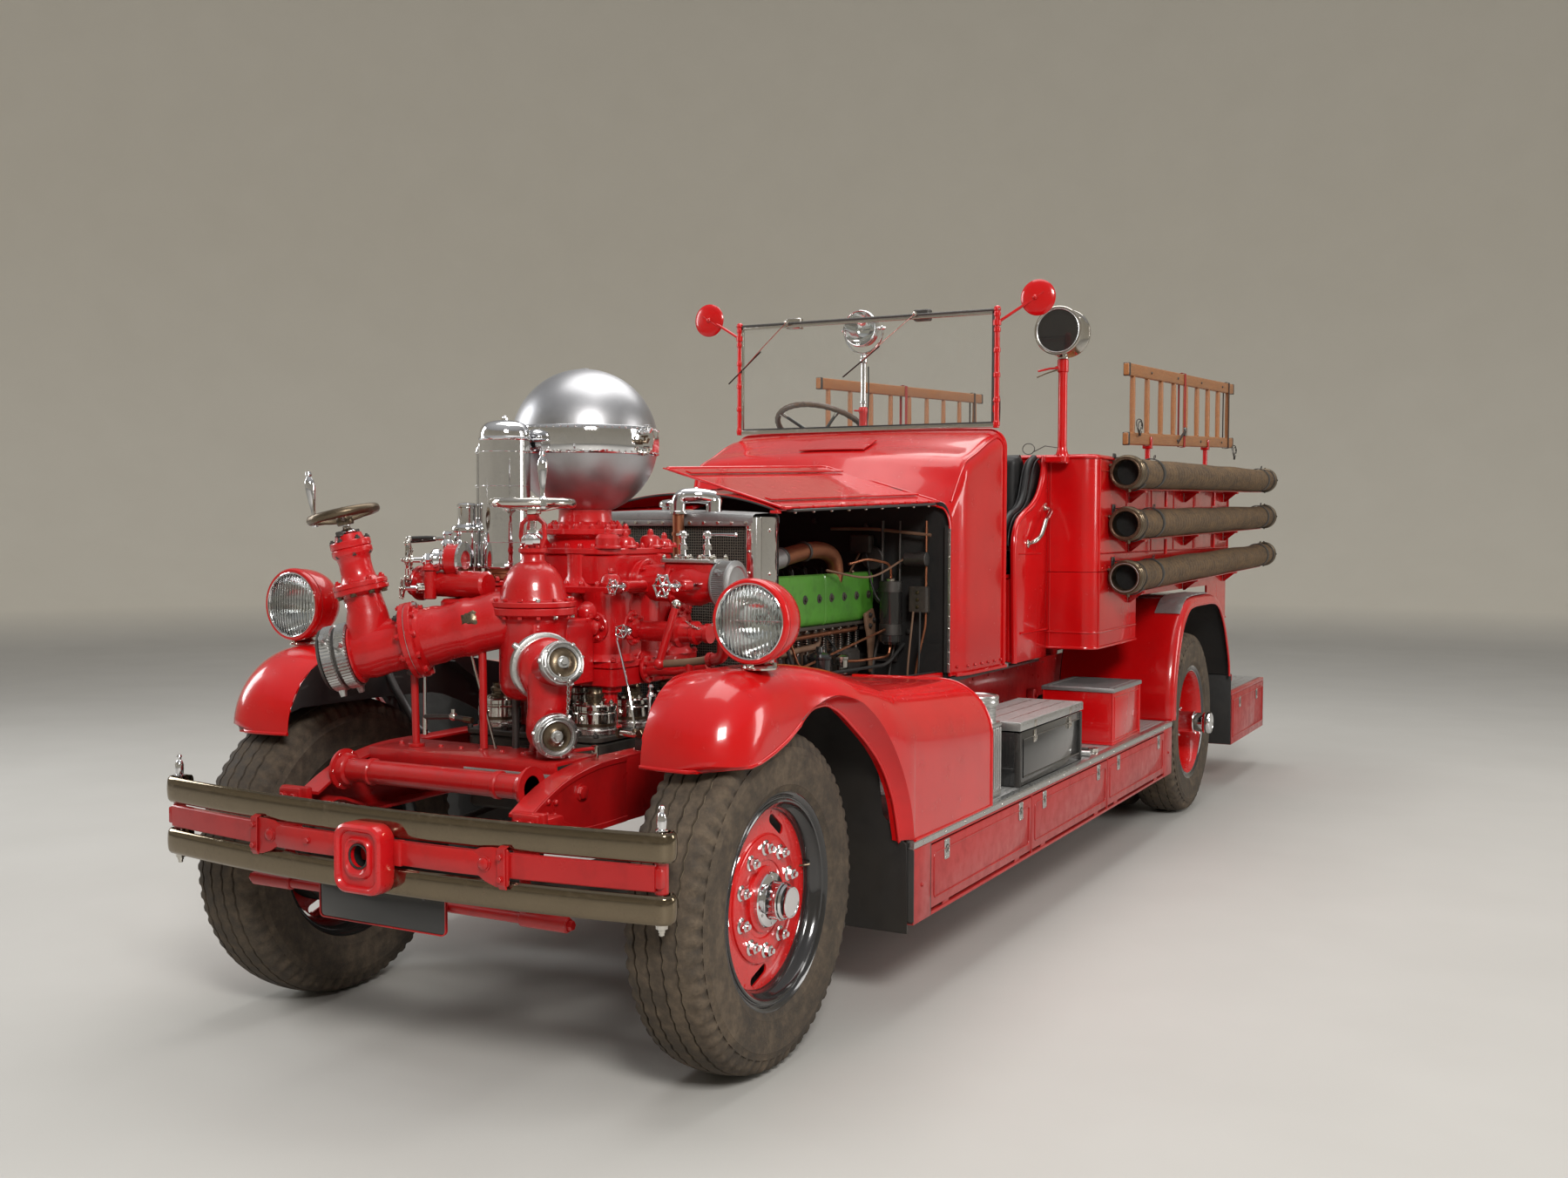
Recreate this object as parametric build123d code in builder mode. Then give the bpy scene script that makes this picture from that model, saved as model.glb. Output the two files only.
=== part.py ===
# Front-pump fire engine: a long open-cab pumper with a piston pump and a
# ball air chamber ahead of the radiator. Millimetres, +Z up, front towards -Y,
# the vehicle's left side towards +X. Stations along the vehicle are measured
# from the front axle and shifted by A.
import os
from math import sin, cos, radians, degrees, atan2, sqrt
from build123d import *

os.makedirs("parts", exist_ok=True)

# ---------------------------------------------------------------- sizes
FRONT_Y, REAR_Y = -745.0, 7140.0      # foremost and rearmost stations
A = -(FRONT_Y + REAR_Y) / 2           # Y of the front axle in the part frame
WHEELBASE = 4705.0
TYRE_R = 505.0                        # 9.00-20 tyre
TYRE_W = 256.0
RIM_R = 304.0
HUB_Z = TYRE_R
FRONT_TYRE_X = 946.0                  # outer face of the front tyre
REAR_TYRE_X = 1061.0                  # outer face of the outer rear tyre
DUAL_PITCH = 300.0
KINGPIN_X = 680.0
STEER = 26.0
RAIL_X, RAIL_W, RAIL_Z0, RAIL_Z1 = 430.0, 75.0, 700.0, 900.0
BOARD_X, BOARD_Z = 1080.0, 575.0      # running board outer edge and top
BOARD_Y0, BOARD_Y1 = 643.0, 4120.0
SKIRT_Z = 300.0
BALL_R = 247.0
C = Align.CENTER
L = Align.MIN


def block(x0, x1, y0, y1, z0, z1, mode=Mode.ADD):
    with Locations(((x0 + x1) / 2, A + (y0 + y1) / 2, (z0 + z1) / 2)):
        Box(abs(x1 - x0), abs(y1 - y0), abs(z1 - z0), mode=mode)


def bar(a, b, r, mode=Mode.ADD, r2=None):
    # round bar between two points of the part frame
    d = b - a
    with Locations(Plane(origin=a, z_dir=d)):
        if r2 is None:
            Cylinder(r, d.length, align=(C, C, L), mode=mode)
        else:
            Cone(r, r2, d.length, align=(C, C, L), mode=mode)


def rod(p, q, r, mode=Mode.ADD, r2=None):
    # round bar from p to q, stations as (x, y from the front axle, z)
    bar(Vector(p[0], A + p[1], p[2]), Vector(q[0], A + q[1], q[2]), r, mode, r2)


def ball(p, r, mode=Mode.ADD):
    with Locations((p[0], A + p[1], p[2])):
        Sphere(r, mode=mode)


def side_plane(x=0.0):
    # sketch plane seen from the left side: sketch x runs rearwards, y up
    return Plane(origin=(x, A, 0), x_dir=(0, 1, 0), z_dir=(1, 0, 0))


def cross_plane(y=0.0):
    # sketch plane across the vehicle: sketch x to the left side, y up
    return Plane(origin=(0, A + y, 0), x_dir=(1, 0, 0), z_dir=(0, -1, 0))


# ---------------------------------------------------------------- chassis
with BuildPart() as frame_rails:
    for s in (1, -1):
        block(s * (RAIL_X - RAIL_W), s * RAIL_X, -120, 6350, RAIL_Z0, RAIL_Z1)
        block(s * (RAIL_X - RAIL_W), s * (RAIL_X - 9), -110, 6360, RAIL_Z0 + 9, RAIL_Z1 - 9, Mode.SUBTRACT)
    # front horns that bow down to the bumper brackets
    with BuildSketch(side_plane(RAIL_X - RAIL_W)):
        with BuildLine():
            Polyline((-100, 700), (-100, 900), (-180, 898))
            ThreePointArc((-180, 898), (-400, 862), (-525, 795))
            Line((-525, 795), (-525, 722))
            ThreePointArc((-525, 722), (-400, 765), (-290, 700))
            Line((-290, 700), (-100, 700))
        make_face()
    extrude(amount=RAIL_W)
    with BuildSketch(side_plane(-RAIL_X)):
        with BuildLine():
            Polyline((-100, 700), (-100, 900), (-180, 898))
            ThreePointArc((-180, 898), (-400, 862), (-525, 795))
            Line((-525, 795), (-525, 722))
            ThreePointArc((-525, 722), (-400, 765), (-290, 700))
            Line((-290, 700), (-100, 700))
        make_face()
    extrude(amount=RAIL_W)
    # (station, depth low, depth high) of the cross members
    for y, z0, z1 in ((2810, 812, 880), (3300, 745, 880), (4150, 720, 880), (5300, 720, 880), (6290, 720, 880)):
        block(-354.8, 354.8, y - 30, y + 30, z0, z1)
    block(-354.8, 354.8, -140, -95, 800, 900)
    rod((-354.8, -420, 850), (354.8, -420, 850), 34)
    for s in (1, -1):
        block(s * 392, s * 492, -545, -525, 718, 806)
        # feet that carry the hose body
        for y in (3300, 4150, 5300, 6200):
            block(s * 360, s * 430, y - 40, y + 40, 900.2, 1009.8)
frame_rails.part.label = "frame_rails"
export_step(frame_rails.part, "parts/frame_rails.step")

# two bright bumper bars, bowed forward, ends turned back
with BuildPart() as bumper_bars:
    for z0, z1 in ((568, 645), (729, 808)):
        with BuildSketch(Plane(origin=(0, A, z0))):
            with BuildLine():
                ThreePointArc((-900, -608), (0, -684), (900, -608))
                ThreePointArc((900, -608), (932, -590), (940, -560))
                Line((940, -560), (930, -560))
                ThreePointArc((930, -560), (922, -583), (897, -598))
                ThreePointArc((897, -598), (0, -674), (-897, -598))
                ThreePointArc((-897, -598), (-922, -583), (-930, -560))
                Line((-930, -560), (-940, -560))
                ThreePointArc((-940, -560), (-932, -590), (-900, -608))
            make_face()
        extrude(amount=z1 - z0)
bumper_bars.part.label = "bumper_bars"
export_step(bumper_bars.part, "parts/bumper_bars.step")

# red beam between the bars, its ties to the horns, and the towing socket
with BuildPart() as bumper_beam:
    with BuildSketch(Plane(origin=(0, A, 655))):
        with BuildLine():
            ThreePointArc((-890, -607), (0, -682), (890, -607))
            Line((890, -607), (890, -590))
            ThreePointArc((890, -590), (0, -660), (-890, -590))
            Line((-890, -590), (-890, -607))
        make_face()
    extrude(amount=66)
    for s in (1, -1):
        rod((s * 876, -576, 575), (s * 876, -576, 818), 15)
        block(s * 846, s * 876, -597, -570, 660, 712)
        block(s * 400, s * 480, -640, -545.2, 660, 705)
        block(s * 400, s * 480, -560, -545.2, 660, 806)
    # square socket with rounded corners
    with BuildSketch(cross_plane(-687)):
        with Locations((0, 670)):
            RectangleRounded(176, 196, 44)
    extrude(amount=58)
    block(-70, 70, -690, -655, 657, 719)
    rod((0, -760, 678), (0, -640, 678), 32, Mode.SUBTRACT)
    rod((-560, -560, 520), (560, -560, 520), 16)
    for s in (1, -1):
        rod((s * 440, -560, 515), (s * 440, -560, 665), 14)
    # blank number plate
    block(-290, 180, -584, -577, 446, 556)
bumper_beam.part.label = "bumper_beam"
export_step(bumper_beam.part, "parts/bumper_beam.step")

# forged I-beam front axle with an eye for each king pin
with BuildPart() as front_axle:
    block(-KINGPIN_X + 20, KINGPIN_X - 20, -36, 36, 430, 524)
    for s in (1, -1):
        block(-600, 600, s * 12, s * 40, 446, 506, Mode.SUBTRACT)
        rod((s * KINGPIN_X, 0, 440), (s * KINGPIN_X, 0, 560), 42)
    for s in (1, -1):
        rod((s * KINGPIN_X, 0, 400), (s * KINGPIN_X, 0, 600), 18.05, Mode.SUBTRACT)
front_axle.part.label = "front_axle"
export_step(front_axle.part, "parts/front_axle.step")

with BuildPart() as rear_axle:
    rod((-800, WHEELBASE, HUB_Z), (800, WHEELBASE, HUB_Z), 62)
    ball((0, WHEELBASE, HUB_Z), 190)
    rod((-1080, WHEELBASE, HUB_Z), (1080, WHEELBASE, HUB_Z), 39.95)
    rod((0, WHEELBASE - 300, 535), (0, WHEELBASE - 120, 510), 60, r2=110)
    rod((0, 2760, 760), (0, WHEELBASE - 290, 535), 42)
rear_axle.part.label = "rear_axle"
export_step(rear_axle.part, "parts/rear_axle.step")

# leaf springs as curved packs with hangers up to the frame
with BuildPart() as leaf_springs:
    # station, half length, underside at the middle, rise at the ends
    for y, h, z, rise in ((0, 500, 524.2, 80), (WHEELBASE, 640, 567.2, 60)):
        for s in (1, -1):
            x0 = 362 if s > 0 else -424
            with BuildSketch(side_plane(x0)):
                with BuildLine():
                    ThreePointArc((y - h, z + rise), (y, z), (y + h, z + rise))
                    Line((y + h, z + rise), (y + h, z + rise + 26))
                    ThreePointArc((y + h, z + rise + 26), (y, z + 64), (y - h, z + rise + 26))
                    Line((y - h, z + rise + 26), (y - h, z + rise))
                make_face()
            extrude(amount=62)
    for s in (1, -1):
        # hangers: station, bottom, top
        for y, z0, z1 in ((-490, 620, 731.5), (480, 620, 699.8), (WHEELBASE - 620, 640, 699.8), (WHEELBASE + 620, 640, 699.8)):
            block(s * 370, s * 416, y - 20, y + 20, z0, z1)
leaf_springs.part.label = "leaf_springs"
export_step(leaf_springs.part, "parts/leaf_springs.step")

# steering knuckles
for name, s in (("knuckle_left", 1), ("knuckle_right", -1)):
    with BuildPart() as knuckle:
        rod((s * KINGPIN_X, 0, 402), (s * KINGPIN_X, 0, 598), 18)
        for z0, z1 in ((400, 426), (566, 600)):
            rod((s * KINGPIN_X, 0, z0), (s * KINGPIN_X, 0, z1), 40)
            block(s * KINGPIN_X, s * 752, -40, 40, z0, z1)
        block(s * 728, s * 752, -40, 40, 400, 600)
        rod((s * 730, 0, HUB_Z), (s * 742, 0, HUB_Z), 180)
        rod((s * 740, 0, HUB_Z), (s * 930, 0, HUB_Z), 29.95)
        # steering arm to the tie rod
        block(s * 656, s * 702, 20, 170, 400, 425)
        rod((s * KINGPIN_X, 170, 386), (s * KINGPIN_X, 170, 425), 12)
        block(s * 656, s * 702, 150, 194, 400, 425)
    knuckle.part.label = name
    export_step(knuckle.part, f"parts/{name}.step")

with BuildPart() as tie_rod:
    rod((-660, 170, 378), (660, 170, 378), 13)
    for s in (1, -1):
        rod((s * KINGPIN_X, 170, 362), (s * KINGPIN_X, 170, 394.5), 22)
    for s in (1, -1):
        rod((s * KINGPIN_X, 170, 384), (s * KINGPIN_X, 170, 400), 12.05, Mode.SUBTRACT)
tie_rod.part.label = "tie_rod"
export_step(tie_rod.part, "parts/tie_rod.step")

# ---------------------------------------------------------------- wheels
def hub_axis(y):
    return Axis((0, A + y, HUB_Z), (1, 0, 0))


for side, s in (("left", 1), ("right", -1)):
    # front
    with BuildPart() as tyre:
        with BuildSketch(Plane(origin=(0, A, HUB_Z), x_dir=(1, 0, 0), z_dir=(0, -1, 0))):
            with BuildLine():
                w, x_out = TYRE_W, s * FRONT_TYRE_X
                Polyline((x_out - s * 40, RIM_R - 2), (x_out - s * 12, RIM_R + 30))
                ThreePointArc((x_out - s * 12, RIM_R + 30), (x_out, RIM_R + 100), (x_out - s * 16, TYRE_R - 45))
                ThreePointArc((x_out - s * 16, TYRE_R - 45), (x_out - s * 28, TYRE_R - 20), (x_out - s * 50, TYRE_R - 6))
                ThreePointArc((x_out - s * 50, TYRE_R - 6), (x_out - s * w / 2, TYRE_R), (x_out - s * (w - 50), TYRE_R - 6))
                ThreePointArc((x_out - s * (w - 50), TYRE_R - 6), (x_out - s * (w - 28), TYRE_R - 20), (x_out - s * (w - 16), TYRE_R - 45))
                ThreePointArc((x_out - s * (w - 16), TYRE_R - 45), (x_out - s * w, RIM_R + 100), (x_out - s * (w - 12), RIM_R + 30))
                Polyline((x_out - s * (w - 12), RIM_R + 30), (x_out - s * (w - 40), RIM_R - 2), (x_out - s * 40, RIM_R - 2))
            make_face()
        revolve(axis=hub_axis(0))
    tyre.part.label = f"tyre_front_{side}"
    export_step(tyre.part, f"parts/tyre_front_{side}.step")

    with BuildPart() as wheel:
        # rim barrel with its locking ring
        rod((s * 722, 0, HUB_Z), (s * 914, 0, HUB_Z), RIM_R - 4)
        rod((s * 721, 0, HUB_Z), (s * 915, 0, HUB_Z), RIM_R - 18, Mode.SUBTRACT)
        # disc, drum, hub and cap
        rod((s * 852, 0, HUB_Z), (s * 872, 0, HUB_Z), RIM_R - 10)
        rod((s * 762, 0, HUB_Z), (s * 860, 0, HUB_Z), 200)
        rod((s * 761, 0, HUB_Z), (s * 846, 0, HUB_Z), 186, Mode.SUBTRACT)
        rod((s * 780, 0, HUB_Z), (s * 946, 0, HUB_Z), 62)
        rod((s * 946, 0, HUB_Z), (s * 972, 0, HUB_Z), 50, r2=38)
        rod((s * 779, 0, HUB_Z), (s * 936, 0, HUB_Z), 30, Mode.SUBTRACT)
        for i in range(10):
            a = radians(36 * i + 18)
            rod((s * 870, 150 * cos(a), HUB_Z + 150 * sin(a)), (s * 898, 150 * cos(a), HUB_Z + 150 * sin(a)), 15)
    wheel.part.label = f"wheel_front_{side}"
    export_step(wheel.part, f"parts/wheel_front_{side}.step")

    # rear pair on one hub
    with BuildPart() as tyres:
        for k in (0, 1):
            with BuildSketch(Plane(origin=(0, A + WHEELBASE, HUB_Z), x_dir=(1, 0, 0), z_dir=(0, -1, 0))):
                with BuildLine():
                    w, x_out = TYRE_W, s * (REAR_TYRE_X - k * DUAL_PITCH)
                    Polyline((x_out - s * 40, RIM_R - 2), (x_out - s * 12, RIM_R + 30))
                    ThreePointArc((x_out - s * 12, RIM_R + 30), (x_out, RIM_R + 100), (x_out - s * 16, TYRE_R - 45))
                    ThreePointArc((x_out - s * 16, TYRE_R - 45), (x_out - s * 28, TYRE_R - 20), (x_out - s * 50, TYRE_R - 6))
                    ThreePointArc((x_out - s * 50, TYRE_R - 6), (x_out - s * w / 2, TYRE_R), (x_out - s * (w - 50), TYRE_R - 6))
                    ThreePointArc((x_out - s * (w - 50), TYRE_R - 6), (x_out - s * (w - 28), TYRE_R - 20), (x_out - s * (w - 16), TYRE_R - 45))
                    ThreePointArc((x_out - s * (w - 16), TYRE_R - 45), (x_out - s * w, RIM_R + 100), (x_out - s * (w - 12), RIM_R + 30))
                    Polyline((x_out - s * (w - 12), RIM_R + 30), (x_out - s * (w - 40), RIM_R - 2), (x_out - s * 40, RIM_R - 2))
                make_face()
            revolve(axis=hub_axis(WHEELBASE))
    tyres.part.label = f"tyres_rear_{side}"
    export_step(tyres.part, f"parts/tyres_rear_{side}.step")

    with BuildPart() as wheels:
        for k in (0, 1):
            xo = REAR_TYRE_X - k * DUAL_PITCH
            rod((s * (xo - 224), WHEELBASE, HUB_Z), (s * (xo - 32), WHEELBASE, HUB_Z), RIM_R - 4)
            rod((s * (xo - 225), WHEELBASE, HUB_Z), (s * (xo - 31), WHEELBASE, HUB_Z), RIM_R - 18, Mode.SUBTRACT)
        rod((s * 778, WHEELBASE, HUB_Z), (s * 798, WHEELBASE, HUB_Z), RIM_R - 10)
        rod((s * 708, WHEELBASE, HUB_Z), (s * 778, WHEELBASE, HUB_Z), RIM_R - 10)
        rod((s * 560, WHEELBASE, HUB_Z), (s * 762, WHEELBASE, HUB_Z), 235, Mode.SUBTRACT)
        # dished outer disc stands out towards its rim
        rod((s * 798, WHEELBASE, HUB_Z), (s * 850, WHEELBASE, HUB_Z), RIM_R - 10)
        rod((s * 797, WHEELBASE, HUB_Z), (s * 851, WHEELBASE, HUB_Z), 262, Mode.SUBTRACT)
        rod((s * 803, WHEELBASE, HUB_Z), (s * 1100, WHEELBASE, HUB_Z), 84)
        rod((s * 762, WHEELBASE, HUB_Z), (s * 810, WHEELBASE, HUB_Z), 110)
        rod((s * 1100, WHEELBASE, HUB_Z), (s * 1160, WHEELBASE, HUB_Z), 58, r2=46)
        rod((s * 700, WHEELBASE, HUB_Z), (s * 802, WHEELBASE, HUB_Z), 70, Mode.SUBTRACT)
        rod((s * 801, WHEELBASE, HUB_Z), (s * 1090, WHEELBASE, HUB_Z), 40, Mode.SUBTRACT)
        for i in range(10):
            a = radians(36 * i + 18)
            rod((s * 796, WHEELBASE + 170 * cos(a), HUB_Z + 170 * sin(a)), (s * 830, WHEELBASE + 170 * cos(a), HUB_Z + 170 * sin(a)), 16)
    wheels.part.label = f"wheels_rear_{side}"
    export_step(wheels.part, f"parts/wheels_rear_{side}.step")

# ---------------------------------------------------------------- power and pump
with BuildPart() as engine_block:
    block(-225, 225, 1030, 1990, 720, 1420)
    block(-140, 140, 1990, 2740, 640, 925)
engine_block.part.label = "engine_block"
export_step(engine_block.part, "parts/engine_block.step")

with BuildPart() as radiator:
    block(-402, 402, 800, 980, 900.2, 1642)
    block(-372, 372, 795, 816, 960, 1596, Mode.SUBTRACT)
radiator.part.label = "radiator"
export_step(radiator.part, "parts/radiator.step")

COLUMN = (100.0, -75.0)               # front valve column
with BuildPart() as pump_body:
    block(-210, 250, 150, 680, 1075, 1410)
    block(-150, 190, 200, 640, 1410, 1575)
    # front valve column with its domed cover
    rod((*COLUMN, 1080), (*COLUMN, 1320), 102)
    rod((*COLUMN, 1320), (*COLUMN, 1346), 134)
    rod((*COLUMN, 1346), (*COLUMN, 1420), 96, r2=55)
    rod((*COLUMN, 1420), (*COLUMN, 1635), 17)
    block(20, 180, -60, 160, 1090, 1300)
    # branch with two capped outlets, one above the other
    rod((110, -85, 1162), (205, -158, 1168), 84)
    rod((196, -151, 1167), (214, -165, 1169), 104)
    ball((262, -205, 1140), 84)
    rod((262, -205, 1160), (345, -258, 1192), 54)
    rod((258, -207, 1130), (252, -214, 985), 58)
    ball((252, -214, 985), 60)
    rod((252, -214, 985), (328, -270, 979), 52)
    rod((334, -251, 1190), (362, -270, 1197), 65)
    rod((318, -262, 980), (346, -284, 978), 65)
    # left discharge manifold
    rod((200, 400, 1405), (520, 400, 1405), 62)
    rod((505, 400, 1405), (550, 400, 1405), 78)
    rod((240, 330, 1120), (470, 360, 1150), 26)
    block(-160, 160, 700, 790, 1075, 1300)
    block(-90, 90, 640, 710, 1120, 1260)
pump_body.part.label = "pump_body"
export_step(pump_body.part, "parts/pump_body.step")

# polished plunger cylinders over the crankcase
with BuildPart() as pump_cylinders:
    block(-270, 270, 30, 740, 670, 930)
    # (across, along) places of the plungers
    for x in (-190, 190):
        for y in (125, 340, 555):
            rod((x, y, 930), (x, y, 1030), 72)
            if y > 150:
                rod((x, y, 1030), (x, y, 1074.8), 30)
pump_cylinders.part.label = "pump_cylinders"
export_step(pump_cylinders.part, "parts/pump_cylinders.step")

BALL = (-30.0, 385.0, 1877.0)
with BuildPart() as air_chamber:
    ball(BALL, BALL_R)
    rod((BALL[0], BALL[1], 1575.2), (BALL[0], BALL[1], 1660), 92)
    rod((BALL[0], BALL[1], 1575.2), (BALL[0], BALL[1], 1600), 118)
air_chamber.part.label = "air_chamber"
export_step(air_chamber.part, "parts/air_chamber.step")

with BuildPart() as vacuum_chambers:
    rod((-107, 50, 1420), (-107, 50, 1455), 66)
    rod((-107, 50, 1455), (-107, 50, 1890), 83)
    rod((-107, 50, 1890), (-107, 50, 1930), 83, r2=48)
    rod((-215, -10, 1420), (-215, -10, 1590), 48)
    rod((-215, -10, 1590), (-215, -10, 1665), 29)
vacuum_chambers.part.label = "vacuum_chambers"
export_step(vacuum_chambers.part, "parts/vacuum_chambers.step")

# suction pipe to the right-hand inlet, with the gate valve tower
PIPE_0 = Vector(5, A - 124, 1300)
MOUTH = Vector(-472, A - 367, 1172)   # open end of the inlet coupling
TOWER = Vector(-412, A - 337, 1568)   # top of the gate valve tower
with BuildPart() as suction_pipe:
    d = MOUTH - PIPE_0
    ELBOW = PIPE_0 + d * 0.717        # foot of the tower
    bar(PIPE_0, PIPE_0 + d * 0.47, 88)
    bar(PIPE_0 + d * 0.45, PIPE_0 + d * 0.482, 120)
    bar(PIPE_0 + d * 0.486, PIPE_0 + d * 0.518, 120)
    bar(PIPE_0 + d * 0.47, PIPE_0 + d * 0.83, 80)
    bar(PIPE_0 + d * 0.82, MOUTH, 104)
    bar(PIPE_0 + d * 0.865, PIPE_0 + d * 1.01, 76, Mode.SUBTRACT)
    g = (TOWER - ELBOW).normalized()
    bar(ELBOW, ELBOW + g * 190, 56)
    bar(ELBOW + g * 180, ELBOW + g * 215, 84)
    bar(ELBOW + g * 210, ELBOW + g * 310, 52)
    bar(ELBOW + g * 305, ELBOW + g * 345, 62)
    bar(ELBOW + g * 340, TOWER, 44)
    bar(TOWER, TOWER + g * 30, 18)
    # seat of the bright cylinders
    block(-290, -40, -70, 125, 1360, 1419.8)
    block(-230, -40, -160, 149.8, 1255, 1362)
    rod((110, -85, 1162), (205, -158, 1168), 84.2, Mode.SUBTRACT)
    rod((*COLUMN, 1000), (*COLUMN, 1319), 102.2, Mode.SUBTRACT)
    rod((*COLUMN, 1319), (*COLUMN, 1347), 134.2, Mode.SUBTRACT)
    rod((*COLUMN, 1346), (*COLUMN, 1425), 98, Mode.SUBTRACT)
    block(19, 190, -80, 165, 1080, 1305, Mode.SUBTRACT)
suction_pipe.part.label = "suction_pipe"
export_step(suction_pipe.part, "parts/suction_pipe.step")

with BuildPart() as handwheels:
    # foot of the stem, its direction, stem length, rim radius
    for p, n, h, r in ((Vector(COLUMN[0], A + COLUMN[1], 1635.2), Vector(0, 0, 1), 28, 122), (TOWER + g * 30.2, g, 30, 100)):
        bar(p, p + n * h, 22)
        c = p + n * h
        u = n.cross(Vector(0, 1, 0)).normalized()
        v = n.cross(u)
        with Locations(Plane(origin=c, z_dir=n)):
            Torus(r, 12)
        for k in range(4):
            w = u * cos(radians(90 * k + 20)) + v * sin(radians(90 * k + 20))
            bar(c, c + w * r, 8)
handwheels.part.label = "handwheels"
export_step(handwheels.part, "parts/handwheels.step")

# ---------------------------------------------------------------- hood and cab
# hinge line of a hood side panel, left side: front and rear points
HOOD_A = (415, 985, 1660)
HOOD_B = (600, 2020, 1700)
HOOD_PANEL = 610.0                    # depth of a side panel
HOOD_LIFT = 14.6                      # slope of the stowed left panel

with BuildPart() as hood_top:
    # thin crowned sheet between the radiator and the cowl: (station, half width, edge height, crown)
    for dz, m in ((0, Mode.ADD), (-6, Mode.SUBTRACT)):
        with BuildSketch(cross_plane(984)) as front_end:
            with BuildLine():
                ThreePointArc((-382, 1653 + dz), (0, 1714 + dz), (382, 1653 + dz))
                Polyline((382, 1653 + dz), (382, 1640 + dz), (-382, 1640 + dz), (-382, 1653 + dz))
            make_face()
        with BuildSketch(cross_plane(2044)) as rear_end:
            with BuildLine():
                ThreePointArc((-568, 1693 + dz), (0, 1788 + dz), (568, 1693 + dz))
                Polyline((568, 1693 + dz), (568, 1680 + dz), (-568, 1680 + dz), (-568, 1693 + dz))
            make_face()
        loft(mode=m)
hood_top.part.label = "hood_top"
export_step(hood_top.part, "parts/hood_top.step")

# side panels: the left one lies folded up on the hood, the right one is shut
for name, s in (("hood_side_left", 1), ("hood_side_right", -1)):
    p = Vector(s * HOOD_A[0], A + HOOD_A[1], HOOD_A[2])
    q = Vector(s * HOOD_B[0], A + HOOD_B[1], HOOD_B[2])
    d = (q - p).normalized()
    flat_out = Vector(s * d.Y, -s * d.X, 0).normalized()      # level, away from the hood
    up = d.cross(flat_out) if d.cross(flat_out).Z > 0 else flat_out.cross(d)
    lean = radians(HOOD_LIFT)
    if s > 0:
        across = up * sin(lean) - flat_out * cos(lean)
        face = up * cos(lean) + flat_out * sin(lean)
    else:
        across = up * -1
        face = flat_out
    with BuildPart() as panel:
        with BuildSketch(Plane(origin=p, x_dir=d, z_dir=d.cross(across))):
            with BuildLine():
                Polyline((12, 16), ((q - p).length - 42, 16), ((q - p).length - 42, HOOD_PANEL), (12, HOOD_PANEL), (12, 16))
            make_face()
        extrude(amount=4, both=True)
        for t in (0.1, 0.45, 0.8):
            a = p + d * ((q - p).length * t)
            with Locations(Plane(origin=a, z_dir=d)):
                Cylinder(9, 110, align=(C, C, L))
            with BuildSketch(Plane(origin=a, x_dir=d, z_dir=d.cross(across))):
                with Locations((55, 10)):
                    Rectangle(110, 20)
            extrude(amount=4, both=True)
        for t in (0.1, 0.45, 0.8):
            a = p + d * ((q - p).length * t - 1)
            with Locations(Plane(origin=a, z_dir=d)):
                Cylinder(4.05, 112, align=(C, C, L), mode=Mode.SUBTRACT)
    panel.part.label = name
    export_step(panel.part, f"parts/{name}.step")

# hood sills with the hinge pins' brackets
with BuildPart() as hood_frame:
    for s in (1, -1):
        p = Vector(s * HOOD_A[0], A + HOOD_A[1], HOOD_A[2])
        q = Vector(s * HOOD_B[0], A + HOOD_B[1], HOOD_B[2])
        d = (q - p).normalized()
        ln = (q - p).length
        with Locations(Plane(origin=p - d * 0, z_dir=d)):
            Cylinder(4, ln + 22, align=(C, C, L))
        # rail under the hinge line, set in from it
        flat_in = Vector(-s * d.Y, s * d.X, 0).normalized()
        rail0 = p + flat_in * 34 + Vector(0, 0, -22)
        with BuildSketch(Plane(origin=rail0, x_dir=flat_in, z_dir=d)):
            with Locations((0, 0)):
                Rectangle(16, 16)
        extrude(amount=ln + 18)
        for t0, t1 in ((0.02, 0.09), (0.25, 0.42), (0.58, 0.77), (0.93, 0.99)):
            a = p + d * (ln * t0)
            with BuildSketch(Plane(origin=a, x_dir=flat_in, z_dir=d)):
                with BuildLine():
                    Polyline((-4, -4 * s), (-4, 4 * s), (4, 4 * s), (28, -16 * s), (28, -28 * s), (22, -28 * s), (-4, -4 * s))
                make_face()
            extrude(amount=ln * (t1 - t0))
    # lower sills along the frame
    for s in (1, -1):
        with BuildSketch(Plane(origin=(0, 0, 960))):
            with BuildLine():
                Polyline((s * 402, A + 980), (s * 430, A + 980), (s * 610, A + 2050), (s * 560, A + 2050), (s * 402, A + 1080), (s * 402, A + 980))
            make_face()
        extrude(amount=24)
        block(s * 360, s * 430, 1100, 1160, 900.2, 960)
        block(s * 360, s * 560, 1900, 1960, 900.2, 960)
hood_frame.part.label = "hood_frame"
export_step(hood_frame.part, "parts/hood_frame.step")

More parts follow.
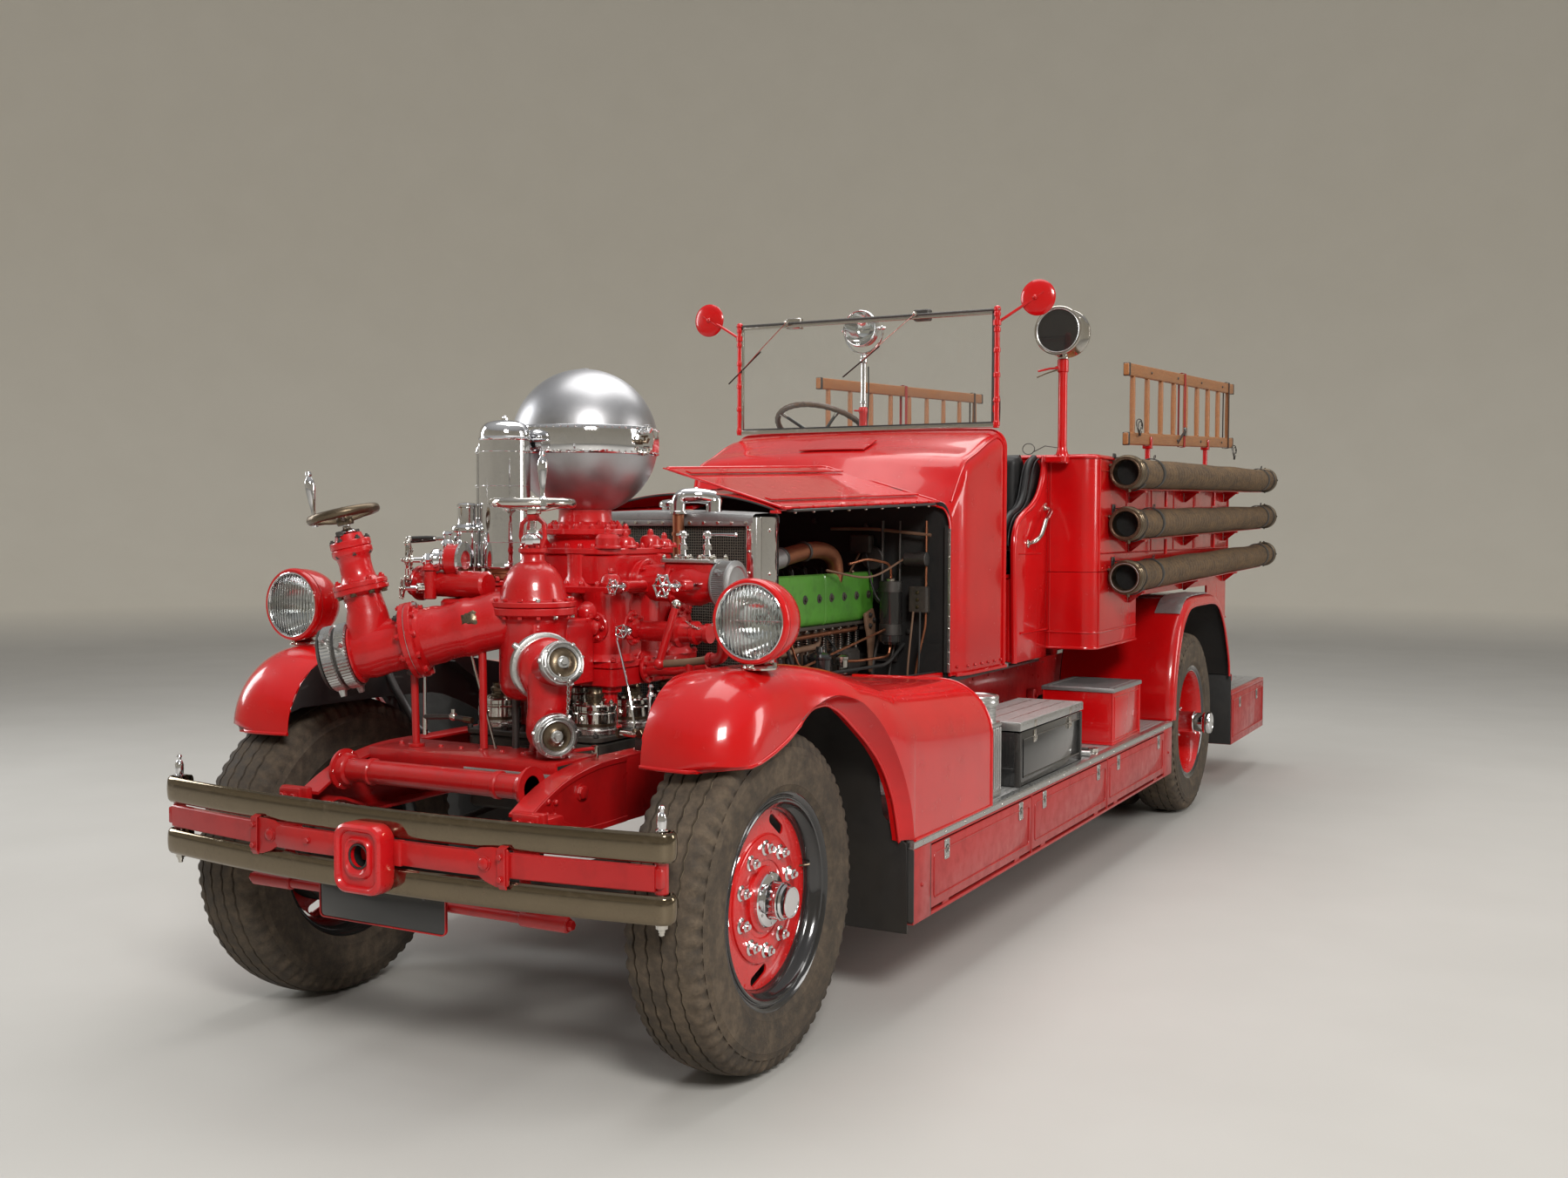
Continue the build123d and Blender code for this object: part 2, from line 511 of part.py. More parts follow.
# station, half width, foot of the corner, corner end (across, height), crown
COWL = ((2050, 640, 1600, 596, 1688, 1786), (2160, 672, 1800, 604, 1880, 1904), (2580, 690, 1950, 610, 2030, 2038))
with BuildPart() as cowl:
    for inset in (0, 12):
        low = 970 if inset == 0 else 900
        for n, (y, w, zs, xc, zc, crown) in enumerate(COWL):
            shift = (12, 0, 0.5)[n] if inset else 0
            with BuildSketch(cross_plane(y + shift)):
                with BuildLine():
                    Line((-(w - inset), low), (w - inset, low))
                    Line((w - inset, low), (w - inset, zs - inset))
                    mid = ((w * 0.68 + xc * 0.32) - inset, (zc * 0.68 + zs * 0.32) - inset)
                    ThreePointArc((w - inset, zs - inset), mid, (xc - inset, zc - inset))
                    ThreePointArc((xc - inset, zc - inset), (0, crown - inset), (-(xc - inset), zc - inset))
                    ThreePointArc((-(xc - inset), zc - inset), (-mid[0], mid[1]), (-(w - inset), zs - inset))
                    Line((-(w - inset), zs - inset), (-(w - inset), low))
                make_face()
        loft(ruled=True, mode=Mode.ADD if inset == 0 else Mode.SUBTRACT)
    block(-660, 660, 2490, 2502, 1740, 2015)
cowl.part.label = "cowl"
export_step(cowl.part, "parts/cowl.step")

# windscreen frame with the two mirrors on its posts
with BuildPart() as windscreen_frame:
    for s in (1, -1):
        block(s * 643, s * 669, 2537, 2563, 2034, 2566)
        rod((s * 655, 2550, 2500), (s * 800, 2560, 2596), 8)
        rod((s * 840, 2548, 2602), (s * 840, 2566, 2602), 80)
        rod((s * 790, 2560, 2592), (s * 840, 2560, 2602), 8)
    block(-643, 643, 2541, 2559, 2548, 2566)
    block(-643, 643, 2541, 2559, 2036, 2058)
windscreen_frame.part.label = "windscreen_frame"
export_step(windscreen_frame.part, "parts/windscreen_frame.step")

with BuildPart() as windscreen_glass:
    block(-642.8, 642.8, 2547, 2553, 2058.2, 2547.8)
windscreen_glass.part.label = "windscreen_glass"
export_step(windscreen_glass.part, "parts/windscreen_glass.step")

with BuildPart() as cab_floor:
    block(-660, 660, 2062.5, 3190, 945, 969.8)
    block(-560, 560, 2100, 3190, 900.2, 945)
    block(-200, 200, 2062, 2760, 900, 946, Mode.SUBTRACT)
cab_floor.part.label = "cab_floor"
export_step(cab_floor.part, "parts/cab_floor.step")

# steering column, drums the wheel on its top; the axis leans back
COL_X, COL_TOP, COL_LEAN = -410.0, (2950.0, 2085.0), 28.0
CSIN, CCOS = sin(radians(COL_LEAN)), cos(radians(COL_LEAN))
with BuildPart() as steering_column:
    rod((COL_X, COL_TOP[0] - 1150 * CSIN, COL_TOP[1] - 1150 * CCOS), (COL_X, COL_TOP[0] - 50 * CSIN, COL_TOP[1] - 50 * CCOS), 26)
    rod((COL_X, COL_TOP[0] - 1200 * CSIN, COL_TOP[1] - 1200 * CCOS), (COL_X, COL_TOP[0] - 1100 * CSIN, COL_TOP[1] - 1100 * CCOS), 60)
    block(COL_X - 75, COL_X + 75, 2330, 2470, 969.9, 1060)
    # foot pedals and the hand levers on the floor
    for x in (-520, -300):
        block(x - 20, x + 20, 2310, 2350, 969.9, 985)
        rod((x, 2330, 984), (x, 2300, 1120), 12)
        block(x - 35, x + 35, 2285, 2310, 1110, 1190)
    for x in (-40, 40):
        block(x - 20, x + 20, 2540, 2580, 969.9, 985)
        rod((x, 2560, 984), (x, 2640, 1420), 11)
        ball((x, 2640, 1430), 22)
steering_column.part.label = "steering_column"
export_step(steering_column.part, "parts/steering_column.step")

with BuildPart() as steering_wheel:
    top = Vector(COL_X, A + COL_TOP[0], COL_TOP[1])
    axis_dir = Vector(0, CSIN, CCOS)
    with Locations(Plane(origin=top, x_dir=(1, 0, 0), z_dir=axis_dir)):
        Torus(240, 15)
        Cylinder(38, 60, align=(C, C, C))
    ey = axis_dir.cross(Vector(1, 0, 0))
    for k in range(4):
        t = radians(45 + 90 * k)
        bar(top, top + (Vector(1, 0, 0) * cos(t) + ey * sin(t)) * 240, 9)
steering_wheel.part.label = "steering_wheel"
export_step(steering_wheel.part, "parts/steering_wheel.step")

# seat box with the swept side panels and grab handles
with BuildPart() as seat_box:
    block(-640, 640, 2720, 3190, 970, 1378)
    for s in (1, -1):
        x0 = 662 if s > 0 else -690
        with BuildSketch(side_plane(x0)):
            with BuildLine():
                Polyline((3195, 970), (2760, 970), (2735, 1500))
                ThreePointArc((2735, 1500), (2840, 1640), (3000, 1700))
                ThreePointArc((3000, 1700), (3120, 1790), (3170, 1935))
                Polyline((3170, 1935), (3195, 1935), (3195, 970))
            make_face()
        extrude(amount=28)
        block(s * 638, s * 664, 2760, 3190, 970, 1100)
        block(s * 638, s * 664, 2760, 3190, 1300, 1378)
    # lamp post and step
    rod((770, 3150, 1940), (770, 3150, 2395), 22)
    block(740, 800, 3100, 3195, 1900, 1940)
    block(688, 742, 3100, 3195, 1900, 1935)
seat_box.part.label = "seat_box"
export_step(seat_box.part, "parts/seat_box.step")

with BuildPart() as seat_cushion:
    block(-636, 636, 2715, 3075, 1378.4, 1505)
    fillet(seat_cushion.edges().filter_by(Axis.X).group_by(Axis.Z)[-1], 30)
seat_cushion.part.label = "seat_cushion"
export_step(seat_cushion.part, "parts/seat_cushion.step")

with BuildPart() as seat_back:
    block(-655, 655, 3078, 3190, 1505.5, 1945)
    for s in (1, -1):
        x0 = 578 if s > 0 else -655
        with BuildSketch(side_plane(x0)):
            with BuildLine():
                Polyline((3080, 1506), (2745, 1506))
                ThreePointArc((2745, 1506), (2850, 1655), (3000, 1720))
                ThreePointArc((3000, 1720), (3050, 1790), (3080, 1900))
                Line((3080, 1900), (3080, 1506))
            make_face()
        extrude(amount=77)
seat_back.part.label = "seat_back"
export_step(seat_back.part, "parts/seat_back.step")

# ---------------------------------------------------------------- body
with BuildPart() as hose_body:
    block(-920, 920, 3200, 6300, 1380, 1945)
    fillet(hose_body.edges().filter_by(Axis.Z), 70)
    block(-890, 890, 3230, 6270, 1400, 1950, Mode.SUBTRACT)
    block(-12, 12, 3230, 6270, 1400, 1850)
hose_body.part.label = "hose_body"
export_step(hose_body.part, "parts/hose_body.step")

# side skirts over the rear wheels, front plate and bearers on the frame feet
with BuildPart() as body_skirts:
    block(-920, 920, 3200, 6300, 1010, 1379.8)
    fillet(body_skirts.edges().filter_by(Axis.Z), 70)
    block(-890, 890, 3230, 6270, 1000, 1390, Mode.SUBTRACT)
    block(-895, 895, 6200, 6310, 1000, 1390, Mode.SUBTRACT)
    for s in (1, -1):
        # room over the rear wheels
        block(s * 850, s * 930, 3960, 5640, 1000, 1240, Mode.SUBTRACT)
        block(s * 360, s * 430, 3230.2, 6260, 1010, 1070)
        for y in (3300, 4150, 5300, 6200):
            block(s * 365, s * 425, y - 30, y + 30, 1070.2, 1300)
    for y in (3300, 4150, 5300, 6200):
        block(-889.8, 889.8, y - 30, y + 30, 1300.2, 1379.8)
body_skirts.part.label = "body_skirts"
export_step(body_skirts.part, "parts/body_skirts.step")

# front fenders: crown sheet, outer skirt, rear apron onto the running board
# cross sections of the rear part: station, crown height, shoulder start,
# shoulder middle (across, height), outer face, shoulder end height
APRON = ((95, 1184, 880, 958, 1152, 985, 1075), (640, 1085, 880, 1030, 1018, 1078, 880), (1370, 1030, 880, 1026, 968, 1080, 830))
with BuildPart() as front_fenders:
    for inner in (0, 1):
        m = Mode.ADD if inner == 0 else Mode.SUBTRACT
        t = 12 * inner
        # nose and crown over the front of the tyre
        with BuildSketch(side_plane(672 + t)):
            with BuildLine():
                ThreePointArc((-360 + t, 925), (-288 + t, 1087 - t), (-100, 1187 - t))
                Polyline((-100, 1187 - t), (100, 1187 - t), (100, 700), (-360 + t, 700), (-360 + t, 925))
            make_face()
        extrude(amount=313 - 2 * t, mode=m)
        for n, (y, zt, xs, xm, zm, xo, zs) in enumerate(APRON):
            shift = (0, 0, -12)[n] * inner
            with BuildSketch(cross_plane(y + shift)):
                with BuildLine():
                    Polyline((515 + t, 576 - 2 * t), (515 + t, zt - t), (xs, zt - t))
                    ThreePointArc((xs, zt - t), (xm - 0.7 * t, zm - 0.7 * t), (xo - t, zs))
                    Polyline((xo - t, zs), (xo - t, 576 - 2 * t), (515 + t, 576 - 2 * t))
                make_face()
        loft(ruled=True, mode=m)
    # wheel opening, cut right through below the lip
    with BuildSketch(side_plane(400)):
        with BuildLine():
            ThreePointArc((-362, 925), (-160, 955), (14, 1021))
            ThreePointArc((14, 1021), (140, 1060), (270, 1040))
            ThreePointArc((270, 1040), (505, 850), (612, 575))
            Polyline((612, 575), (612, 400), (-362, 400), (-362, 925))
        make_face()
    extrude(amount=760, mode=Mode.SUBTRACT)
    # the nose's inner wall stays above the steered tyre
    block(660, 690, -370, 40, 690, 1002, Mode.SUBTRACT)
    # inner wall behind the tyre
    with BuildSketch(side_plane(515)):
        with BuildLine():
            ThreePointArc((300, 1110), (520, 900), (612, 576))
            Line((612, 576), (626, 576))
            ThreePointArc((626, 576), (533, 906), (308, 1120))
            Line((308, 1120), (300, 1110))
        make_face()
    extrude(amount=558)
    mirror(about=Plane.YZ)
front_fenders.part.label = "front_fenders"
export_step(front_fenders.part, "parts/front_fenders.step")

# rear fenders: arch bands with a step plate on top
with BuildPart() as rear_fenders:
    for s in (1, -1):
        x0 = 460 if s > 0 else -1085
        with BuildSketch(side_plane(x0)):
            with BuildLine():
                Line((4128, 576), (4130, 700))
                ThreePointArc((4130, 700), (4290, 1080), (4600, 1215))
                Line((4600, 1215), (5020, 1215))
                ThreePointArc((5020, 1215), (5440, 1040), (5620, 700))
                Polyline((5620, 700), (5640, 260), (5618, 260), (5598, 700))
                ThreePointArc((5598, 700), (5424, 1024), (5020, 1193))
                Line((5020, 1193), (4600, 1193))
                ThreePointArc((4600, 1193), (4305, 1065), (4152, 700))
                Polyline((4152, 700), (4150, 576), (4128, 576))
            make_face()
        extrude(amount=625)
rear_fenders.part.label = "rear_fenders"
export_step(rear_fenders.part, "parts/rear_fenders.step")

# running boards, their locker shells, and the tail steps
DOORS = ((782, 1832), (1832, 2904), (2904, 3961))   # front and rear of each locker
HINGE_X, HINGE_Z = 1070.0, 309.0
with BuildPart() as running_boards:
    block(430.2, 1080, BOARD_Y0, BOARD_Y1, 547, BOARD_Z)
    block(780, 1080, BOARD_Y0, BOARD_Y1, SKIRT_Z, 547)
    for y0, y1 in DOORS:
        block(795, 1090, y0 + 12, y1 - 12, 322, 530, Mode.SUBTRACT)
        block(1060, 1090, y0 + 4, y1 - 4, 299, 541, Mode.SUBTRACT)
        for k in (0.12, 0.82):
            rod((HINGE_X, y0 + (y1 - y0) * k - 22, HINGE_Z), (HINGE_X, y0 + (y1 - y0) * k + 82, HINGE_Z), 4)
            for e in (-22, 70):
                block(1058, 1074, y0 + (y1 - y0) * k + e, y0 + (y1 - y0) * k + e + 12, 301, 313)
    # tail steps with the tail board between them
    block(600, 1080, 5645, 6700, 560, 590)
    block(780, 1080, 5645, 6700, 255, 560)
    block(795, 1064, 5660, 6685, 270, 545, Mode.SUBTRACT)
    block(0, 610, 6310, 6700, 560, 590)
    block(380, 440, 6280, 6690, 590, 699.8)
    for y in (900, 2600, 3700):
        block(430.2, 470, y - 30, y + 30, 575, 760)
    mirror(about=Plane.YZ)
running_boards.part.label = "running_boards"
export_step(running_boards.part, "parts/running_boards.step")

for side, s in (("left", 1), ("right", -1)):
    for i, (y0, y1) in enumerate(DOORS):
        with BuildPart() as door:
            block(s * 1066, s * 1080, y0 + 9, y1 - 9, 321, 536)
            for k in (0.12, 0.82):
                yk = y0 + (y1 - y0) * k
                rod((s * HINGE_X, yk - 4, HINGE_Z), (s * HINGE_X, yk + 64, HINGE_Z), 9)
                block(s * 1066, s * 1079, yk - 4, yk + 64, 309, 322)
            for k in (0.12, 0.82):
                yk = y0 + (y1 - y0) * k
                rod((s * HINGE_X, yk - 6, HINGE_Z), (s * HINGE_X, yk + 66, HINGE_Z), 4.05, Mode.SUBTRACT)
        name = f"locker_door_{side}_{i + 1}"
        door.part.label = name
        export_step(door.part, f"parts/{name}.step")

# boxes that stand on the left running board
TOOL_BOX = (757, 1045, 1775, 2600, 790)     # inner, outer, front, rear, rim height
RED_BOX = (715, 1050, 3075, 3560, 835)
TOOL_HINGE_X, TOOL_HINGE_Z = 745.0, 797.0
with BuildPart() as board_boxes:
    block(900, 1040, 1440, 1600, 575.2, 860)
    rod((965, 1520, 860), (965, 1520, 950), 72)
    rod((965, 1520, 925), (965, 1520, 965), 80)
    for x0, x1, y0, y1, z in (TOOL_BOX, RED_BOX):
        block(x0, x1, y0, y1, 575.2, z)
        block(x0 + 4, x1 - 4, y0 + 4, y1 - 4, 580, z + 5, Mode.SUBTRACT)
    # hinge pin of the tool box along its inner edge
    x, z, (y0, y1) = TOOL_HINGE_X, TOOL_HINGE_Z, TOOL_BOX[2:4]
    rod((x, y0 + 40, z), (x, y1 - 40, z), 4)
    for y in (y0 + 40, y1 - 52):
        block(x - 5, x + 6, y, y + 12, z - 22, z + 4)
        block(x - 5, x + 12.5, y, y + 12, z - 22, z - 8)
board_boxes.part.label = "board_boxes"
export_step(board_boxes.part, "parts/board_boxes.step")

with BuildPart() as tool_box_lid:
    x0, x1, y0, y1, z = TOOL_BOX
    block(x0 - 4, x1 + 5, y0 - 5, y1 + 5, 795.5, 832)
    block(x0, x1 + 1, y0 - 1, y1 + 1, 795, 826, Mode.SUBTRACT)
    for y in (y0 + 90, y1 - 150):
        rod((TOOL_HINGE_X, y, TOOL_HINGE_Z), (TOOL_HINGE_X, y + 60, TOOL_HINGE_Z), 9)
        block(TOOL_HINGE_X, x0 - 1, y, y + 60, TOOL_HINGE_Z + 2, TOOL_HINGE_Z + 9)
    for y in (y0 + 90, y1 - 150):
        rod((TOOL_HINGE_X, y - 2, TOOL_HINGE_Z), (TOOL_HINGE_X, y + 62, TOOL_HINGE_Z), 4.05, Mode.SUBTRACT)
tool_box_lid.part.label = "tool_box_lid"
export_step(tool_box_lid.part, "parts/tool_box_lid.step")

# lift-off lid with a rim around the box mouth
with BuildPart() as red_box_lid:
    x0, x1, y0, y1, z = RED_BOX
    block(x0 - 8, x1 + 8, y0 - 8, y1 + 8, z - 12, z + 8)
    block(x0 - 5, x1 + 5, y0 - 5, y1 + 5, z - 13, z + 0.3, Mode.SUBTRACT)
red_box_lid.part.label = "red_box_lid"
export_step(red_box_lid.part, "parts/red_box_lid.step")

# ---------------------------------------------------------------- lamps, hoses, ladders
with BuildPart() as headlights:
    for s in (1, -1):
        rod((s * 888, -112, 1323), (s * 888, -60, 1323), 122)
        rod((s * 888, -60, 1323), (s * 888, 50, 1323), 120, r2=55)
        rod((s * 888, -50, 1187.5), (s * 888, -50, 1240), 24)
        rod((s * 888, -50, 1188.0), (s * 888, -50, 1198), 45)
headlights.part.label = "headlights"
export_step(headlights.part, "parts/headlights.step")

# search lamp: post, turning yoke and tilting lamp
SX, SY, SZ = -78.0, 2725.0, 2534.0     # centre of the search lamp
with BuildPart() as lamp_post:
    rod((SX, SY, 1960), (SX, SY, 2395), 13)
    block(SX - 30, SX + 30, 2580.2, SY + 20, 1962, 2012)
lamp_post.part.label = "lamp_post"
export_step(lamp_post.part, "parts/lamp_post.step")

with BuildPart() as search_yoke:
    rod((SX, SY, 2395.4), (SX, SY, 2420), 16)
    block(SX - 104, SX + 104, SY - 10, SY + 10, 2408, 2420)
    for s in (1, -1):
        block(SX + s * 97, SX + s * 104, SY - 12, SY + 12, 2408, SZ + 14)
    rod((SX - 104, SY, SZ), (SX + 104, SY, SZ), 5)
search_yoke.part.label = "search_yoke"
export_step(search_yoke.part, "parts/search_yoke.step")

with BuildPart() as search_lamp:
    rod((SX, SY - 50, SZ), (SX, SY - 10, SZ), 88)
    rod((SX, SY - 10, SZ), (SX, SY + 55, SZ), 88, r2=45)
    rod((SX - 91, SY, SZ), (SX + 91, SY, SZ), 9)
    rod((SX - 95, SY, SZ), (SX + 95, SY, SZ), 5.05, Mode.SUBTRACT)
search_lamp.part.label = "search_lamp"
export_step(search_lamp.part, "parts/search_lamp.step")

with BuildPart() as drum_lamp:
    rod((770, 3150, 2395.4), (770, 3150, 2425), 26)
    rod((770, 3060, 2520), (770, 3230, 2520), 115)
drum_lamp.part.label = "drum_lamp"
export_step(drum_lamp.part, "parts/drum_lamp.step")

# hard suction hoses in trays along both sides: height at the front end
with BuildPart() as suction_hoses:
    for s in (1, -1):
        for z in (1862, 1612, 1352):
            rod((s * 1010, 3420, z), (s * 1010, 7060, z + 66), 74)
            rod((s * 1010, 3400, z), (s * 1010, 3470, z + 1), 86)
            rod((s * 1010, 7000, z + 65), (s * 1010, 7080, z + 66), 84)
            rod((s * 1010, 7080, z + 66), (s * 1010, REAR_Y, z + 67), 20)
        # bearer bars fixed to the body side
        for y in (3800, 5000, 6100):
            f = (y - 3400) / 3660 * 66
            for z in (1862, 1612, 1352):
                block(s * 920.2, s * 1010, y - 25, y + 25, z + f - 86, z + f - 60)
suction_hoses.part.label = "suction_hoses"
export_step(suction_hoses.part, "parts/suction_hoses.step")

# ladders on edge over each side of the hose body
with BuildPart() as ladder_rails:
    for s in (1, -1):
        for z0 in (2020, 2376):
            with BuildSketch(side_plane(s * 868 if s > 0 else -900)):
                with BuildLine():
                    Polyline((3850, z0), (6480, z0 + 110), (6480, z0 + 175), (3850, z0 + 65), (3850, z0))
                make_face()
            extrude(amount=32)
ladder_rails.part.label = "ladder_rails"
export_step(ladder_rails.part, "parts/ladder_rails.step")

# round rungs between the rails, and the posts under them
with BuildPart() as ladder_rungs:
    for s in (1, -1):
        for i in range(9):
            y = 3980 + 295 * i
            f = (y - 3850) / 2630 * 110
            rod((s * 884, y, 2085.8 + f), (s * 884, y, 2375.2 + f), 15)
        for y in (4300, 5700):
            f = (y - 3850) / 2630 * 110
            with BuildSketch(side_plane(s * 868 if s > 0 else -900)):
                with BuildLine():
                    Polyline((y - 20, 1945.2), (y + 20, 1945.2), (y + 20, 2020.6 + f), (y - 20, 2019 + f), (y - 20, 1945.2))
                make_face()
            extrude(amount=32)
ladder_rungs.part.label = "ladder_rungs"
export_step(ladder_rungs.part, "parts/ladder_rungs.step")
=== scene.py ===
# Looks of the front-pump fire engine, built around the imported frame.
# Metres, +Z up, front towards -Y. Helper calls take stations: y from the front axle.
import bpy, bmesh, math, random
import numpy as np
from mathutils import Vector, Matrix


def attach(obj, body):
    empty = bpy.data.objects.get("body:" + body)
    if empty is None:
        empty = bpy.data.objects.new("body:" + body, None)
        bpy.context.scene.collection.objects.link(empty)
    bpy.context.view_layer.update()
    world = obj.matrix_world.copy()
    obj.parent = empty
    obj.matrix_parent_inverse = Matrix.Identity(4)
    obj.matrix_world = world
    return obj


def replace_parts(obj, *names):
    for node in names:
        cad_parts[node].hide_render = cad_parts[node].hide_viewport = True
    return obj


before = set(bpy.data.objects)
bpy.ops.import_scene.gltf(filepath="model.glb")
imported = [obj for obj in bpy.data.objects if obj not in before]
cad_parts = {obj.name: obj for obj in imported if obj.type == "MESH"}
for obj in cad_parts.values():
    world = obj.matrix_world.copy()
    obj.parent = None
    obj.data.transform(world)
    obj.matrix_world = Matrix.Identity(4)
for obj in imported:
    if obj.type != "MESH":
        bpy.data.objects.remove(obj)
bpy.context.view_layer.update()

A = -3.1975                    # Y of the front axle
HUB = 0.505
WB = 4.705
rnd = random.Random(7)
sin, cos, pi, radians = math.sin, math.cos, math.pi, math.radians


def vec(p):
    return np.array(p, float)


def unit(v):
    v = np.array(v, float)
    return v / max(np.linalg.norm(v), 1e-12)


def basis(n):
    """Two unit vectors square to n."""
    n = unit(n)
    a = np.array([0, 0, 1.0]) if abs(n[2]) < 0.9 else np.array([1.0, 0, 0])
    u = unit(np.cross(a, n))
    return u, np.cross(n, u)


class Piece:
    """Collects mesh parts, then becomes one object that rides on a body."""

    def __init__(self):
        self.v, self.f, self.m, self.mats, self.n = [], [], [], [], 0

    def slot(self, mat):
        if mat not in self.mats:
            self.mats.append(mat)
        return self.mats.index(mat)

    def add(self, verts, faces, mat):
        verts = np.asarray(verts, float).reshape(-1, 3)
        k = self.slot(mat)
        self.v.append(verts)
        for f in faces:
            self.f.append(tuple(int(i) + self.n for i in f))
        self.m += [k] * len(faces)
        self.n += len(verts)

    # ---- surfaces
    def grid(self, pts, mat, close_u=False, close_v=False, flip=False):
        """pts[i][j] rows joined into quads."""
        pts = np.asarray(pts, float)
        nu, nv = pts.shape[:2]
        f = []
        for i in range(nu if close_u else nu - 1):
            for j in range(nv if close_v else nv - 1):
                a, b = i * nv + j, i * nv + (j + 1) % nv
                c, d = ((i + 1) % nu) * nv + (j + 1) % nv, ((i + 1) % nu) * nv + j
                f.append((a, d, c, b) if flip else (a, b, c, d))
        self.add(pts.reshape(-1, 3), f, mat)

    def skin(self, pts, t, mat, close_u=False, inner=None, flip=False):
        """A sheet of thickness t: the grid and its offset along the normals, edges joined."""
        pts = np.asarray(pts, float)
        nu, nv = pts.shape[:2]
        du = np.roll(pts, -1, 0) - np.roll(pts, 1, 0) if close_u else np.gradient(pts, axis=0)
        dv = np.gradient(pts, axis=1)
        n = np.cross(du, dv)
        n /= np.maximum(np.linalg.norm(n, axis=2, keepdims=True), 1e-12)
        if flip:
            n = -n
        back = pts - n * t
        self.grid(pts, mat, close_u, False, not flip)
        self.grid(back, inner or mat, close_u, False, flip)
        for j, fl in ((0, True), (nv - 1, False)):
            e = np.stack([pts[:, j], back[:, j]], 1)
            self.grid(e, mat, close_u, False, fl != flip)
        if not close_u:
            for i, fl in ((0, False), (nu - 1, True)):
                e = np.stack([pts[i], back[i]], 1)
                self.grid(e, mat, False, False, fl != flip)

    def lathe(self, p, axis, prof, mat, seg=40, a0=0.0, a1=2 * pi, u=None):
        """prof: (radius, height along axis) pairs; closed on itself where radius is 0."""
        p, n = vec(p), unit(axis)
        if u is None:
            u, w = basis(n)
        else:
            u = unit(u)
            w = np.cross(n, u)
        full = abs(a1 - a0 - 2 * pi) < 1e-6
        k = seg if full else seg + 1
        ang = a0 + (a1 - a0) * np.arange(k) / seg
        ring = np.cos(ang)[:, None] * u + np.sin(ang)[:, None] * w
        pr = np.asarray(prof, float)
        verts, rows = [], []
        for r, h in pr:
            if r < 1e-6:
                rows.append([len(verts)] * k)
                verts.append(p + n * h)
            else:
                rows.append(list(range(len(verts), len(verts) + k)))
                verts += list(p + n * h + ring * r)
        f = []
        for a, b in zip(rows[:-1], rows[1:]):
            for i in range(k if full else k - 1):
                j = (i + 1) % k
                q = []
                for x in (a[i], a[j], b[j], b[i]):
                    if x not in q:
                        q.append(x)
                if len(q) > 2:
                    f.append(q)
        self.add(verts, f, mat)

    def cyl(self, p, q, r, mat, seg=24, r2=None, bev=0.0, caps=True):
        p, q = vec(p), vec(q)
        h = np.linalg.norm(q - p)
        r2 = r if r2 is None else r2
        b = min(bev, h * 0.45, r * 0.45, max(r2, 1e-4) * 0.45)
        prof = []
        if caps:
            prof.append((0, 0))
        prof += ([(r - b, 0), (r, b)] if b > 0 else [(r, 0)])
        prof += ([(r2, h - b), (r2 - b, h)] if b > 0 else [(r2, h)])
        if caps:
            prof.append((0, h))
        self.lathe(p, q - p, prof, mat, seg)

    def ring(self, p, axis, r_out, r_in, h, mat, seg=32, bev=0.001):
        """Flat ring with a bore."""
        b = min(bev, h * 0.3)
        prof = [(r_in, 0), (r_out - b, 0), (r_out, b), (r_out, h - b), (r_out - b, h), (r_in, h), (r_in, 0)]
        self.lathe(p, axis, prof, mat, seg)

    def torus(self, c, n, R, r, mat, seg=48, ss=12, a0=0.0, a1=2 * pi, u=None):
        n = unit(n)
        prof = [(R + r * cos(2 * pi * i / ss), r * sin(2 * pi * i / ss)) for i in range(ss + 1)]
        self.lathe(c, n, prof, mat, seg, a0, a1, u)

    def ball(self, c, r, mat, seg=24, rings=12, axis=(0, 0, 1), squash=1.0, t0=0.0, t1=pi):
        prof = [(r * sin(t0 + (t1 - t0) * i / rings), -r * squash * cos(t0 + (t1 - t0) * i / rings)) for i in range(rings + 1)]
        prof = [(0 if abs(a) < 1e-6 else a, b) for a, b in prof]
        self.lathe(c, axis, prof, mat, seg)

    def tube(self, pts, r, mat, seg=12, caps=True, closed=False):
        """Round tube along a path; r may be a list."""
        pts = np.asarray(pts, float)
        n = len(pts)
        rr = np.full(n, r, float) if np.isscalar(r) else np.asarray(r, float)
        tan = np.gradient(pts, axis=0) if not closed else np.roll(pts, -1, 0) - np.roll(pts, 1, 0)
        tan /= np.maximum(np.linalg.norm(tan, axis=1, keepdims=True), 1e-12)
        u, _ = basis(tan[0])
        rows = []
        ang = 2 * pi * np.arange(seg) / seg
        for i in range(n):
            u = unit(u - tan[i] * np.dot(u, tan[i]))
            w = np.cross(tan[i], u)
            rows.append(pts[i] + rr[i] * (np.cos(ang)[:, None] * u + np.sin(ang)[:, None] * w))
        self.grid(np.array(rows), mat, close_u=closed, close_v=True, flip=True)
        if caps and not closed:
            for i, s in ((0, -1), (n - 1, 1)):
                self.add(np.vstack([rows[i], pts[i] + tan[i] * rr[i] * 0.0]),
                         [((j + 1) % seg, j, seg) if s < 0 else (j, (j + 1) % seg, seg) for j in range(seg)], mat)

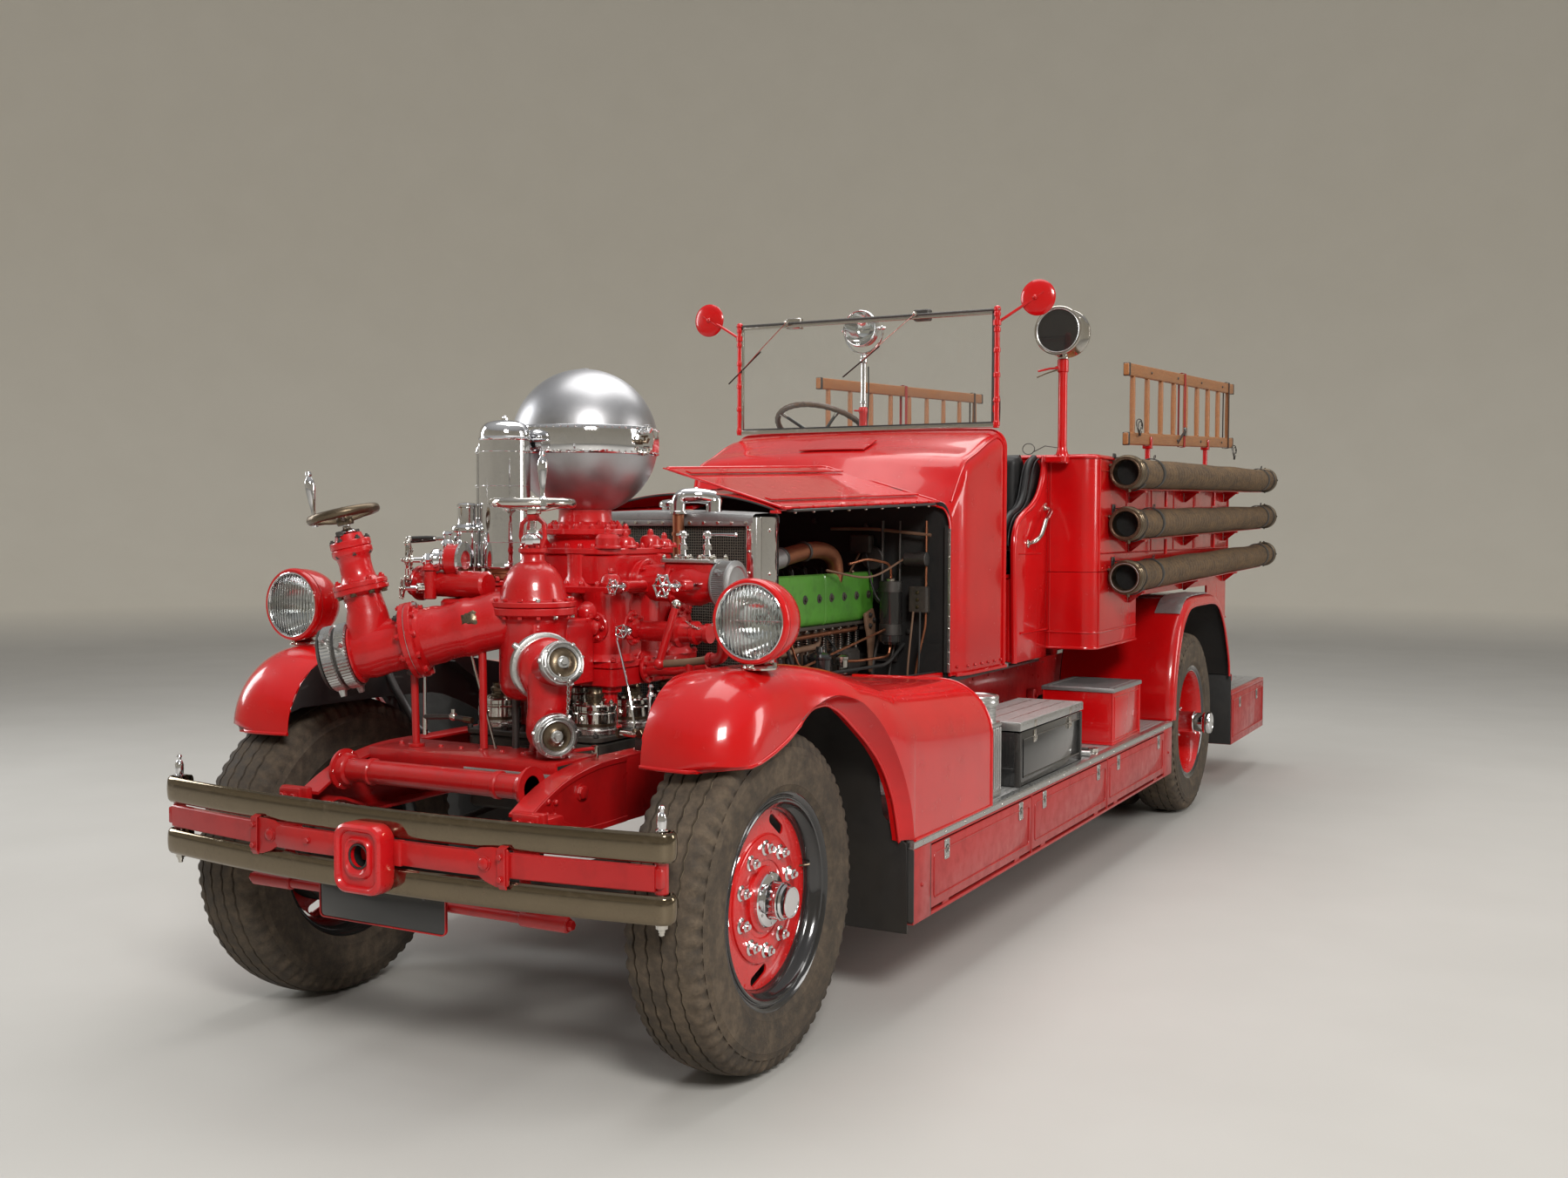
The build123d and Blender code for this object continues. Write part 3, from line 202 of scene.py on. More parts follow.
    def strip(self, pts, w, t, up, mat):
        """Flat strap of width w and thickness t along a path; up is the strap's width direction (or a list)."""
        pts = np.asarray(pts, float)
        n = len(pts)
        ups = [unit(up)] * n if np.ndim(up) == 1 else [unit(x) for x in up]
        tan = np.gradient(pts, axis=0)
        rows = []
        for i in range(n):
            a = ups[i]
            b = unit(np.cross(unit(tan[i]), a))
            c = min(t * 0.35, 0.002)
            q = [(-w / 2 + c, -t / 2), (w / 2 - c, -t / 2), (w / 2, -t / 2 + c), (w / 2, t / 2 - c), (w / 2 - c, t / 2), (-w / 2 + c, t / 2), (-w / 2, t / 2 - c), (-w / 2, -t / 2 + c)]
            rows.append([pts[i] + a * x + b * y for x, y in q])
        self.grid(np.array(rows), mat, close_v=True, flip=True)
        for i, s in ((0, 1), (n - 1, 0)):
            idx = list(range(8))
            self.add(np.array(rows[i]), [idx if s else idx[::-1]], mat)

    def box(self, x0, x1, y0, y1, z0, z1, mat, bev=0.003, seg=2):
        c = np.array([(x0 + x1) / 2, (y0 + y1) / 2, (z0 + z1) / 2])
        self.obox(c, (1, 0, 0), (0, 1, 0), (abs(x1 - x0), abs(y1 - y0), abs(z1 - z0)), mat, bev, seg)

    def obox(self, c, ux, uy, size, mat, bev=0.003, seg=2):
        """Box with rounded edges, turned so that its sides follow ux and uy."""
        c, ux = vec(c), unit(ux)
        uy = unit(np.array(uy, float) - ux * np.dot(uy, ux))
        uz = np.cross(ux, uy)
        hx, hy, hz = [s / 2 for s in size]
        b = min(bev, hx * 0.9, hy * 0.9, hz * 0.9)
        if b <= 0:
            seg = 0
        bm = bmesh.new()
        bmesh.ops.create_cube(bm, size=1)
        for v in bm.verts:
            v.co.x *= 2 * hx; v.co.y *= 2 * hy; v.co.z *= 2 * hz
        if seg:
            bmesh.ops.bevel(bm, geom=list(bm.edges), offset=b, segments=seg, profile=0.5, affect="EDGES")
        self.bm(bm, mat, c, ux, uy, uz)

    def bm(self, bm, mat, c=(0, 0, 0), ux=(1, 0, 0), uy=(0, 1, 0), uz=(0, 0, 1)):
        bm.verts.index_update()
        vs = np.array([v.co[:] for v in bm.verts])
        m = np.array([ux, uy, uz], float)
        self.add(vec(c) + vs @ m, [[v.index for v in f.verts] for f in bm.faces], mat)
        bm.free()

    def prism(self, poly, c, ux, uy, t, mat, bev=0.002, seg=2, both=False):
        """Polygon in the plane of ux, uy through c, made t thick along ux x uy."""
        c, ux = vec(c), unit(ux)
        uy = unit(np.array(uy, float) - ux * np.dot(uy, ux))
        uz = np.cross(ux, uy)
        bm = bmesh.new()
        z0 = -t / 2 if both else 0.0
        vs = [bm.verts.new((x, y, z0)) for x, y in poly]
        face = bm.faces.new(vs)
        bmesh.ops.recalc_face_normals(bm, faces=[face])
        ex = bmesh.ops.extrude_face_region(bm, geom=[face])
        bmesh.ops.translate(bm, verts=[g for g in ex["geom"] if isinstance(g, bmesh.types.BMVert)], vec=(0, 0, t))
        bmesh.ops.recalc_face_normals(bm, faces=bm.faces[:])
        if bev > 0:
            e = [x for x in bm.edges if x.is_manifold and x.calc_face_angle(0) > 0.6]
            bmesh.ops.bevel(bm, geom=e, offset=min(bev, t * 0.4), segments=seg, profile=0.5, affect="EDGES", clamp_overlap=True)
        self.bm(bm, mat, c, ux, uy, uz)

    # ---- fittings
    def bolt(self, p, n, r, mat, h=None, washer=True, kind="hex"):
        """Bolt head or nut standing on p. r is half its width across corners."""
        p, n = vec(p), unit(n)
        h = h or r * 0.9
        if washer:
            self.cyl(p, p + n * r * 0.22, r * 1.25, mat, 14)
            p = p + n * r * 0.2
        if kind == "round":
            self.lathe(p, n, [(r, 0), (r * 0.95, h * 0.4), (r * 0.7, h * 0.75), (r * 0.35, h * 0.95), (0, h)], mat, 12)
            return
        self.lathe(p, n, [(r, 0), (r, h * 0.86), (r * 0.86, h), (0, h)], mat, 6)
        if kind == "stud":
            self.cyl(p + n * h, p + n * (h + r * 0.55), r * 0.5, mat, 10, bev=r * 0.1)
        if kind == "acorn":
            self.ball(p + n * h, r * 0.82, mat, 12, 6, n, 1.0, pi / 2, pi)

    def bolts(self, c, n, R, k, r, mat, kind="hex", a0=0.0, u=None, washer=True, h=None):
        c, n = vec(c), unit(n)
        a, b = basis(n)
        if u is not None:
            a = unit(np.array(u, float) - n * np.dot(u, n))
            b = np.cross(n, a)
        for i in range(k):
            t = a0 + 2 * pi * i / k
            self.bolt(c + (a * cos(t) + b * sin(t)) * R, n, r, mat, kind=kind, washer=washer, h=h)

    def flange(self, c, n, R, h, k, mat, r_bolt=0.009, bmat=None, kind="hex", bev=0.003, a0=0.0):
        c, n = vec(c), unit(n)
        self.lathe(c, n, [(0, 0), (R - bev, 0), (R, bev), (R, h - bev), (R - bev, h), (0, h)], mat, 44)
        if k:
            self.bolts(c + n * h, n, R - r_bolt * 1.7, k, r_bolt, bmat or mat, kind=kind, a0=a0)

    def chain(self, pts, mat, link=0.016, wire=0.0018):
        """Chain of oval links along a path."""
        pts = np.asarray(pts, float)
        seg = np.linalg.norm(np.diff(pts, axis=0), axis=1)
        s = np.concatenate([[0], np.cumsum(seg)])
        k = max(2, int(s[-1] / (link * 0.72)))
        for i in range(k):
            m = s[-1] * (i + 0.5) / k
            p = np.array([np.interp(m, s, pts[:, j]) for j in range(3)])
            q = np.array([np.interp(min(m + 0.004, s[-1]), s, pts[:, j]) for j in range(3)])
            t = unit(q - p)
            a, b = basis(t)
            if i % 2:
                a, b = b, -a
            loop = [p + t * (link * 0.5 * cos(w)) + a * (link * 0.27 * sin(w)) for w in np.linspace(0, 2 * pi, 11)[:-1]]
            self.tube(loop, wire, mat, 5, closed=True)

    def make(self, name, body="root", slot=None, angle=32, weld=0.0):
        me = bpy.data.meshes.new(name)
        v = np.vstack(self.v) + np.array([0, A, 0])
        me.from_pydata(v.tolist(), [], self.f)
        for m in self.mats:
            me.materials.append(m)
        me.polygons.foreach_set("material_index", np.array(self.m, np.int32))
        me.polygons.foreach_set("use_smooth", np.ones(len(self.f), bool))
        me.update()
        bm = bmesh.new()
        bm.from_mesh(me)
        if weld:
            bmesh.ops.remove_doubles(bm, verts=bm.verts[:], dist=weld)
        bmesh.ops.recalc_face_normals(bm, faces=bm.faces[:])
        bm.to_mesh(me)
        bm.free()
        me.set_sharp_from_angle(angle=radians(angle))
        ob = bpy.data.objects.new(name, me)
        bpy.context.scene.collection.objects.link(ob)
        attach(ob, body)
        return ob


def spline(pts, n=8, closed=False):
    """Smooth curve through the points (Catmull-Rom)."""
    p = [vec(x) for x in pts]
    k = len(p)
    out = []
    rng = range(k if closed else k - 1)
    for i in rng:
        a = p[(i - 1) % k] if closed or i > 0 else 2 * p[0] - p[1]
        b, c = p[i], p[(i + 1) % k]
        d = p[(i + 2) % k] if closed or i < k - 2 else 2 * p[-1] - p[-2]
        for j in range(n):
            t = j / n
            out.append(0.5 * (2 * b + (c - a) * t + (2 * a - 5 * b + 4 * c - d) * t * t + (3 * b - a - 3 * c + d) * t ** 3))
    if not closed:
        out.append(p[-1])
    return np.array(out)


def bend(pts, r, n=6):
    """Polyline with rounded corners of radius about r."""
    p = [vec(x) for x in pts]
    out = [p[0]]
    for i in range(1, len(p) - 1):
        a, b = unit(p[i - 1] - p[i]), unit(p[i + 1] - p[i])
        d = min(r, np.linalg.norm(p[i - 1] - p[i]) * 0.49, np.linalg.norm(p[i + 1] - p[i]) * 0.49)
        q0, q1 = p[i] + a * d, p[i] + b * d
        for j in range(n + 1):
            t = j / n
            out.append((1 - t) ** 2 * q0 + 2 * t * (1 - t) * p[i] + t * t * q1)
    out.append(p[-1])
    return np.array(out)


def mirrored(fn):
    for s in (1, -1):
        fn(s)


def see_through(node):
    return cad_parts[node]

# ---------------------------------------------------------------- materials
def mat(name):
    m = bpy.data.materials.new(name)
    m.use_nodes = True
    nt = m.node_tree
    nt.nodes.clear()
    out = nt.nodes.new("ShaderNodeOutputMaterial")
    b = nt.nodes.new("ShaderNodeBsdfPrincipled")
    nt.links.new(b.outputs[0], out.inputs[0])
    return m, nt, b


def N(nt, kind, **k):
    n = nt.nodes.new(kind)
    for a, v in k.items():
        if a.startswith("i_"):
            n.inputs[a[2:].replace("_", " ")].default_value = v
        else:
            setattr(n, a, v)
    return n


def coords(nt, scale=(1, 1, 1), rot=(0, 0, 0)):
    t = N(nt, "ShaderNodeTexCoord")
    m = N(nt, "ShaderNodeMapping")
    m.inputs["Scale"].default_value = scale
    m.inputs["Rotation"].default_value = rot
    nt.links.new(t.outputs["Object"], m.inputs["Vector"])
    return m.outputs["Vector"]


def noise(nt, vec_, scale, detail=4, rough=0.55, dist=0.0):
    n = N(nt, "ShaderNodeTexNoise")
    n.inputs["Scale"].default_value = scale
    n.inputs["Detail"].default_value = detail
    n.inputs["Roughness"].default_value = rough
    n.inputs["Distortion"].default_value = dist
    nt.links.new(vec_, n.inputs["Vector"])
    return n.outputs["Fac"]


def ramp(nt, fac, stops):
    r = N(nt, "ShaderNodeValToRGB")
    e = r.color_ramp.elements
    while len(e) > 1:
        e.remove(e[0])
    for i, (p, c) in enumerate(stops):
        c = (c, c, c) if np.isscalar(c) else c
        x = e[0] if i == 0 else e.new(p)
        x.position = p
        x.color = (*c[:3], 1)
    nt.links.new(fac, r.inputs["Fac"])
    return r.outputs["Color"]


def mix(nt, fac, a, b, mode="MIX"):
    n = N(nt, "ShaderNodeMix", data_type="RGBA", blend_type=mode)
    if hasattr(fac, "is_output"):
        nt.links.new(fac, n.inputs[0])
    else:
        n.inputs[0].default_value = fac
    for k, x in ((6, a), (7, b)):
        if hasattr(x, "is_output"):
            nt.links.new(x, n.inputs[k])
        else:
            n.inputs[k].default_value = (*x[:3], 1)
    return n.outputs[2]


def maths(nt, op, a, b=None, clamp=False):
    n = N(nt, "ShaderNodeMath", operation=op, use_clamp=clamp)
    for k, x in ((0, a), (1, b)):
        if x is None:
            continue
        if hasattr(x, "is_output"):
            nt.links.new(x, n.inputs[k])
        else:
            n.inputs[k].default_value = x
    return n.outputs[0]


def to_range(nt, fac, lo, hi, a=0.0, b=1.0):
    n = N(nt, "ShaderNodeMapRange")
    for k, x in enumerate((fac, a, b, lo, hi)):
        if hasattr(x, "is_output"):
            nt.links.new(x, n.inputs[k])
        else:
            n.inputs[k].default_value = x
    return n.outputs[0]


def bump(nt, b, height, strength=0.2, dist=0.001, prev=None):
    n = N(nt, "ShaderNodeBump")
    n.inputs["Strength"].default_value = strength
    n.inputs["Distance"].default_value = dist
    nt.links.new(height, n.inputs["Height"])
    if prev is not None:
        nt.links.new(prev, n.inputs["Normal"])
    nt.links.new(n.outputs[0], b.inputs["Normal"])
    return n.outputs[0]


def upness(nt):
    """How much a surface faces up, 0 to 1."""
    g = N(nt, "ShaderNodeNewGeometry")
    s = N(nt, "ShaderNodeSeparateXYZ")
    nt.links.new(g.outputs["Normal"], s.inputs[0])
    return to_range(nt, s.outputs["Z"], 0, 1, 0.2, 1.0)


def edges(nt, lo=0.52, hi=0.62):
    """Worn edges, from the mesh's pointiness."""
    g = N(nt, "ShaderNodeNewGeometry")
    return to_range(nt, g.outputs["Pointiness"], 0, 1, lo, hi)


def paint(name, col, dark, coat=0.55, rough=0.22, dust=0.12, chips=True, flake=0.0, grime=0.25):
    """Brushed coach paint: slow colour drift, settled dust on top faces, fine orange peel, chips on edges."""
    m, nt, b = mat(name)
    c = coords(nt)
    big = noise(nt, c, 2.2, 3)
    mid = noise(nt, c, 17, 5, 0.6)
    fine = noise(nt, c, 240, 2)
    base = mix(nt, to_range(nt, big, 0, 1, 0.3, 0.7), col, dark)
    base = mix(nt, to_range(nt, mid, 0, grime, 0.5, 0.8), base, [x * 0.55 for x in dark])
    up = maths(nt, "MULTIPLY", upness(nt), to_range(nt, noise(nt, c, 6, 6, 0.7), 0, dust, 0.35, 0.7))
    base = mix(nt, up, base, (0.30, 0.24, 0.19))
    if chips:
        e = maths(nt, "MULTIPLY", edges(nt, 0.55, 0.66), to_range(nt, noise(nt, c, 90, 4, 0.7), 0, 1, 0.62, 0.68))
        base = mix(nt, e, base, (0.09, 0.06, 0.05))
    nt.links.new(base, b.inputs["Base Color"])
    nt.links.new(maths(nt, "ADD", to_range(nt, mid, rough * 0.8, rough * 1.5, 0.3, 0.75), maths(nt, "MULTIPLY", up, 0.5)), b.inputs["Roughness"])
    b.inputs["Coat Weight"].default_value = coat
    b.inputs["Coat Roughness"].default_value = 0.05
    b.inputs["Specular IOR Level"].default_value = 0.35
    b.inputs["Metallic"].default_value = flake
    h = maths(nt, "ADD", maths(nt, "MULTIPLY", noise(nt, c, 60, 2), 0.6), maths(nt, "MULTIPLY", fine, 0.25))
    bump(nt, b, h, 0.10, 0.0012)
    return m


def metal(name, col, rough=0.12, scratch=0.25, dirt=(0.10, 0.07, 0.05), dirt_amt=0.25, aniso=0.0, spots=0.0, brushed=None, edge=0.0):
    m, nt, b = mat(name)
    c = coords(nt)
    n1 = noise(nt, c, 7, 6, 0.65)
    n2 = noise(nt, c, 45, 5, 0.7)
    st = coords(nt, brushed or (14, 160, 160))
    sc = noise(nt, st, 6, 3, 0.6)
    base = mix(nt, to_range(nt, n1, 0, 0.35, 0.35, 0.7), col, [x * 0.78 for x in col])
    d = maths(nt, "MULTIPLY", to_range(nt, n2, 0, 1, 0.50, 0.75), to_range(nt, n1, 0, dirt_amt, 0.4, 0.62))
    if spots:
        d = maths(nt, "MAXIMUM", d, maths(nt, "MULTIPLY", to_range(nt, noise(nt, c, 130, 3, 0.8), 0, 1, 0.66, 0.72), spots))
    base = mix(nt, d, base, dirt)
    nt.links.new(base, b.inputs["Base Color"])
    nt.links.new(maths(nt, "SUBTRACT", 1.0, maths(nt, "MULTIPLY", d, 0.8)), b.inputs["Metallic"])
    r = maths(nt, "ADD", to_range(nt, sc, rough * (1 - scratch), rough * (1 + 2.2 * scratch), 0.3, 0.75), maths(nt, "MULTIPLY", d, 0.5))
    nt.links.new(r, b.inputs["Roughness"])
    bump(nt, b, sc, 0.05 + 0.1 * scratch, 0.0006)
    return m


def rubber(name, col, dusty, amt=0.5, rough=0.75, scale=1.0, bump_s=0.25):
    m, nt, b = mat(name)
    c = coords(nt)
    n1 = noise(nt, c, 5 * scale, 7, 0.65, 0.4)
    n2 = noise(nt, c, 60 * scale, 5, 0.7)
    k = maths(nt, "ADD", to_range(nt, n1, 0, amt, 0.3, 0.68), to_range(nt, n2, -0.1, 0.22 * amt, 0.3, 0.7))
    base = mix(nt, k, col, dusty)
    nt.links.new(base, b.inputs["Base Color"])
    nt.links.new(to_range(nt, n2, rough - 0.12, min(1, rough + 0.15), 0.3, 0.7), b.inputs["Roughness"])
    b.inputs["Specular IOR Level"].default_value = 0.35
    bump(nt, b, maths(nt, "ADD", n2, maths(nt, "MULTIPLY", noise(nt, c, 400 * scale, 2), 0.5)), bump_s, 0.001)
    return m


RED = paint("coach_red", (0.56, 0.0025, 0.004), (0.45, 0.002, 0.003), dust=0.02, grime=0.18, rough=0.2)
RED_CAST = paint("casting_red", (0.54, 0.005, 0.008), (0.40, 0.004, 0.005), coat=0.6, rough=0.28, grime=0.4, dust=0.04)
# castings show their sand texture under the paint
_n = RED_CAST.node_tree
_b = [x for x in _n.nodes if x.type == "BUMP"][0]
_c = coords(_n)
_n.links.new(maths(_n, "ADD", noise(_n, _c, 38, 3), maths(_n, "MULTIPLY", noise(_n, _c, 130, 3), 0.7)), _b.inputs["Height"])
_b.inputs["Strength"].default_value = 0.28
_b.inputs["Distance"].default_value = 0.002
SKIRT = paint("skirt_red", (0.42, 0.012, 0.012), (0.33, 0.009, 0.009), coat=0.35, rough=0.38, dust=0.10, grime=0.5)
FRAME_RED = paint("frame_red", (0.47, 0.007, 0.008), (0.34, 0.005, 0.006), coat=0.5, rough=0.32, grime=0.5, dust=0.06)
WHEEL_RED = paint("wheel_red", (0.60, 0.006, 0.006), (0.50, 0.005, 0.005), coat=0.7, rough=0.25, grime=0.2, dust=0.02)
BLACK = paint("gloss_black", (0.012, 0.012, 0.013), (0.02, 0.018, 0.016), coat=0.9, rough=0.18, dust=0.05)
BLACK_WORN = paint("worn_black", (0.018, 0.018, 0.02), (0.03, 0.026, 0.022), coat=0.3, rough=0.4, dust=0.14, grime=0.3)
SILVER = metal("silver_paint", (0.44, 0.44, 0.455), rough=0.36, scratch=0.15, dirt=(0.25, 0.24, 0.23), dirt_amt=0.12, brushed=(60, 60, 60))
CHROME = metal("chrome", (0.78, 0.78, 0.79), rough=0.05, scratch=0.3, dirt_amt=0.12, brushed=(20, 20, 20))
CHROME_OLD = metal("old_chrome", (0.60, 0.57, 0.52), rough=0.09, scratch=0.6, dirt=(0.16, 0.11, 0.07), dirt_amt=0.45, spots=0.5, brushed=(12, 40, 12))
# bumper bar metal tinted dark brown: painted reflection of dark brown surroundings; its dirt and spots are real
BAR_CHROME_PAINTED_REFLECTION = metal("bumper_chrome_painted_reflection", (0.215, 0.172, 0.118), rough=0.045, scratch=0.6, dirt=(0.12, 0.08, 0.045), dirt_amt=0.55, spots=0.5, brushed=(12, 40, 12))
STEEL = metal("turned_steel", (0.60, 0.58, 0.55), rough=0.2, scratch=0.5, dirt=(0.12, 0.09, 0.06), dirt_amt=0.4, brushed=(8, 8, 140))
BRASS_DK = metal("dark_brass", (0.15, 0.115, 0.078), rough=0.28, scratch=0.5, dirt=(0.10, 0.07, 0.04), dirt_amt=0.6, spots=0.4)
COPPER = metal("copper", (0.34, 0.135, 0.072), rough=0.34, scratch=0.5, dirt=(0.16, 0.08, 0.05), dirt_amt=0.5)
ALU = metal("aluminium", (0.52, 0.52, 0.51), rough=0.26, scratch=0.5, dirt=(0.22, 0.20, 0.18), dirt_amt=0.4, brushed=(160, 9, 160))
ALU_WORN = metal("worn_aluminium", (0.46, 0.46, 0.45), rough=0.45, scratch=0.7, dirt=(0.14, 0.13, 0.12), dirt_amt=0.7, spots=0.4, brushed=(160, 9, 160))
GALV = metal("grey_steel", (0.36, 0.36, 0.36), rough=0.42, scratch=0.4, dirt=(0.14, 0.13, 0.12), dirt_amt=0.5)
DARK_STEEL = metal("dark_steel", (0.10, 0.095, 0.09), rough=0.42, scratch=0.6, dirt=(0.05, 0.035, 0.025), dirt_amt=0.5)
IRON = rubber("oily_iron", (0.022, 0.020, 0.018), (0.10, 0.075, 0.055), 0.35, 0.5)
RUBBER = rubber("black_rubber", (0.015, 0.015, 0.015), (0.07, 0.06, 0.05), 0.25, 0.6)
# near-black bulkhead: black paint, darkened further as painted shade of the deep engine bay
BULKHEAD_BLACK_AND_SHADE = rubber("bulkhead_black_and_painted_shade", (0.010, 0.010, 0.010), (0.030, 0.025, 0.020), 0.3, 0.6)
# near-black for gauge needles and ticks, and painted shade inside holes, bores, slots, louvre gaps and coupling mouths
BLACK_MARK_AND_HOLE_SHADE = rubber("black_marks_and_painted_hole_shade", (0.006, 0.006, 0.006), (0.02, 0.018, 0.015), 0.2, 0.8)
GREEN = paint("engine_green", (0.085, 0.30, 0.030), (0.05, 0.17, 0.02), coat=0.2, rough=0.4, grime=0.6, dust=0.2)
BROWN_IRON = rubber("brown_iron", (0.12, 0.06, 0.035), (0.22, 0.14, 0.09), 0.6, 0.6)
WHITE_MARK = paint("white_mark", (0.7, 0.7, 0.68), (0.55, 0.55, 0.52), coat=0.2, rough=0.5, chips=False)


def tyre_mat():
    m, nt, b = mat("tyre_rubber")
    c = coords(nt)
    n1 = noise(nt, c, 3.2, 7, 0.62, 0.5)
    n2 = noise(nt, c, 26, 6, 0.7)
    n3 = noise(nt, c, 190, 4, 0.7)
    dust = mix(nt, to_range(nt, n2, 0, 1, 0.35, 0.7), (0.062, 0.046, 0.032), (0.13, 0.098, 0.068))
    dark = mix(nt, to_range(nt, n3, 0, 1, 0.3, 0.7), (0.022, 0.019, 0.016), (0.055, 0.045, 0.036))
    k = maths(nt, "ADD", to_range(nt, n1, 0.15, 0.95, 0.32, 0.62), to_range(nt, n2, -0.25, 0.25, 0.3, 0.7), clamp=True)
    g = N(nt, "ShaderNodeNewGeometry")
    # concave creases get no dust and stay dark: painted shade in the creases
    crease_shade = to_range(nt, g.outputs["Pointiness"], 0.25, 1.0, 0.44, 0.5)
    base = mix(nt, maths(nt, "MULTIPLY", k, crease_shade), dark, dust)
    nt.links.new(base, b.inputs["Base Color"])
    nt.links.new(to_range(nt, n2, 0.68, 0.95, 0.3, 0.7), b.inputs["Roughness"])
    b.inputs["Specular IOR Level"].default_value = 0.3
    bump(nt, b, maths(nt, "ADD", n3, n2), 0.35, 0.0014)
    return m


TYRE = tyre_mat()


def glass_mat(name, tint, rough=0.02, dusty=0.12):
    m, nt, b = mat(name)
    c = coords(nt)
    n = noise(nt, c, 9, 6, 0.65, 0.6)
    b.inputs["Base Color"].default_value = (*tint, 1)
    b.inputs["Transmission Weight"].default_value = 1.0
    b.inputs["IOR"].default_value = 1.45
    nt.links.new(to_range(nt, n, rough, rough + dusty, 0.35, 0.75), b.inputs["Roughness"])
    return m


LENS = glass_mat("lens_glass", (0.95, 0.97, 0.96), 0.02, 0.03)


def pane_mat():
    """Thin flat pane: mostly clear, with reflections and a light film of dust."""
    m, nt, b = mat("pane_glass")
    c = coords(nt)
    film = noise(nt, c, 5, 6, 0.65, 0.8)
    b.inputs["Base Color"].default_value = (0.40, 0.46, 0.43, 1)
    nt.links.new(to_range(nt, film, 0.03, 0.10, 0.35, 0.75), b.inputs["Roughness"])
    nt.links.new(to_range(nt, film, 0.025, 0.07, 0.3, 0.75), b.inputs["Alpha"])
    b.inputs["IOR"].default_value = 1.5
    b.inputs["Specular IOR Level"].default_value = 1.0
    return m


PANE = pane_mat()


def wood_mat(name, light, dark, axis=1, coat=0.35, worn=(0.30, 0.27, 0.23), worn_amt=0.4):
    m, nt, b = mat(name)
    s = [26, 26, 26]
    s[axis] = 2.2
    c = coords(nt, tuple(s))
    g = noise(nt, c, 3.0, 8, 0.6, 1.2)
    w = N(nt, "ShaderNodeTexWave", wave_type="BANDS", bands_direction="XYZ"[(axis + 1) % 3])
    w.inputs["Scale"].default_value = 3.0
    w.inputs["Distortion"].default_value = 7.0
    w.inputs["Detail"].default_value = 4.0
    nt.links.new(c, w.inputs["Vector"])
    f = maths(nt, "MULTIPLY", maths(nt, "ADD", g, w.outputs["Fac"]), 0.5)
    base = mix(nt, to_range(nt, f, 0, 1, 0.3, 0.7), light, dark)
    c2 = coords(nt)
    wr = to_range(nt, noise(nt, c2, 11, 6, 0.7), 0, worn_amt, 0.5, 0.72)
    base = mix(nt, wr, base, worn)
    nt.links.new(base, b.inputs["Base Color"])
    nt.links.new(to_range(nt, f, 0.4, 0.65, 0.3, 0.7), b.inputs["Roughness"])
    b.inputs["Coat Weight"].default_value = coat
    b.inputs["Coat Roughness"].default_value = 0.25
    bump(nt, b, f, 0.25, 0.0012)
    return m


WOOD = wood_mat("ladder_wood", (0.42, 0.165, 0.040), (0.19, 0.060, 0.014), worn=(0.21, 0.15, 0.095), worn_amt=0.25)
WOOD_DK = wood_mat("rim_wood", (0.11, 0.055, 0.025), (0.04, 0.02, 0.01), axis=0, worn_amt=0.15)


def leather_mat(name, col, worn):
    m, nt, b = mat(name)
    c = coords(nt)
    vor = N(nt, "ShaderNodeTexVoronoi", feature="DISTANCE_TO_EDGE")
    vor.inputs["Scale"].default_value = 160
    wob = mix(nt, 0.012, c, noise(nt, c, 40, 3))
    nt.links.new(wob, vor.inputs["Vector"])
    cr = noise(nt, coords(nt, (6, 40, 12)), 3, 6, 0.7, 0.8)
    n1 = noise(nt, c, 5, 6, 0.6)
    base = mix(nt, to_range(nt, n1, 0, 0.6, 0.4, 0.7), col, worn)
    base = mix(nt, to_range(nt, cr, 0, 0.6, 0.62, 0.74), base, [x * 1.8 + 0.01 for x in worn])
    nt.links.new(base, b.inputs["Base Color"])
    nt.links.new(to_range(nt, n1, 0.3, 0.5, 0.3, 0.7), b.inputs["Roughness"])
    b.inputs["Specular IOR Level"].default_value = 0.35
    h = maths(nt, "ADD", maths(nt, "MINIMUM", maths(nt, "MULTIPLY", vor.outputs["Distance"], 9.0), 0.6), maths(nt, "MULTIPLY", cr, 0.8))
    bump(nt, b, h, 0.35, 0.0012)
    return m


LEATHER = leather_mat("black_hide", (0.006, 0.006, 0.0065), (0.018, 0.0155, 0.014))


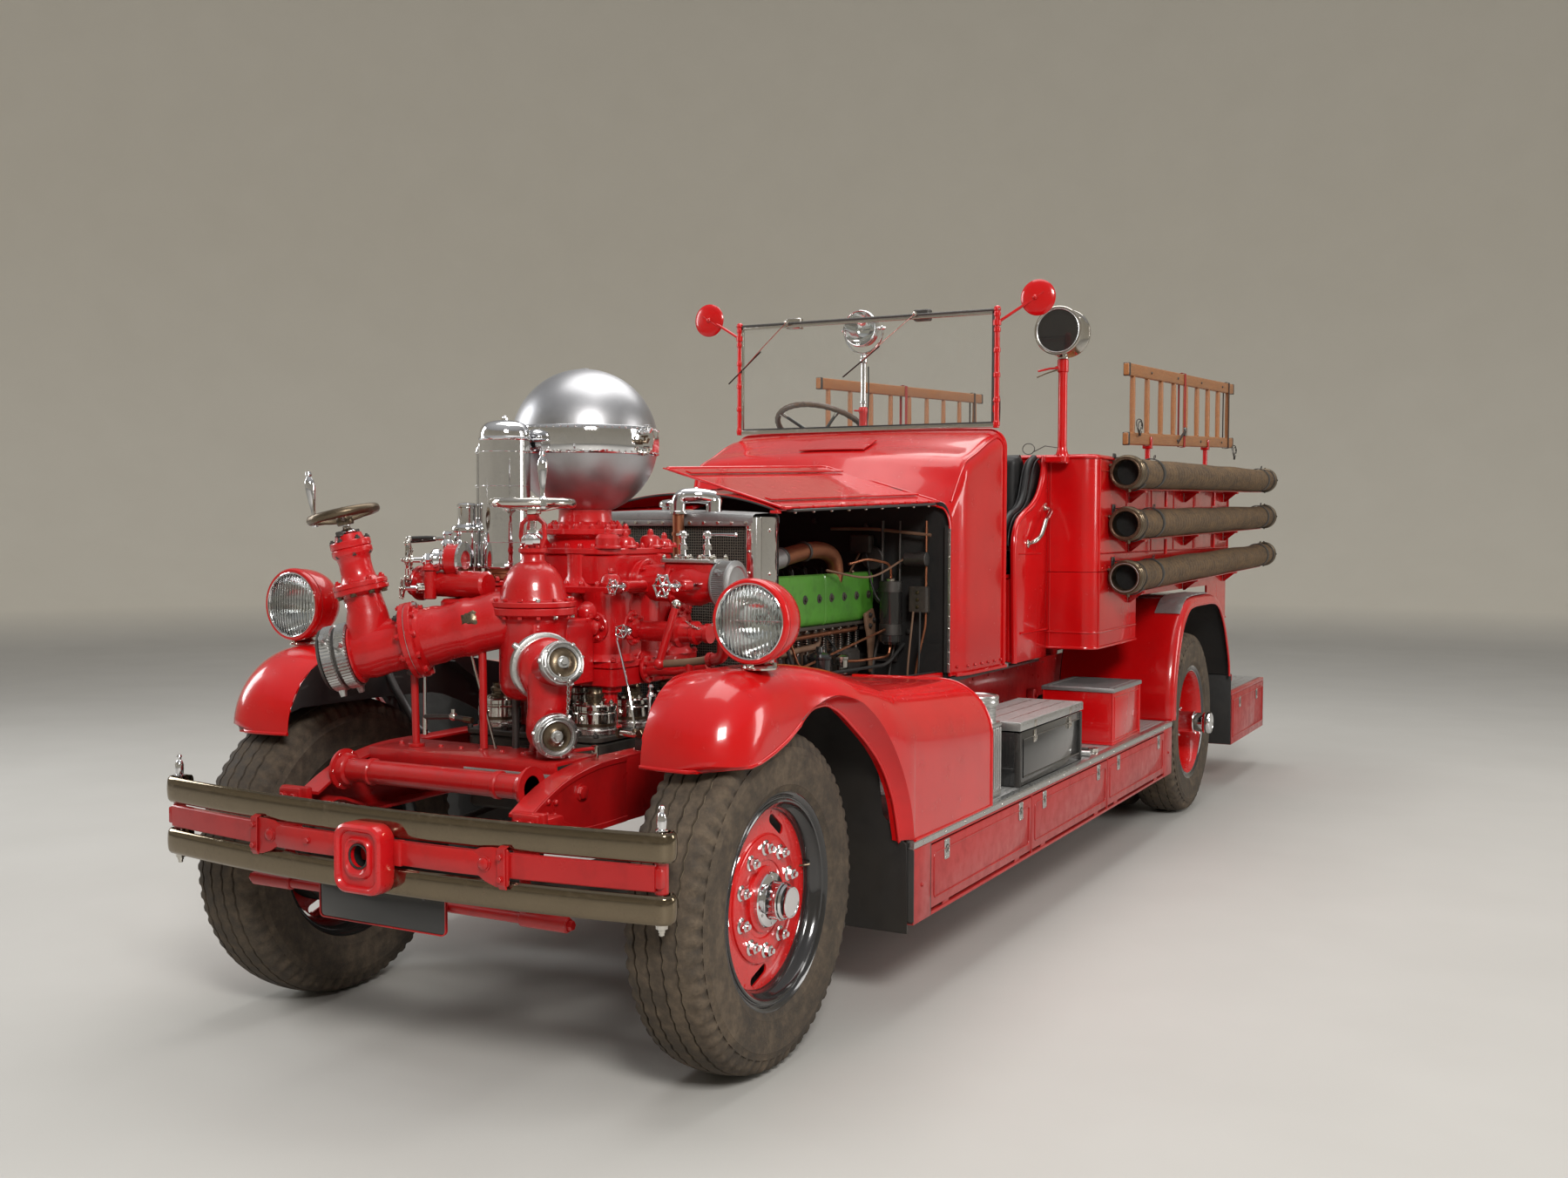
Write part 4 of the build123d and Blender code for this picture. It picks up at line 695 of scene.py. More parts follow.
def canvas_mat():
    """Rubbered canvas of the suction hoses: woven threads, bands where the spiral wire lies, brown grime."""
    m, nt, b = mat("hose_canvas")
    c = coords(nt)
    warp = N(nt, "ShaderNodeTexWave", wave_type="BANDS", bands_direction="Y")
    warp.inputs["Scale"].default_value = 95
    warp.inputs["Distortion"].default_value = 1.5
    warp.inputs["Detail"].default_value = 2
    nt.links.new(c, warp.inputs["Vector"])
    weft = N(nt, "ShaderNodeTexWave", wave_type="BANDS", bands_direction="Z")
    weft.inputs["Scale"].default_value = 130
    weft.inputs["Distortion"].default_value = 1.5
    nt.links.new(c, weft.inputs["Vector"])
    n1 = noise(nt, coords(nt, (3, 1, 3)), 5, 7, 0.65, 0.6)
    n2 = noise(nt, c, 70, 5, 0.7)
    base = mix(nt, to_range(nt, n1, 0, 1, 0.3, 0.7), (0.120, 0.066, 0.024), (0.036, 0.020, 0.009))
    base = mix(nt, to_range(nt, n2, 0, 0.55, 0.45, 0.7), base, (0.20, 0.122, 0.050))
    nt.links.new(base, b.inputs["Base Color"])
    b.inputs["Roughness"].default_value = 0.85
    b.inputs["Sheen Weight"].default_value = 0.02
    h = maths(nt, "ADD", maths(nt, "MULTIPLY", warp.outputs["Fac"], 0.6), maths(nt, "ADD", maths(nt, "MULTIPLY", weft.outputs["Fac"], 0.3), maths(nt, "MULTIPLY", n2, 0.9)))
    bump(nt, b, h, 0.5, 0.0015)
    return m


CANVAS = canvas_mat()
STRAP = rubber("strap_web", (0.02, 0.014, 0.012), (0.10, 0.06, 0.045), 0.5, 0.8)
RED_STRAP = rubber("strap_red", (0.35, 0.02, 0.02), (0.20, 0.03, 0.02), 0.5, 0.7)


def core_mat():
    """Radiator core: fine honeycomb, its cells dark: painted shade inside the core."""
    m, nt, b = mat("radiator_core")
    c = coords(nt)
    vor = N(nt, "ShaderNodeTexVoronoi", feature="DISTANCE_TO_EDGE")
    vor.inputs["Scale"].default_value = 105
    vor.inputs["Randomness"].default_value = 0.15
    nt.links.new(c, vor.inputs["Vector"])
    e = to_range(nt, vor.outputs["Distance"], 1, 0, 0.05, 0.16)
    n1 = noise(nt, c, 7, 5, 0.6)
    base = mix(nt, e, (0.01, 0.01, 0.009), mix(nt, n1, (0.22, 0.20, 0.16), (0.10, 0.09, 0.07)))
    nt.links.new(base, b.inputs["Base Color"])
    b.inputs["Roughness"].default_value = 0.5
    b.inputs["Metallic"].default_value = 0.5
    bump(nt, b, e, 0.9, 0.004)
    return m


CORE = core_mat()
# ---------------------------------------------------------------- wheels and tyres
TYRE_DUST = rubber("groove_dust", (0.20, 0.155, 0.10), (0.30, 0.25, 0.17), 0.7, 0.95)


def tyre(p, s, y, x_out, pitches=64):
    """Ribbed tyre with zigzag grooves and notched shoulders. x_out is its outer face."""
    cx = x_out - 0.128
    groove = [-0.066, -0.023, 0.023, 0.066]
    # (across from the middle, radius, zigzag share, notch share, material)
    rows = [(-0.088, 0.3005, 0, 0, 0), (-0.096, 0.302, 0, 0, 0), (-0.112, 0.318, 0, 0, 0), (-0.1185, 0.336, 0, 0, 0),
            (-0.121, 0.339, 0, 0, 0), (-0.1205, 0.345, 0, 0, 0), (-0.1255, 0.372, 0, 0, 0), (-0.1275, 0.402, 0, 0, 0),
            (-0.1262, 0.425, 0, 0, 0), (-0.1268, 0.429, 0, 0, 0), (-0.1245, 0.433, 0, 0, 0), (-0.1205, 0.449, 0, 0.0, 0),
            (-0.1195, 0.452, 0, 1.0, 0), (-0.1145, 0.470, 0, 1.0, 0), (-0.108, 0.4815, 0, 1.0, 0), (-0.100, 0.4885, 0, 0.9, 0),
            (-0.088, 0.4930, 0, 0.3, 0), (-0.083, 0.4943, 0, 0.0, 0)]

    def crown(x):
        return 0.505 - 0.0105 * (abs(x) / 0.083) ** 2.2

    for g in groove:
        for dx, dr, m in ((-0.0040, 0, 0), (-0.0022, -0.0085, 1), (0.0022, -0.0085, 1), (0.0040, 0, 0)):
            rows.append((g + dx, crown(g + dx) + dr, 1.0, 0, m))
        if g < 0.06:
            rows.append((g + 0.0215, crown(g + 0.0215), 0.15, 0, 0))
    rows += [(-x, r, zz, nn, m) for x, r, zz, nn, m in rows[:18][::-1]]
    k = pitches * 4
    zig = [0, 0.0028, 0, -0.0028]
    notch = [0.0, 0.0, 0.0062, 0.0062]
    pts = np.zeros((k, len(rows), 3))
    for i in range(k):
        a = 2 * pi * i / k
        for j, (x, r, zz, nn, m) in enumerate(rows):
            x2 = x + zig[i % 4] * zz
            rr = r - notch[i % 4] * nn * (1 if abs(x) > 0.09 else 0.6)
            x2 -= math.copysign(notch[i % 4] * nn * 0.55, x)
            pts[i, j] = (s * (cx + x2), y + rr * cos(a), HUB + rr * sin(a))
    nv = len(rows)
    base = p.n
    f0, f1 = [], []
    for i in range(k):
        for j in range(nv - 1):
            q = (i * nv + j, i * nv + j + 1, ((i + 1) % k) * nv + j + 1, ((i + 1) % k) * nv + j)
            (f1 if rows[j][4] and rows[j + 1][4] else f0).append(q)
    p.add(pts.reshape(-1, 3), f0, TYRE)
    n_keep = p.n
    p.n = base
    k1 = p.slot(TYRE_DUST)
    for q in f1:
        p.f.append(tuple(v + base for v in q))
    p.m += [k1] * len(f1)
    p.n = n_keep
    # inner liner closes the section
    p.lathe((s * (cx - 0.088), y, HUB), (s, 0, 0), [(0.3005, 0), (0.31, 0.02), (0.31, 0.156), (0.3005, 0.176)], RUBBER, 64)


def holed_plate(p, outer, holes, c, ux, uy, t, m):
    """Flat plate with cut-outs, t thick along ux x uy."""
    from mathutils.geometry import tessellate_polygon
    loops = [outer] + holes
    flat = [q for l in loops for q in l]
    tri = tessellate_polygon([[Vector((x, y, 0)) for x, y in l] for l in loops])
    c, ux, uy = vec(c), unit(ux), unit(uy)
    uz = np.cross(ux, uy)
    a = np.array([c + ux * x + uy * y for x, y in flat])
    b = a + uz * t
    n = len(flat)
    f = [tuple(q) for q in tri] + [tuple(i + n for i in q)[::-1] for q in tri]
    k = 0
    for l in loops:
        for i in range(len(l)):
            j = (i + 1) % len(l)
            f.append((k + i, k + j, k + j + n, k + i + n))
        k += len(l)
    p.add(np.vstack([a, b]), f, m)


def circle(r, n, cx=0.0, cy=0.0, a0=0.0):
    return [(cx + r * cos(a0 + 2 * pi * i / n), cy + r * sin(a0 + 2 * pi * i / n)) for i in range(n)]


def slot_hole(cx, cy, length, width, ang, n=8):
    out = []
    for sgn, base in ((1, -pi / 2), (-1, pi / 2)):
        for i in range(n + 1):
            t = base + pi * i / n
            x = sgn * (length - width) / 2 + width / 2 * cos(t)
            y = width / 2 * sin(t)
            out.append((cx + x * cos(ang) - y * sin(ang), cy + x * sin(ang) + y * cos(ang)))
    return out


def lug(p, c, n, r, h, m=None):
    """Wheel nut on its cone, with the stud's end."""
    m = m or CHROME
    c, n = vec(c), unit(n)
    p.lathe(c, n, [(0, 0), (r * 1.42, 0), (r * 1.42, h * 0.10), (r * 1.12, h * 0.24), (r, h * 0.26)], m, 20)
    p.lathe(c + n * h * 0.24, n, [(r * 1.08, 0), (r * 1.08, h * 0.62), (r * 0.92, h * 0.72), (r * 0.62, h * 0.74), (0, h * 0.74)], m, 6)
    p.lathe(c + n * h * 0.9, n, [(r * 0.55, 0), (r * 0.55, h * 0.42), (r * 0.45, h * 0.5), (0, h * 0.5)], m, 12)


def rim_ring(p, s, y, x0, r_in=0.262, depth=0.052):
    """Black rim flange with its split lock ring; x0 is the flange's outer face."""
    p.lathe((s * (x0 - 0.215), y, HUB), (s, 0, 0),
            [(0.298, 0.012), (0.316, 0.004), (0.320, 0.0), (0.318, -0.004), (0.300, 0.004), (0.288, 0.02), (0.270, 0.05), (0.266, 0.10), (r_in, 0.215 - depth)], BLACK, 72)
    p.lathe((s * x0, y, HUB), (s, 0, 0),
            [(0.3000, -0.022), (0.3110, -0.020), (0.3185, -0.014), (0.3210, -0.006), (0.3190, 0.0), (0.3140, 0.0015), (0.3080, -0.001),
             (0.3030, -0.006), (0.3000, -0.0095), (0.2975, -0.0095), (0.2955, -0.006), (0.2915, -0.004), (0.2865, -0.006), (0.2845, -0.012),
             (0.2800, -0.022), (0.2700, -0.030), (0.2660, -0.036), (r_in + 0.001, -depth), (r_in, -depth - 0.01)], BLACK, 96)


def front_wheel(side, s):
    t = Piece()
    tyre(t, s, 0.0, 0.946)
    ob = t.make(f"front_tyre_{side}", f"wheel_front_{side}", "tyre", angle=28)
    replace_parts(ob, f"tyre_front_{side}")

    w = Piece()
    uy, uz = (0, 1, 0), (0, 0, 1)
    c = lambda x: (s * x, 0, HUB)
    n = (s, 0, 0)
    rim_ring(w, s, 0, 0.929)
    slots = [slot_hole(0.222 * cos(radians(a)), 0.222 * sin(radians(a)), 0.098, 0.030, radians(a + 90 + d)) for a, d in ((68, -14), (264, 24))]
    ux = (0, 1, 0) if s > 0 else (0, -1, 0)
    slots = slots if s > 0 else [[(-x, y) for x, y in l][::-1] for l in slots]
    holed_plate(w, circle(0.263, 96), [circle(0.192, 64)] + slots, c(0.866), ux, uz, 0.006, WHEEL_RED)
    w.lathe(c(0), n, [(0.192, 0.872), (0.188, 0.8745), (0.186, 0.8795), (0.182, 0.8815), (0.118, 0.8815), (0.114, 0.8800), (0.112, 0.8765), (0.098, 0.8765), (0.096, 0.884), (0.080, 0.887), (0.0795, 0.880)], WHEEL_RED, 72)
    w.lathe(c(0), n, [(0.192, 0.866), (0.118, 0.866)], WHEEL_RED, 64)
    w.torus(c(0.8735), n, 0.2635, 0.0022, BLACK, 96, 6)
    # rivets of the disc onto its rim
    for i in range(30):
        a = 2 * pi * (i + 0.5) / 30
        w.bolt((s * 0.8718, 0.252 * cos(a), HUB + 0.252 * sin(a)), n, 0.0042, WHEEL_RED, 0.0025, washer=False, kind="round")
    for i in range(10):
        a = radians(36 * i + 18)
        lug(w, (s * 0.8812, 0.151 * cos(a), HUB + 0.151 * sin(a)), n, 0.0165, 0.022)
    # bright hub: flange, waisted barrel, ringed cap
    w.lathe(c(0), n, [(0.0800, 0.8850), (0.0810, 0.8980), (0.0780, 0.9020), (0.0690, 0.9040), (0.0570, 0.9080), (0.0545, 0.9140), (0.0540, 0.9340),
                      (0.0560, 0.9360), (0.0560, 0.9420), (0.0530, 0.9450), (0.0520, 0.9500), (0.0500, 0.9520), (0.0465, 0.9560), (0.0455, 0.9640),
                      (0.0455, 0.9690), (0.0440, 0.9710), (0.0405, 0.9715), (0.0395, 0.9700), (0, 0.9695)], CHROME, 56)
    for i in range(6):
        a = radians(60 * i + 30)
        w.bolt((s * 0.9022, 0.0665 * cos(a), HUB + 0.0665 * sin(a)), n, 0.0055, CHROME, 0.004, washer=False)
    # brake drum behind the disc, with cooling ribs
    pr = [(0.0, 0.764), (0.196, 0.764), (0.203, 0.768)]
    for k in range(7):
        x = 0.774 + k * 0.0125
        pr += [(0.2035, x), (0.1985, x + 0.003), (0.1985, x + 0.0095), (0.2035, x + 0.0125)]
    pr += [(0.2035, 0.864), (0.13, 0.865)]
    w.lathe(c(0), n, pr, IRON, 72)
    # valve stem
    w.tube(bend([(s * 0.868, 0.236, HUB + 0.05), (s * 0.884, 0.240, HUB + 0.052), (s * 0.900, 0.250, HUB + 0.055)], 0.006), 0.0035, BRASS_DK, 8)
    ob = w.make(f"front_wheel_{side}", f"wheel_front_{side}", "wheel_red", angle=30)
    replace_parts(ob, f"wheel_front_{side}")


def rear_wheel(side, s):
    t = Piece()
    tyre(t, s, WB, 1.061, 56)
    tyre(t, s, WB, 0.761, 56)
    ob = t.make(f"rear_tyres_{side}", f"wheels_rear_{side}", "tyre", angle=28)
    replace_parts(ob, f"tyres_rear_{side}")

    w = Piece()
    c = lambda x: (s * x, WB, HUB)
    n = (s, 0, 0)
    uz = (0, 0, 1)
    # outer rim, deep dish and disc
    w.lathe(c(0), n, [(0.298, 0.838), (0.318, 0.832), (0.3205, 0.827), (0.298, 0.830), (0.284, 0.84)], BLACK, 72)
    w.lathe(c(1.044), n, [(0.3000, -0.022), (0.3110, -0.020), (0.3185, -0.014), (0.3210, -0.006), (0.3190, 0.0), (0.3140, 0.0015), (0.3080, -0.001),
                          (0.3030, -0.006), (0.3000, -0.0095), (0.2955, -0.006), (0.2915, -0.004), (0.2865, -0.006)], BLACK, 96)
    w.lathe(c(1.044), n, [(0.2865, -0.006), (0.2845, -0.012), (0.2800, -0.022), (0.2740, -0.035), (0.2730, -0.120), (0.270, -0.205)], WHEEL_RED, 96)
    w.lathe(c(0), n, [(0.2705, 0.842), (0.2660, 0.850), (0.2600, 0.852), (0.2540, 0.846), (0.2440, 0.822), (0.2340, 0.806), (0.222, 0.800), (0.216, 0.7995),
                      (0.205, 0.8005), (0.1985, 0.8045), (0.128, 0.8045), (0.122, 0.801), (0.112, 0.801)], WHEEL_RED, 96)
    w.lathe(c(0), n, [(0.2705, 0.834), (0.2440, 0.810), (0.222, 0.792), (0.112, 0.792)], WHEEL_RED, 72)
    for k in range(5):
        a = radians(72 * k + 50)
        # near-black dishes on the disc: painted shade standing for its holes
        w.lathe((s * 0.8008, WB + 0.2295 * cos(a), HUB + 0.2295 * sin(a)), n, [(0, 0.003), (0.013, 0.003), (0.0165, 0.0045), (0.018, 0.002)], BLACK_MARK_AND_HOLE_SHADE, 20)
    for i in range(10):
        a = radians(36 * i + 18)
        lug(w, (s * 0.8045, WB + 0.170 * cos(a), HUB + 0.170 * sin(a)), n, 0.0175, 0.026)
    # full-floating hub: red barrel, bright flange of nuts, long bright cap
    w.lathe(c(0), n, [(0.112, 0.790), (0.112, 0.812), (0.106, 0.820), (0.090, 0.826), (0.0845, 0.835), (0.0835, 0.925), (0.086, 0.935), (0.0955, 0.942), (0.0955, 0.958),
                      (0.093, 0.9605)], WHEEL_RED, 56)
    w.lathe(c(0), n, [(0.0950, 0.958), (0.0950, 0.9680), (0.0925, 0.9700), (0.0760, 0.9720), (0.0640, 0.9760), (0.0600, 0.9850), (0.0585, 1.0500), (0.0600, 1.0560), (0.0600, 1.0650), (0.0560, 1.0690),
                      (0.0545, 1.0900), (0.0530, 1.1150), (0.0570, 1.1200), (0.0590, 1.1280), (0.0590, 1.1480), (0.0570, 1.1560), (0.0530, 1.1590), (0.0480, 1.1580), (0.0460, 1.1560), (0, 1.1555)], CHROME, 56)
    for i in range(8):
        a = radians(45 * i + 10)
        w.bolt((s * 0.9700, WB + 0.083 * cos(a), HUB + 0.083 * sin(a)), n, 0.0085, CHROME, 0.008, washer=False, kind="stud")
    # inner rim and disc, drum with ribs
    w.lathe(c(0), n, [(0.300, 0.534), (0.318, 0.529), (0.320, 0.533), (0.300, 0.54), (0.284, 0.56), (0.280, 0.73), (0.300, 0.738), (0.318, 0.744), (0.320, 0.740), (0.298, 0.728)], BLACK, 72)
    w.lathe(c(0), n, [(0.281, 0.716), (0.262, 0.716), (0.244, 0.748), (0.232, 0.772), (0.216, 0.776), (0.112, 0.776)], WHEEL_RED, 72)
    pr = [(0.236, 0.562)]
    for k in range(12):
        x = 0.566 + k * 0.0145
        pr += [(0.262, x), (0.255, x + 0.0035), (0.255, x + 0.011), (0.262, x + 0.0145)]
    pr += [(0.250, 0.752), (0.236, 0.758), (0.10, 0.762)]
    w.lathe(c(0), n, pr, IRON, 72)
    w.lathe(c(0), n, [(0.236, 0.562), (0.232, 0.57), (0.232, 0.75), (0.10, 0.752)], IRON, 64)
    w.lathe(c(0), n, [(0.072, 0.708), (0.078, 0.712), (0.078, 0.79)], IRON, 40)
    w.tube(bend([(s * 0.803, WB + 0.16, HUB + 0.175), (s * 0.86, WB + 0.175, HUB + 0.19), (s * 0.93, WB + 0.19, HUB + 0.205)], 0.02), 0.0045, BRASS_DK, 8)
    ob = w.make(f"rear_wheels_{side}", f"wheels_rear_{side}", "wheel_red", angle=30)
    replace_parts(ob, f"wheels_rear_{side}")


for _side, _s in (("left", 1), ("right", -1)):
    front_wheel(_side, _s)
    rear_wheel(_side, _s)

# ---------------------------------------------------------------- bumper, frame front, headlamps, front fenders
def rrect(w, h, r, n=6):
    """Rounded rectangle about 0, 0 as a loop of 4 * n points."""
    out = []
    for cx, cy, a in ((w / 2 - r, h / 2 - r, 0), (-w / 2 + r, h / 2 - r, pi / 2), (-w / 2 + r, -h / 2 + r, pi), (w / 2 - r, -h / 2 + r, 1.5 * pi)):
        for i in range(n):
            t = a + (pi / 2) * i / (n - 1)
            out.append((cx + r * cos(t), cy + r * sin(t)))
    return out


def loft(p, loops, m, cap0=False, cap1=False, closed=True):
    """Loops of points with equal counts joined in a row."""
    pts = np.array(loops, float)
    p.grid(pts, m, close_v=closed)
    k = pts.shape[1]
    for on, i in ((cap0, 0), (cap1, len(loops) - 1)):
        if on:
            p.add(pts[i], [list(range(k))], m)


def bumper_path(n=60):
    """Plan of a bumper bar: wide arc, ends rolled back round their posts. Rows of x, y and outward normal."""
    R = (0.9 ** 2 + 0.076 ** 2) / (2 * 0.076)
    a = math.asin(0.9 / R)
    pts = [(R * sin(t), -0.684 + R - R * cos(t)) for t in np.linspace(-a, a, n)]
    x, y = pts[-1]
    tip = []
    r = 0.034
    d = np.array([cos(a), sin(a)])
    nrm = np.array([-d[1], d[0]])
    c = np.array([x, y]) + nrm * r
    t0 = math.atan2(-nrm[1], -nrm[0])
    for i in range(1, 13):
        t = t0 + radians(172) * i / 12
        tip.append((c[0] + r * cos(t), c[1] + r * sin(t)))
    e = np.array(tip[-1])
    tip.append((e[0] - 0.016, e[1] + 0.002))
    left = [(-q[0], q[1]) for q in tip[::-1]]
    pts = np.array(left + pts + tip)
    tan = np.gradient(pts, axis=0)
    tan /= np.linalg.norm(tan, axis=1, keepdims=True)
    return pts, np.stack([tan[:, 1], -tan[:, 0]], 1)


def bumper():
    pts, nrm = bumper_path()
    p = Piece()
    for z0, z1 in ((0.568, 0.645), (0.729, 0.808)):
        h = z1 - z0
        sec = [(-0.0085, 0.0015), (-0.0062, 0.0), (-0.0040, 0.0006), (-0.0020, 0.0035)]
        sec += [(-0.0012 + 0.0056 * cos(radians(a)), h * (0.5 + 0.44 * sin(radians(a)))) for a in range(-80, 81, 16)]
        sec += [(-0.0020, h - 0.0035), (-0.0040, h - 0.0006), (-0.0062, h), (-0.0085, h - 0.0015), (-0.0085, h * 0.5)]
        rows = [[(x + nx * d, y + ny * d, z0 + z) for d, z in sec] for (x, y), (nx, ny) in zip(pts, nrm)]
        # bars in the brown-tinted metal: painted reflection
        loft(p, rows, BAR_CHROME_PAINTED_REFLECTION, True, True)
    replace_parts(p.make("bumper_bars_bright"), "bumper_bars")

    p = Piece()
    R = (0.89 ** 2 + 0.075 ** 2) / (2 * 0.075)
    a = math.asin(0.89 / R)
    rows = []
    for t in np.linspace(-a, a, 60):
        x, y = R * sin(t), -0.682 + R - R * cos(t)
        n = np.array([sin(t), -cos(t)])
        # the bar swells between the socket and the bracket
        g = 0.004 * math.exp(-((abs(x) - 0.28) / 0.13) ** 2)
        f = 0.007 * math.exp(-((abs(x) - 0.30) / 0.16) ** 2)
        sec = [(-0.018, 0.0), (0.0, 0.0), (0.0022, 0.003), (0.003 + g, 0.033), (0.0022, 0.063), (0.0, 0.066), (-0.018, 0.066)]
        rows.append([(x + n[0] * (d + f), y + n[1] * (d + f), 0.655 + z) for d, z in sec])
    loft(p, rows, FRAME_RED, True, True)
    for s in (1, -1):
        # end post: red spacer between the bars, bright stud and nuts
        q = np.array([s * 0.892, -0.577, 0])
        p.cyl(q + (0, 0, 0.643), q + (0, 0, 0.731), 0.0185, FRAME_RED, 24, bev=0.003)
        p.cyl(q + (0, 0, 0.545), q + (0, 0, 0.838), 0.0095, CHROME_OLD, 16)
        p.lathe(q + (0, 0, 0.808), (0, 0, 1), [(0, 0), (0.017, 0), (0.017, 0.004), (0.012, 0.006), (0.0135, 0.022), (0.013, 0.036), (0.009, 0.047), (0.006, 0.050), (0.006, 0.056), (0.0085, 0.060), (0.006, 0.066), (0, 0.068)], CHROME, 20)
        p.bolt(q + (0, 0, 0.568), (0, 0, -1), 0.0155, CHROME_OLD, 0.013)
        p.cyl(q + (0, 0, 0.535), q + (0, 0, 0.56), 0.0075, CHROME_OLD, 12, bev=0.002)
        # lugs that tie the red bar to the post
        p.box(q[0] - 0.02, q[0] + 0.016, -0.606, -0.565, 0.662, 0.714, FRAME_RED, 0.006)
        # tie plates to the horns
        p.box(s * 0.40, s * 0.48, -0.64, -0.5452, 0.66, 0.702, FRAME_RED, 0.006)
        p.box(s * 0.398, s * 0.482, -0.562, -0.546, 0.655, 0.806, FRAME_RED, 0.006)
        for x in (0.418, 0.462):
            for z in (0.745, 0.782):
                p.bolt((s * x, -0.562, z), (0, -1, 0), 0.0095, FRAME_RED, kind="hex")
        # leaf-shaped clamp plate on the bar's face with its strap
        x0 = s * 0.415
        yb = -0.682 + R - math.sqrt(R * R - x0 * x0) - 0.007
        poly = [(-0.075, 0.004), (-0.062, 0.032), (-0.035, 0.044), (0.0, 0.048), (0.052, 0.048), (0.058, 0.040), (0.058, -0.050), (0.050, -0.058), (0.018, -0.058), (-0.02, -0.046), (-0.05, -0.028)]
        if s < 0:
            poly = [(-x, z) for x, z in poly][::-1]
        p.prism(poly, (x0, yb, 0.688), (1, 0, s * 0.0), (0, 0, 1), 0.010, FRAME_RED, 0.003, both=True)
        p.strip([(x0 + s * 0.040, yb + 0.012, 0.742), (x0 + s * 0.040, yb - 0.010, 0.736), (x0 + s * 0.041, yb - 0.0105, 0.64), (x0 + s * 0.041, yb - 0.002, 0.628)], 0.026, 0.006, (1, 0, 0), FRAME_RED)
        p.bolt((x0 - s * 0.020, yb - 0.005, 0.690), (0, -1, 0), 0.017, FRAME_RED, 0.009, kind="round")
        for dz in (0.715, 0.655):
            p.bolt((x0 + s * 0.040, yb - 0.013, dz), (0, -1, 0), 0.0085, FRAME_RED)
        # lower spreader bar on drop arms
        p.box(s * 0.428, s * 0.452, -0.572, -0.548, 0.51, 0.662, FRAME_RED, 0.005)
        p.cyl((s * 0.428, -0.56, 0.520), (s * 0.585, -0.56, 0.520), 0.022, FRAME_RED, 20, bev=0.004)
        p.bolt((s * 0.585, -0.56, 0.52), (s, 0, 0), 0.014, FRAME_RED)
    p.cyl((-0.56, -0.56, 0.520), (0.56, -0.56, 0.520), 0.0155, FRAME_RED, 20)
    # socket plate: thick rounded square with a sunk middle, an upright collar and its bore
    y0 = -0.745
    def lp(w, h, r, y, dz=0.0):
        return [(x, y, 0.670 + dz + z) for x, z in rrect(w, h, r, 9)]
    loft(p, [lp(0.168, 0.188, 0.040, -0.682), lp(0.176, 0.196, 0.044, -0.690), lp(0.176, 0.196, 0.044, -0.728), lp(0.171, 0.191, 0.042, -0.739), lp(0.158, 0.178, 0.038, y0),
             lp(0.142, 0.162, 0.033, y0 + 0.0005), lp(0.132, 0.152, 0.030, y0 + 0.006), lp(0.127, 0.147, 0.028, y0 + 0.013), lp(0.112, 0.13, 0.028, y0 + 0.0145, 0.002),
             lp(0.096, 0.116, 0.030, y0 + 0.0135, 0.004), lp(0.089, 0.109, 0.030, y0 + 0.004, 0.005), lp(0.085, 0.104, 0.030, y0 + 0.002, 0.006), lp(0.078, 0.094, 0.030, y0 + 0.002, 0.007),
             lp(0.074, 0.090, 0.031, y0 + 0.006, 0.008), lp(0.0665, 0.072, 0.0325, y0 + 0.012, 0.008), lp(0.065, 0.066, 0.0324, y0 + 0.03, 0.008), lp(0.065, 0.066, 0.0324, y0 + 0.09, 0.008)], RED_CAST, True, False)
    # near-black bore: painted shade inside the socket
    p.lathe((0, y0 + 0.05, 0.678), (0, 1, 0), [(0.0322, -0.022), (0.0322, 0.045), (0, 0.045)], BLACK_MARK_AND_HOLE_SHADE, 28)
    p.torus((0, y0 + 0.012, 0.678), (0, 1, 0), 0.0335, 0.0035, DARK_STEEL, 32, 8)
    p.box(-0.115, -0.085, -0.692, -0.665, 0.652, 0.724, FRAME_RED, 0.006)
    p.box(0.085, 0.115, -0.692, -0.665, 0.652, 0.724, FRAME_RED, 0.006)
    p.box(-0.07, 0.07, -0.690, -0.655, 0.657, 0.719, FRAME_RED, 0.004)
    p.bolt((-0.236, -0.6875, 0.690), (0, -1, 0), 0.009, FRAME_RED)
    # blank number plate: black with a thin raised border, on a red backing
    c = np.array([-0.055, -0.5835, 0.501])
    ux, uy = (1, 0, 0), (0, 0, 1)
    p.prism(rrect(0.470, 0.112, 0.014), c + (0, -0.0005, 0), ux, uy, 0.004, BLACK, 0.001, both=True)
    outer = [(c[0] + x, c[1] - 0.003, c[2] + z) for x, z in rrect(0.474, 0.116, 0.015)]
    p.tube(outer, 0.0024, FRAME_RED, 6, closed=True)
    p.prism(rrect(0.476, 0.118, 0.016), c + (0, 0.0045, 0), ux, uy, 0.003, FRAME_RED, 0.001, both=True)
    for dx in (-0.16, 0.16):
        p.bolt((c[0] + dx, c[1] - 0.0025, c[2] + 0.040), (0, -1, 0), 0.005, BLACK, kind="round")
        p.strip([(c[0] + dx, c[1] + 0.006, 0.56), (c[0] + dx, c[1] + 0.016, 0.54), (c[0] + dx, -0.560, 0.520)], 0.03, 0.004, (1, 0, 0), FRAME_RED)
    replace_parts(p.make("bumper_middle"), "bumper_beam")


bumper()


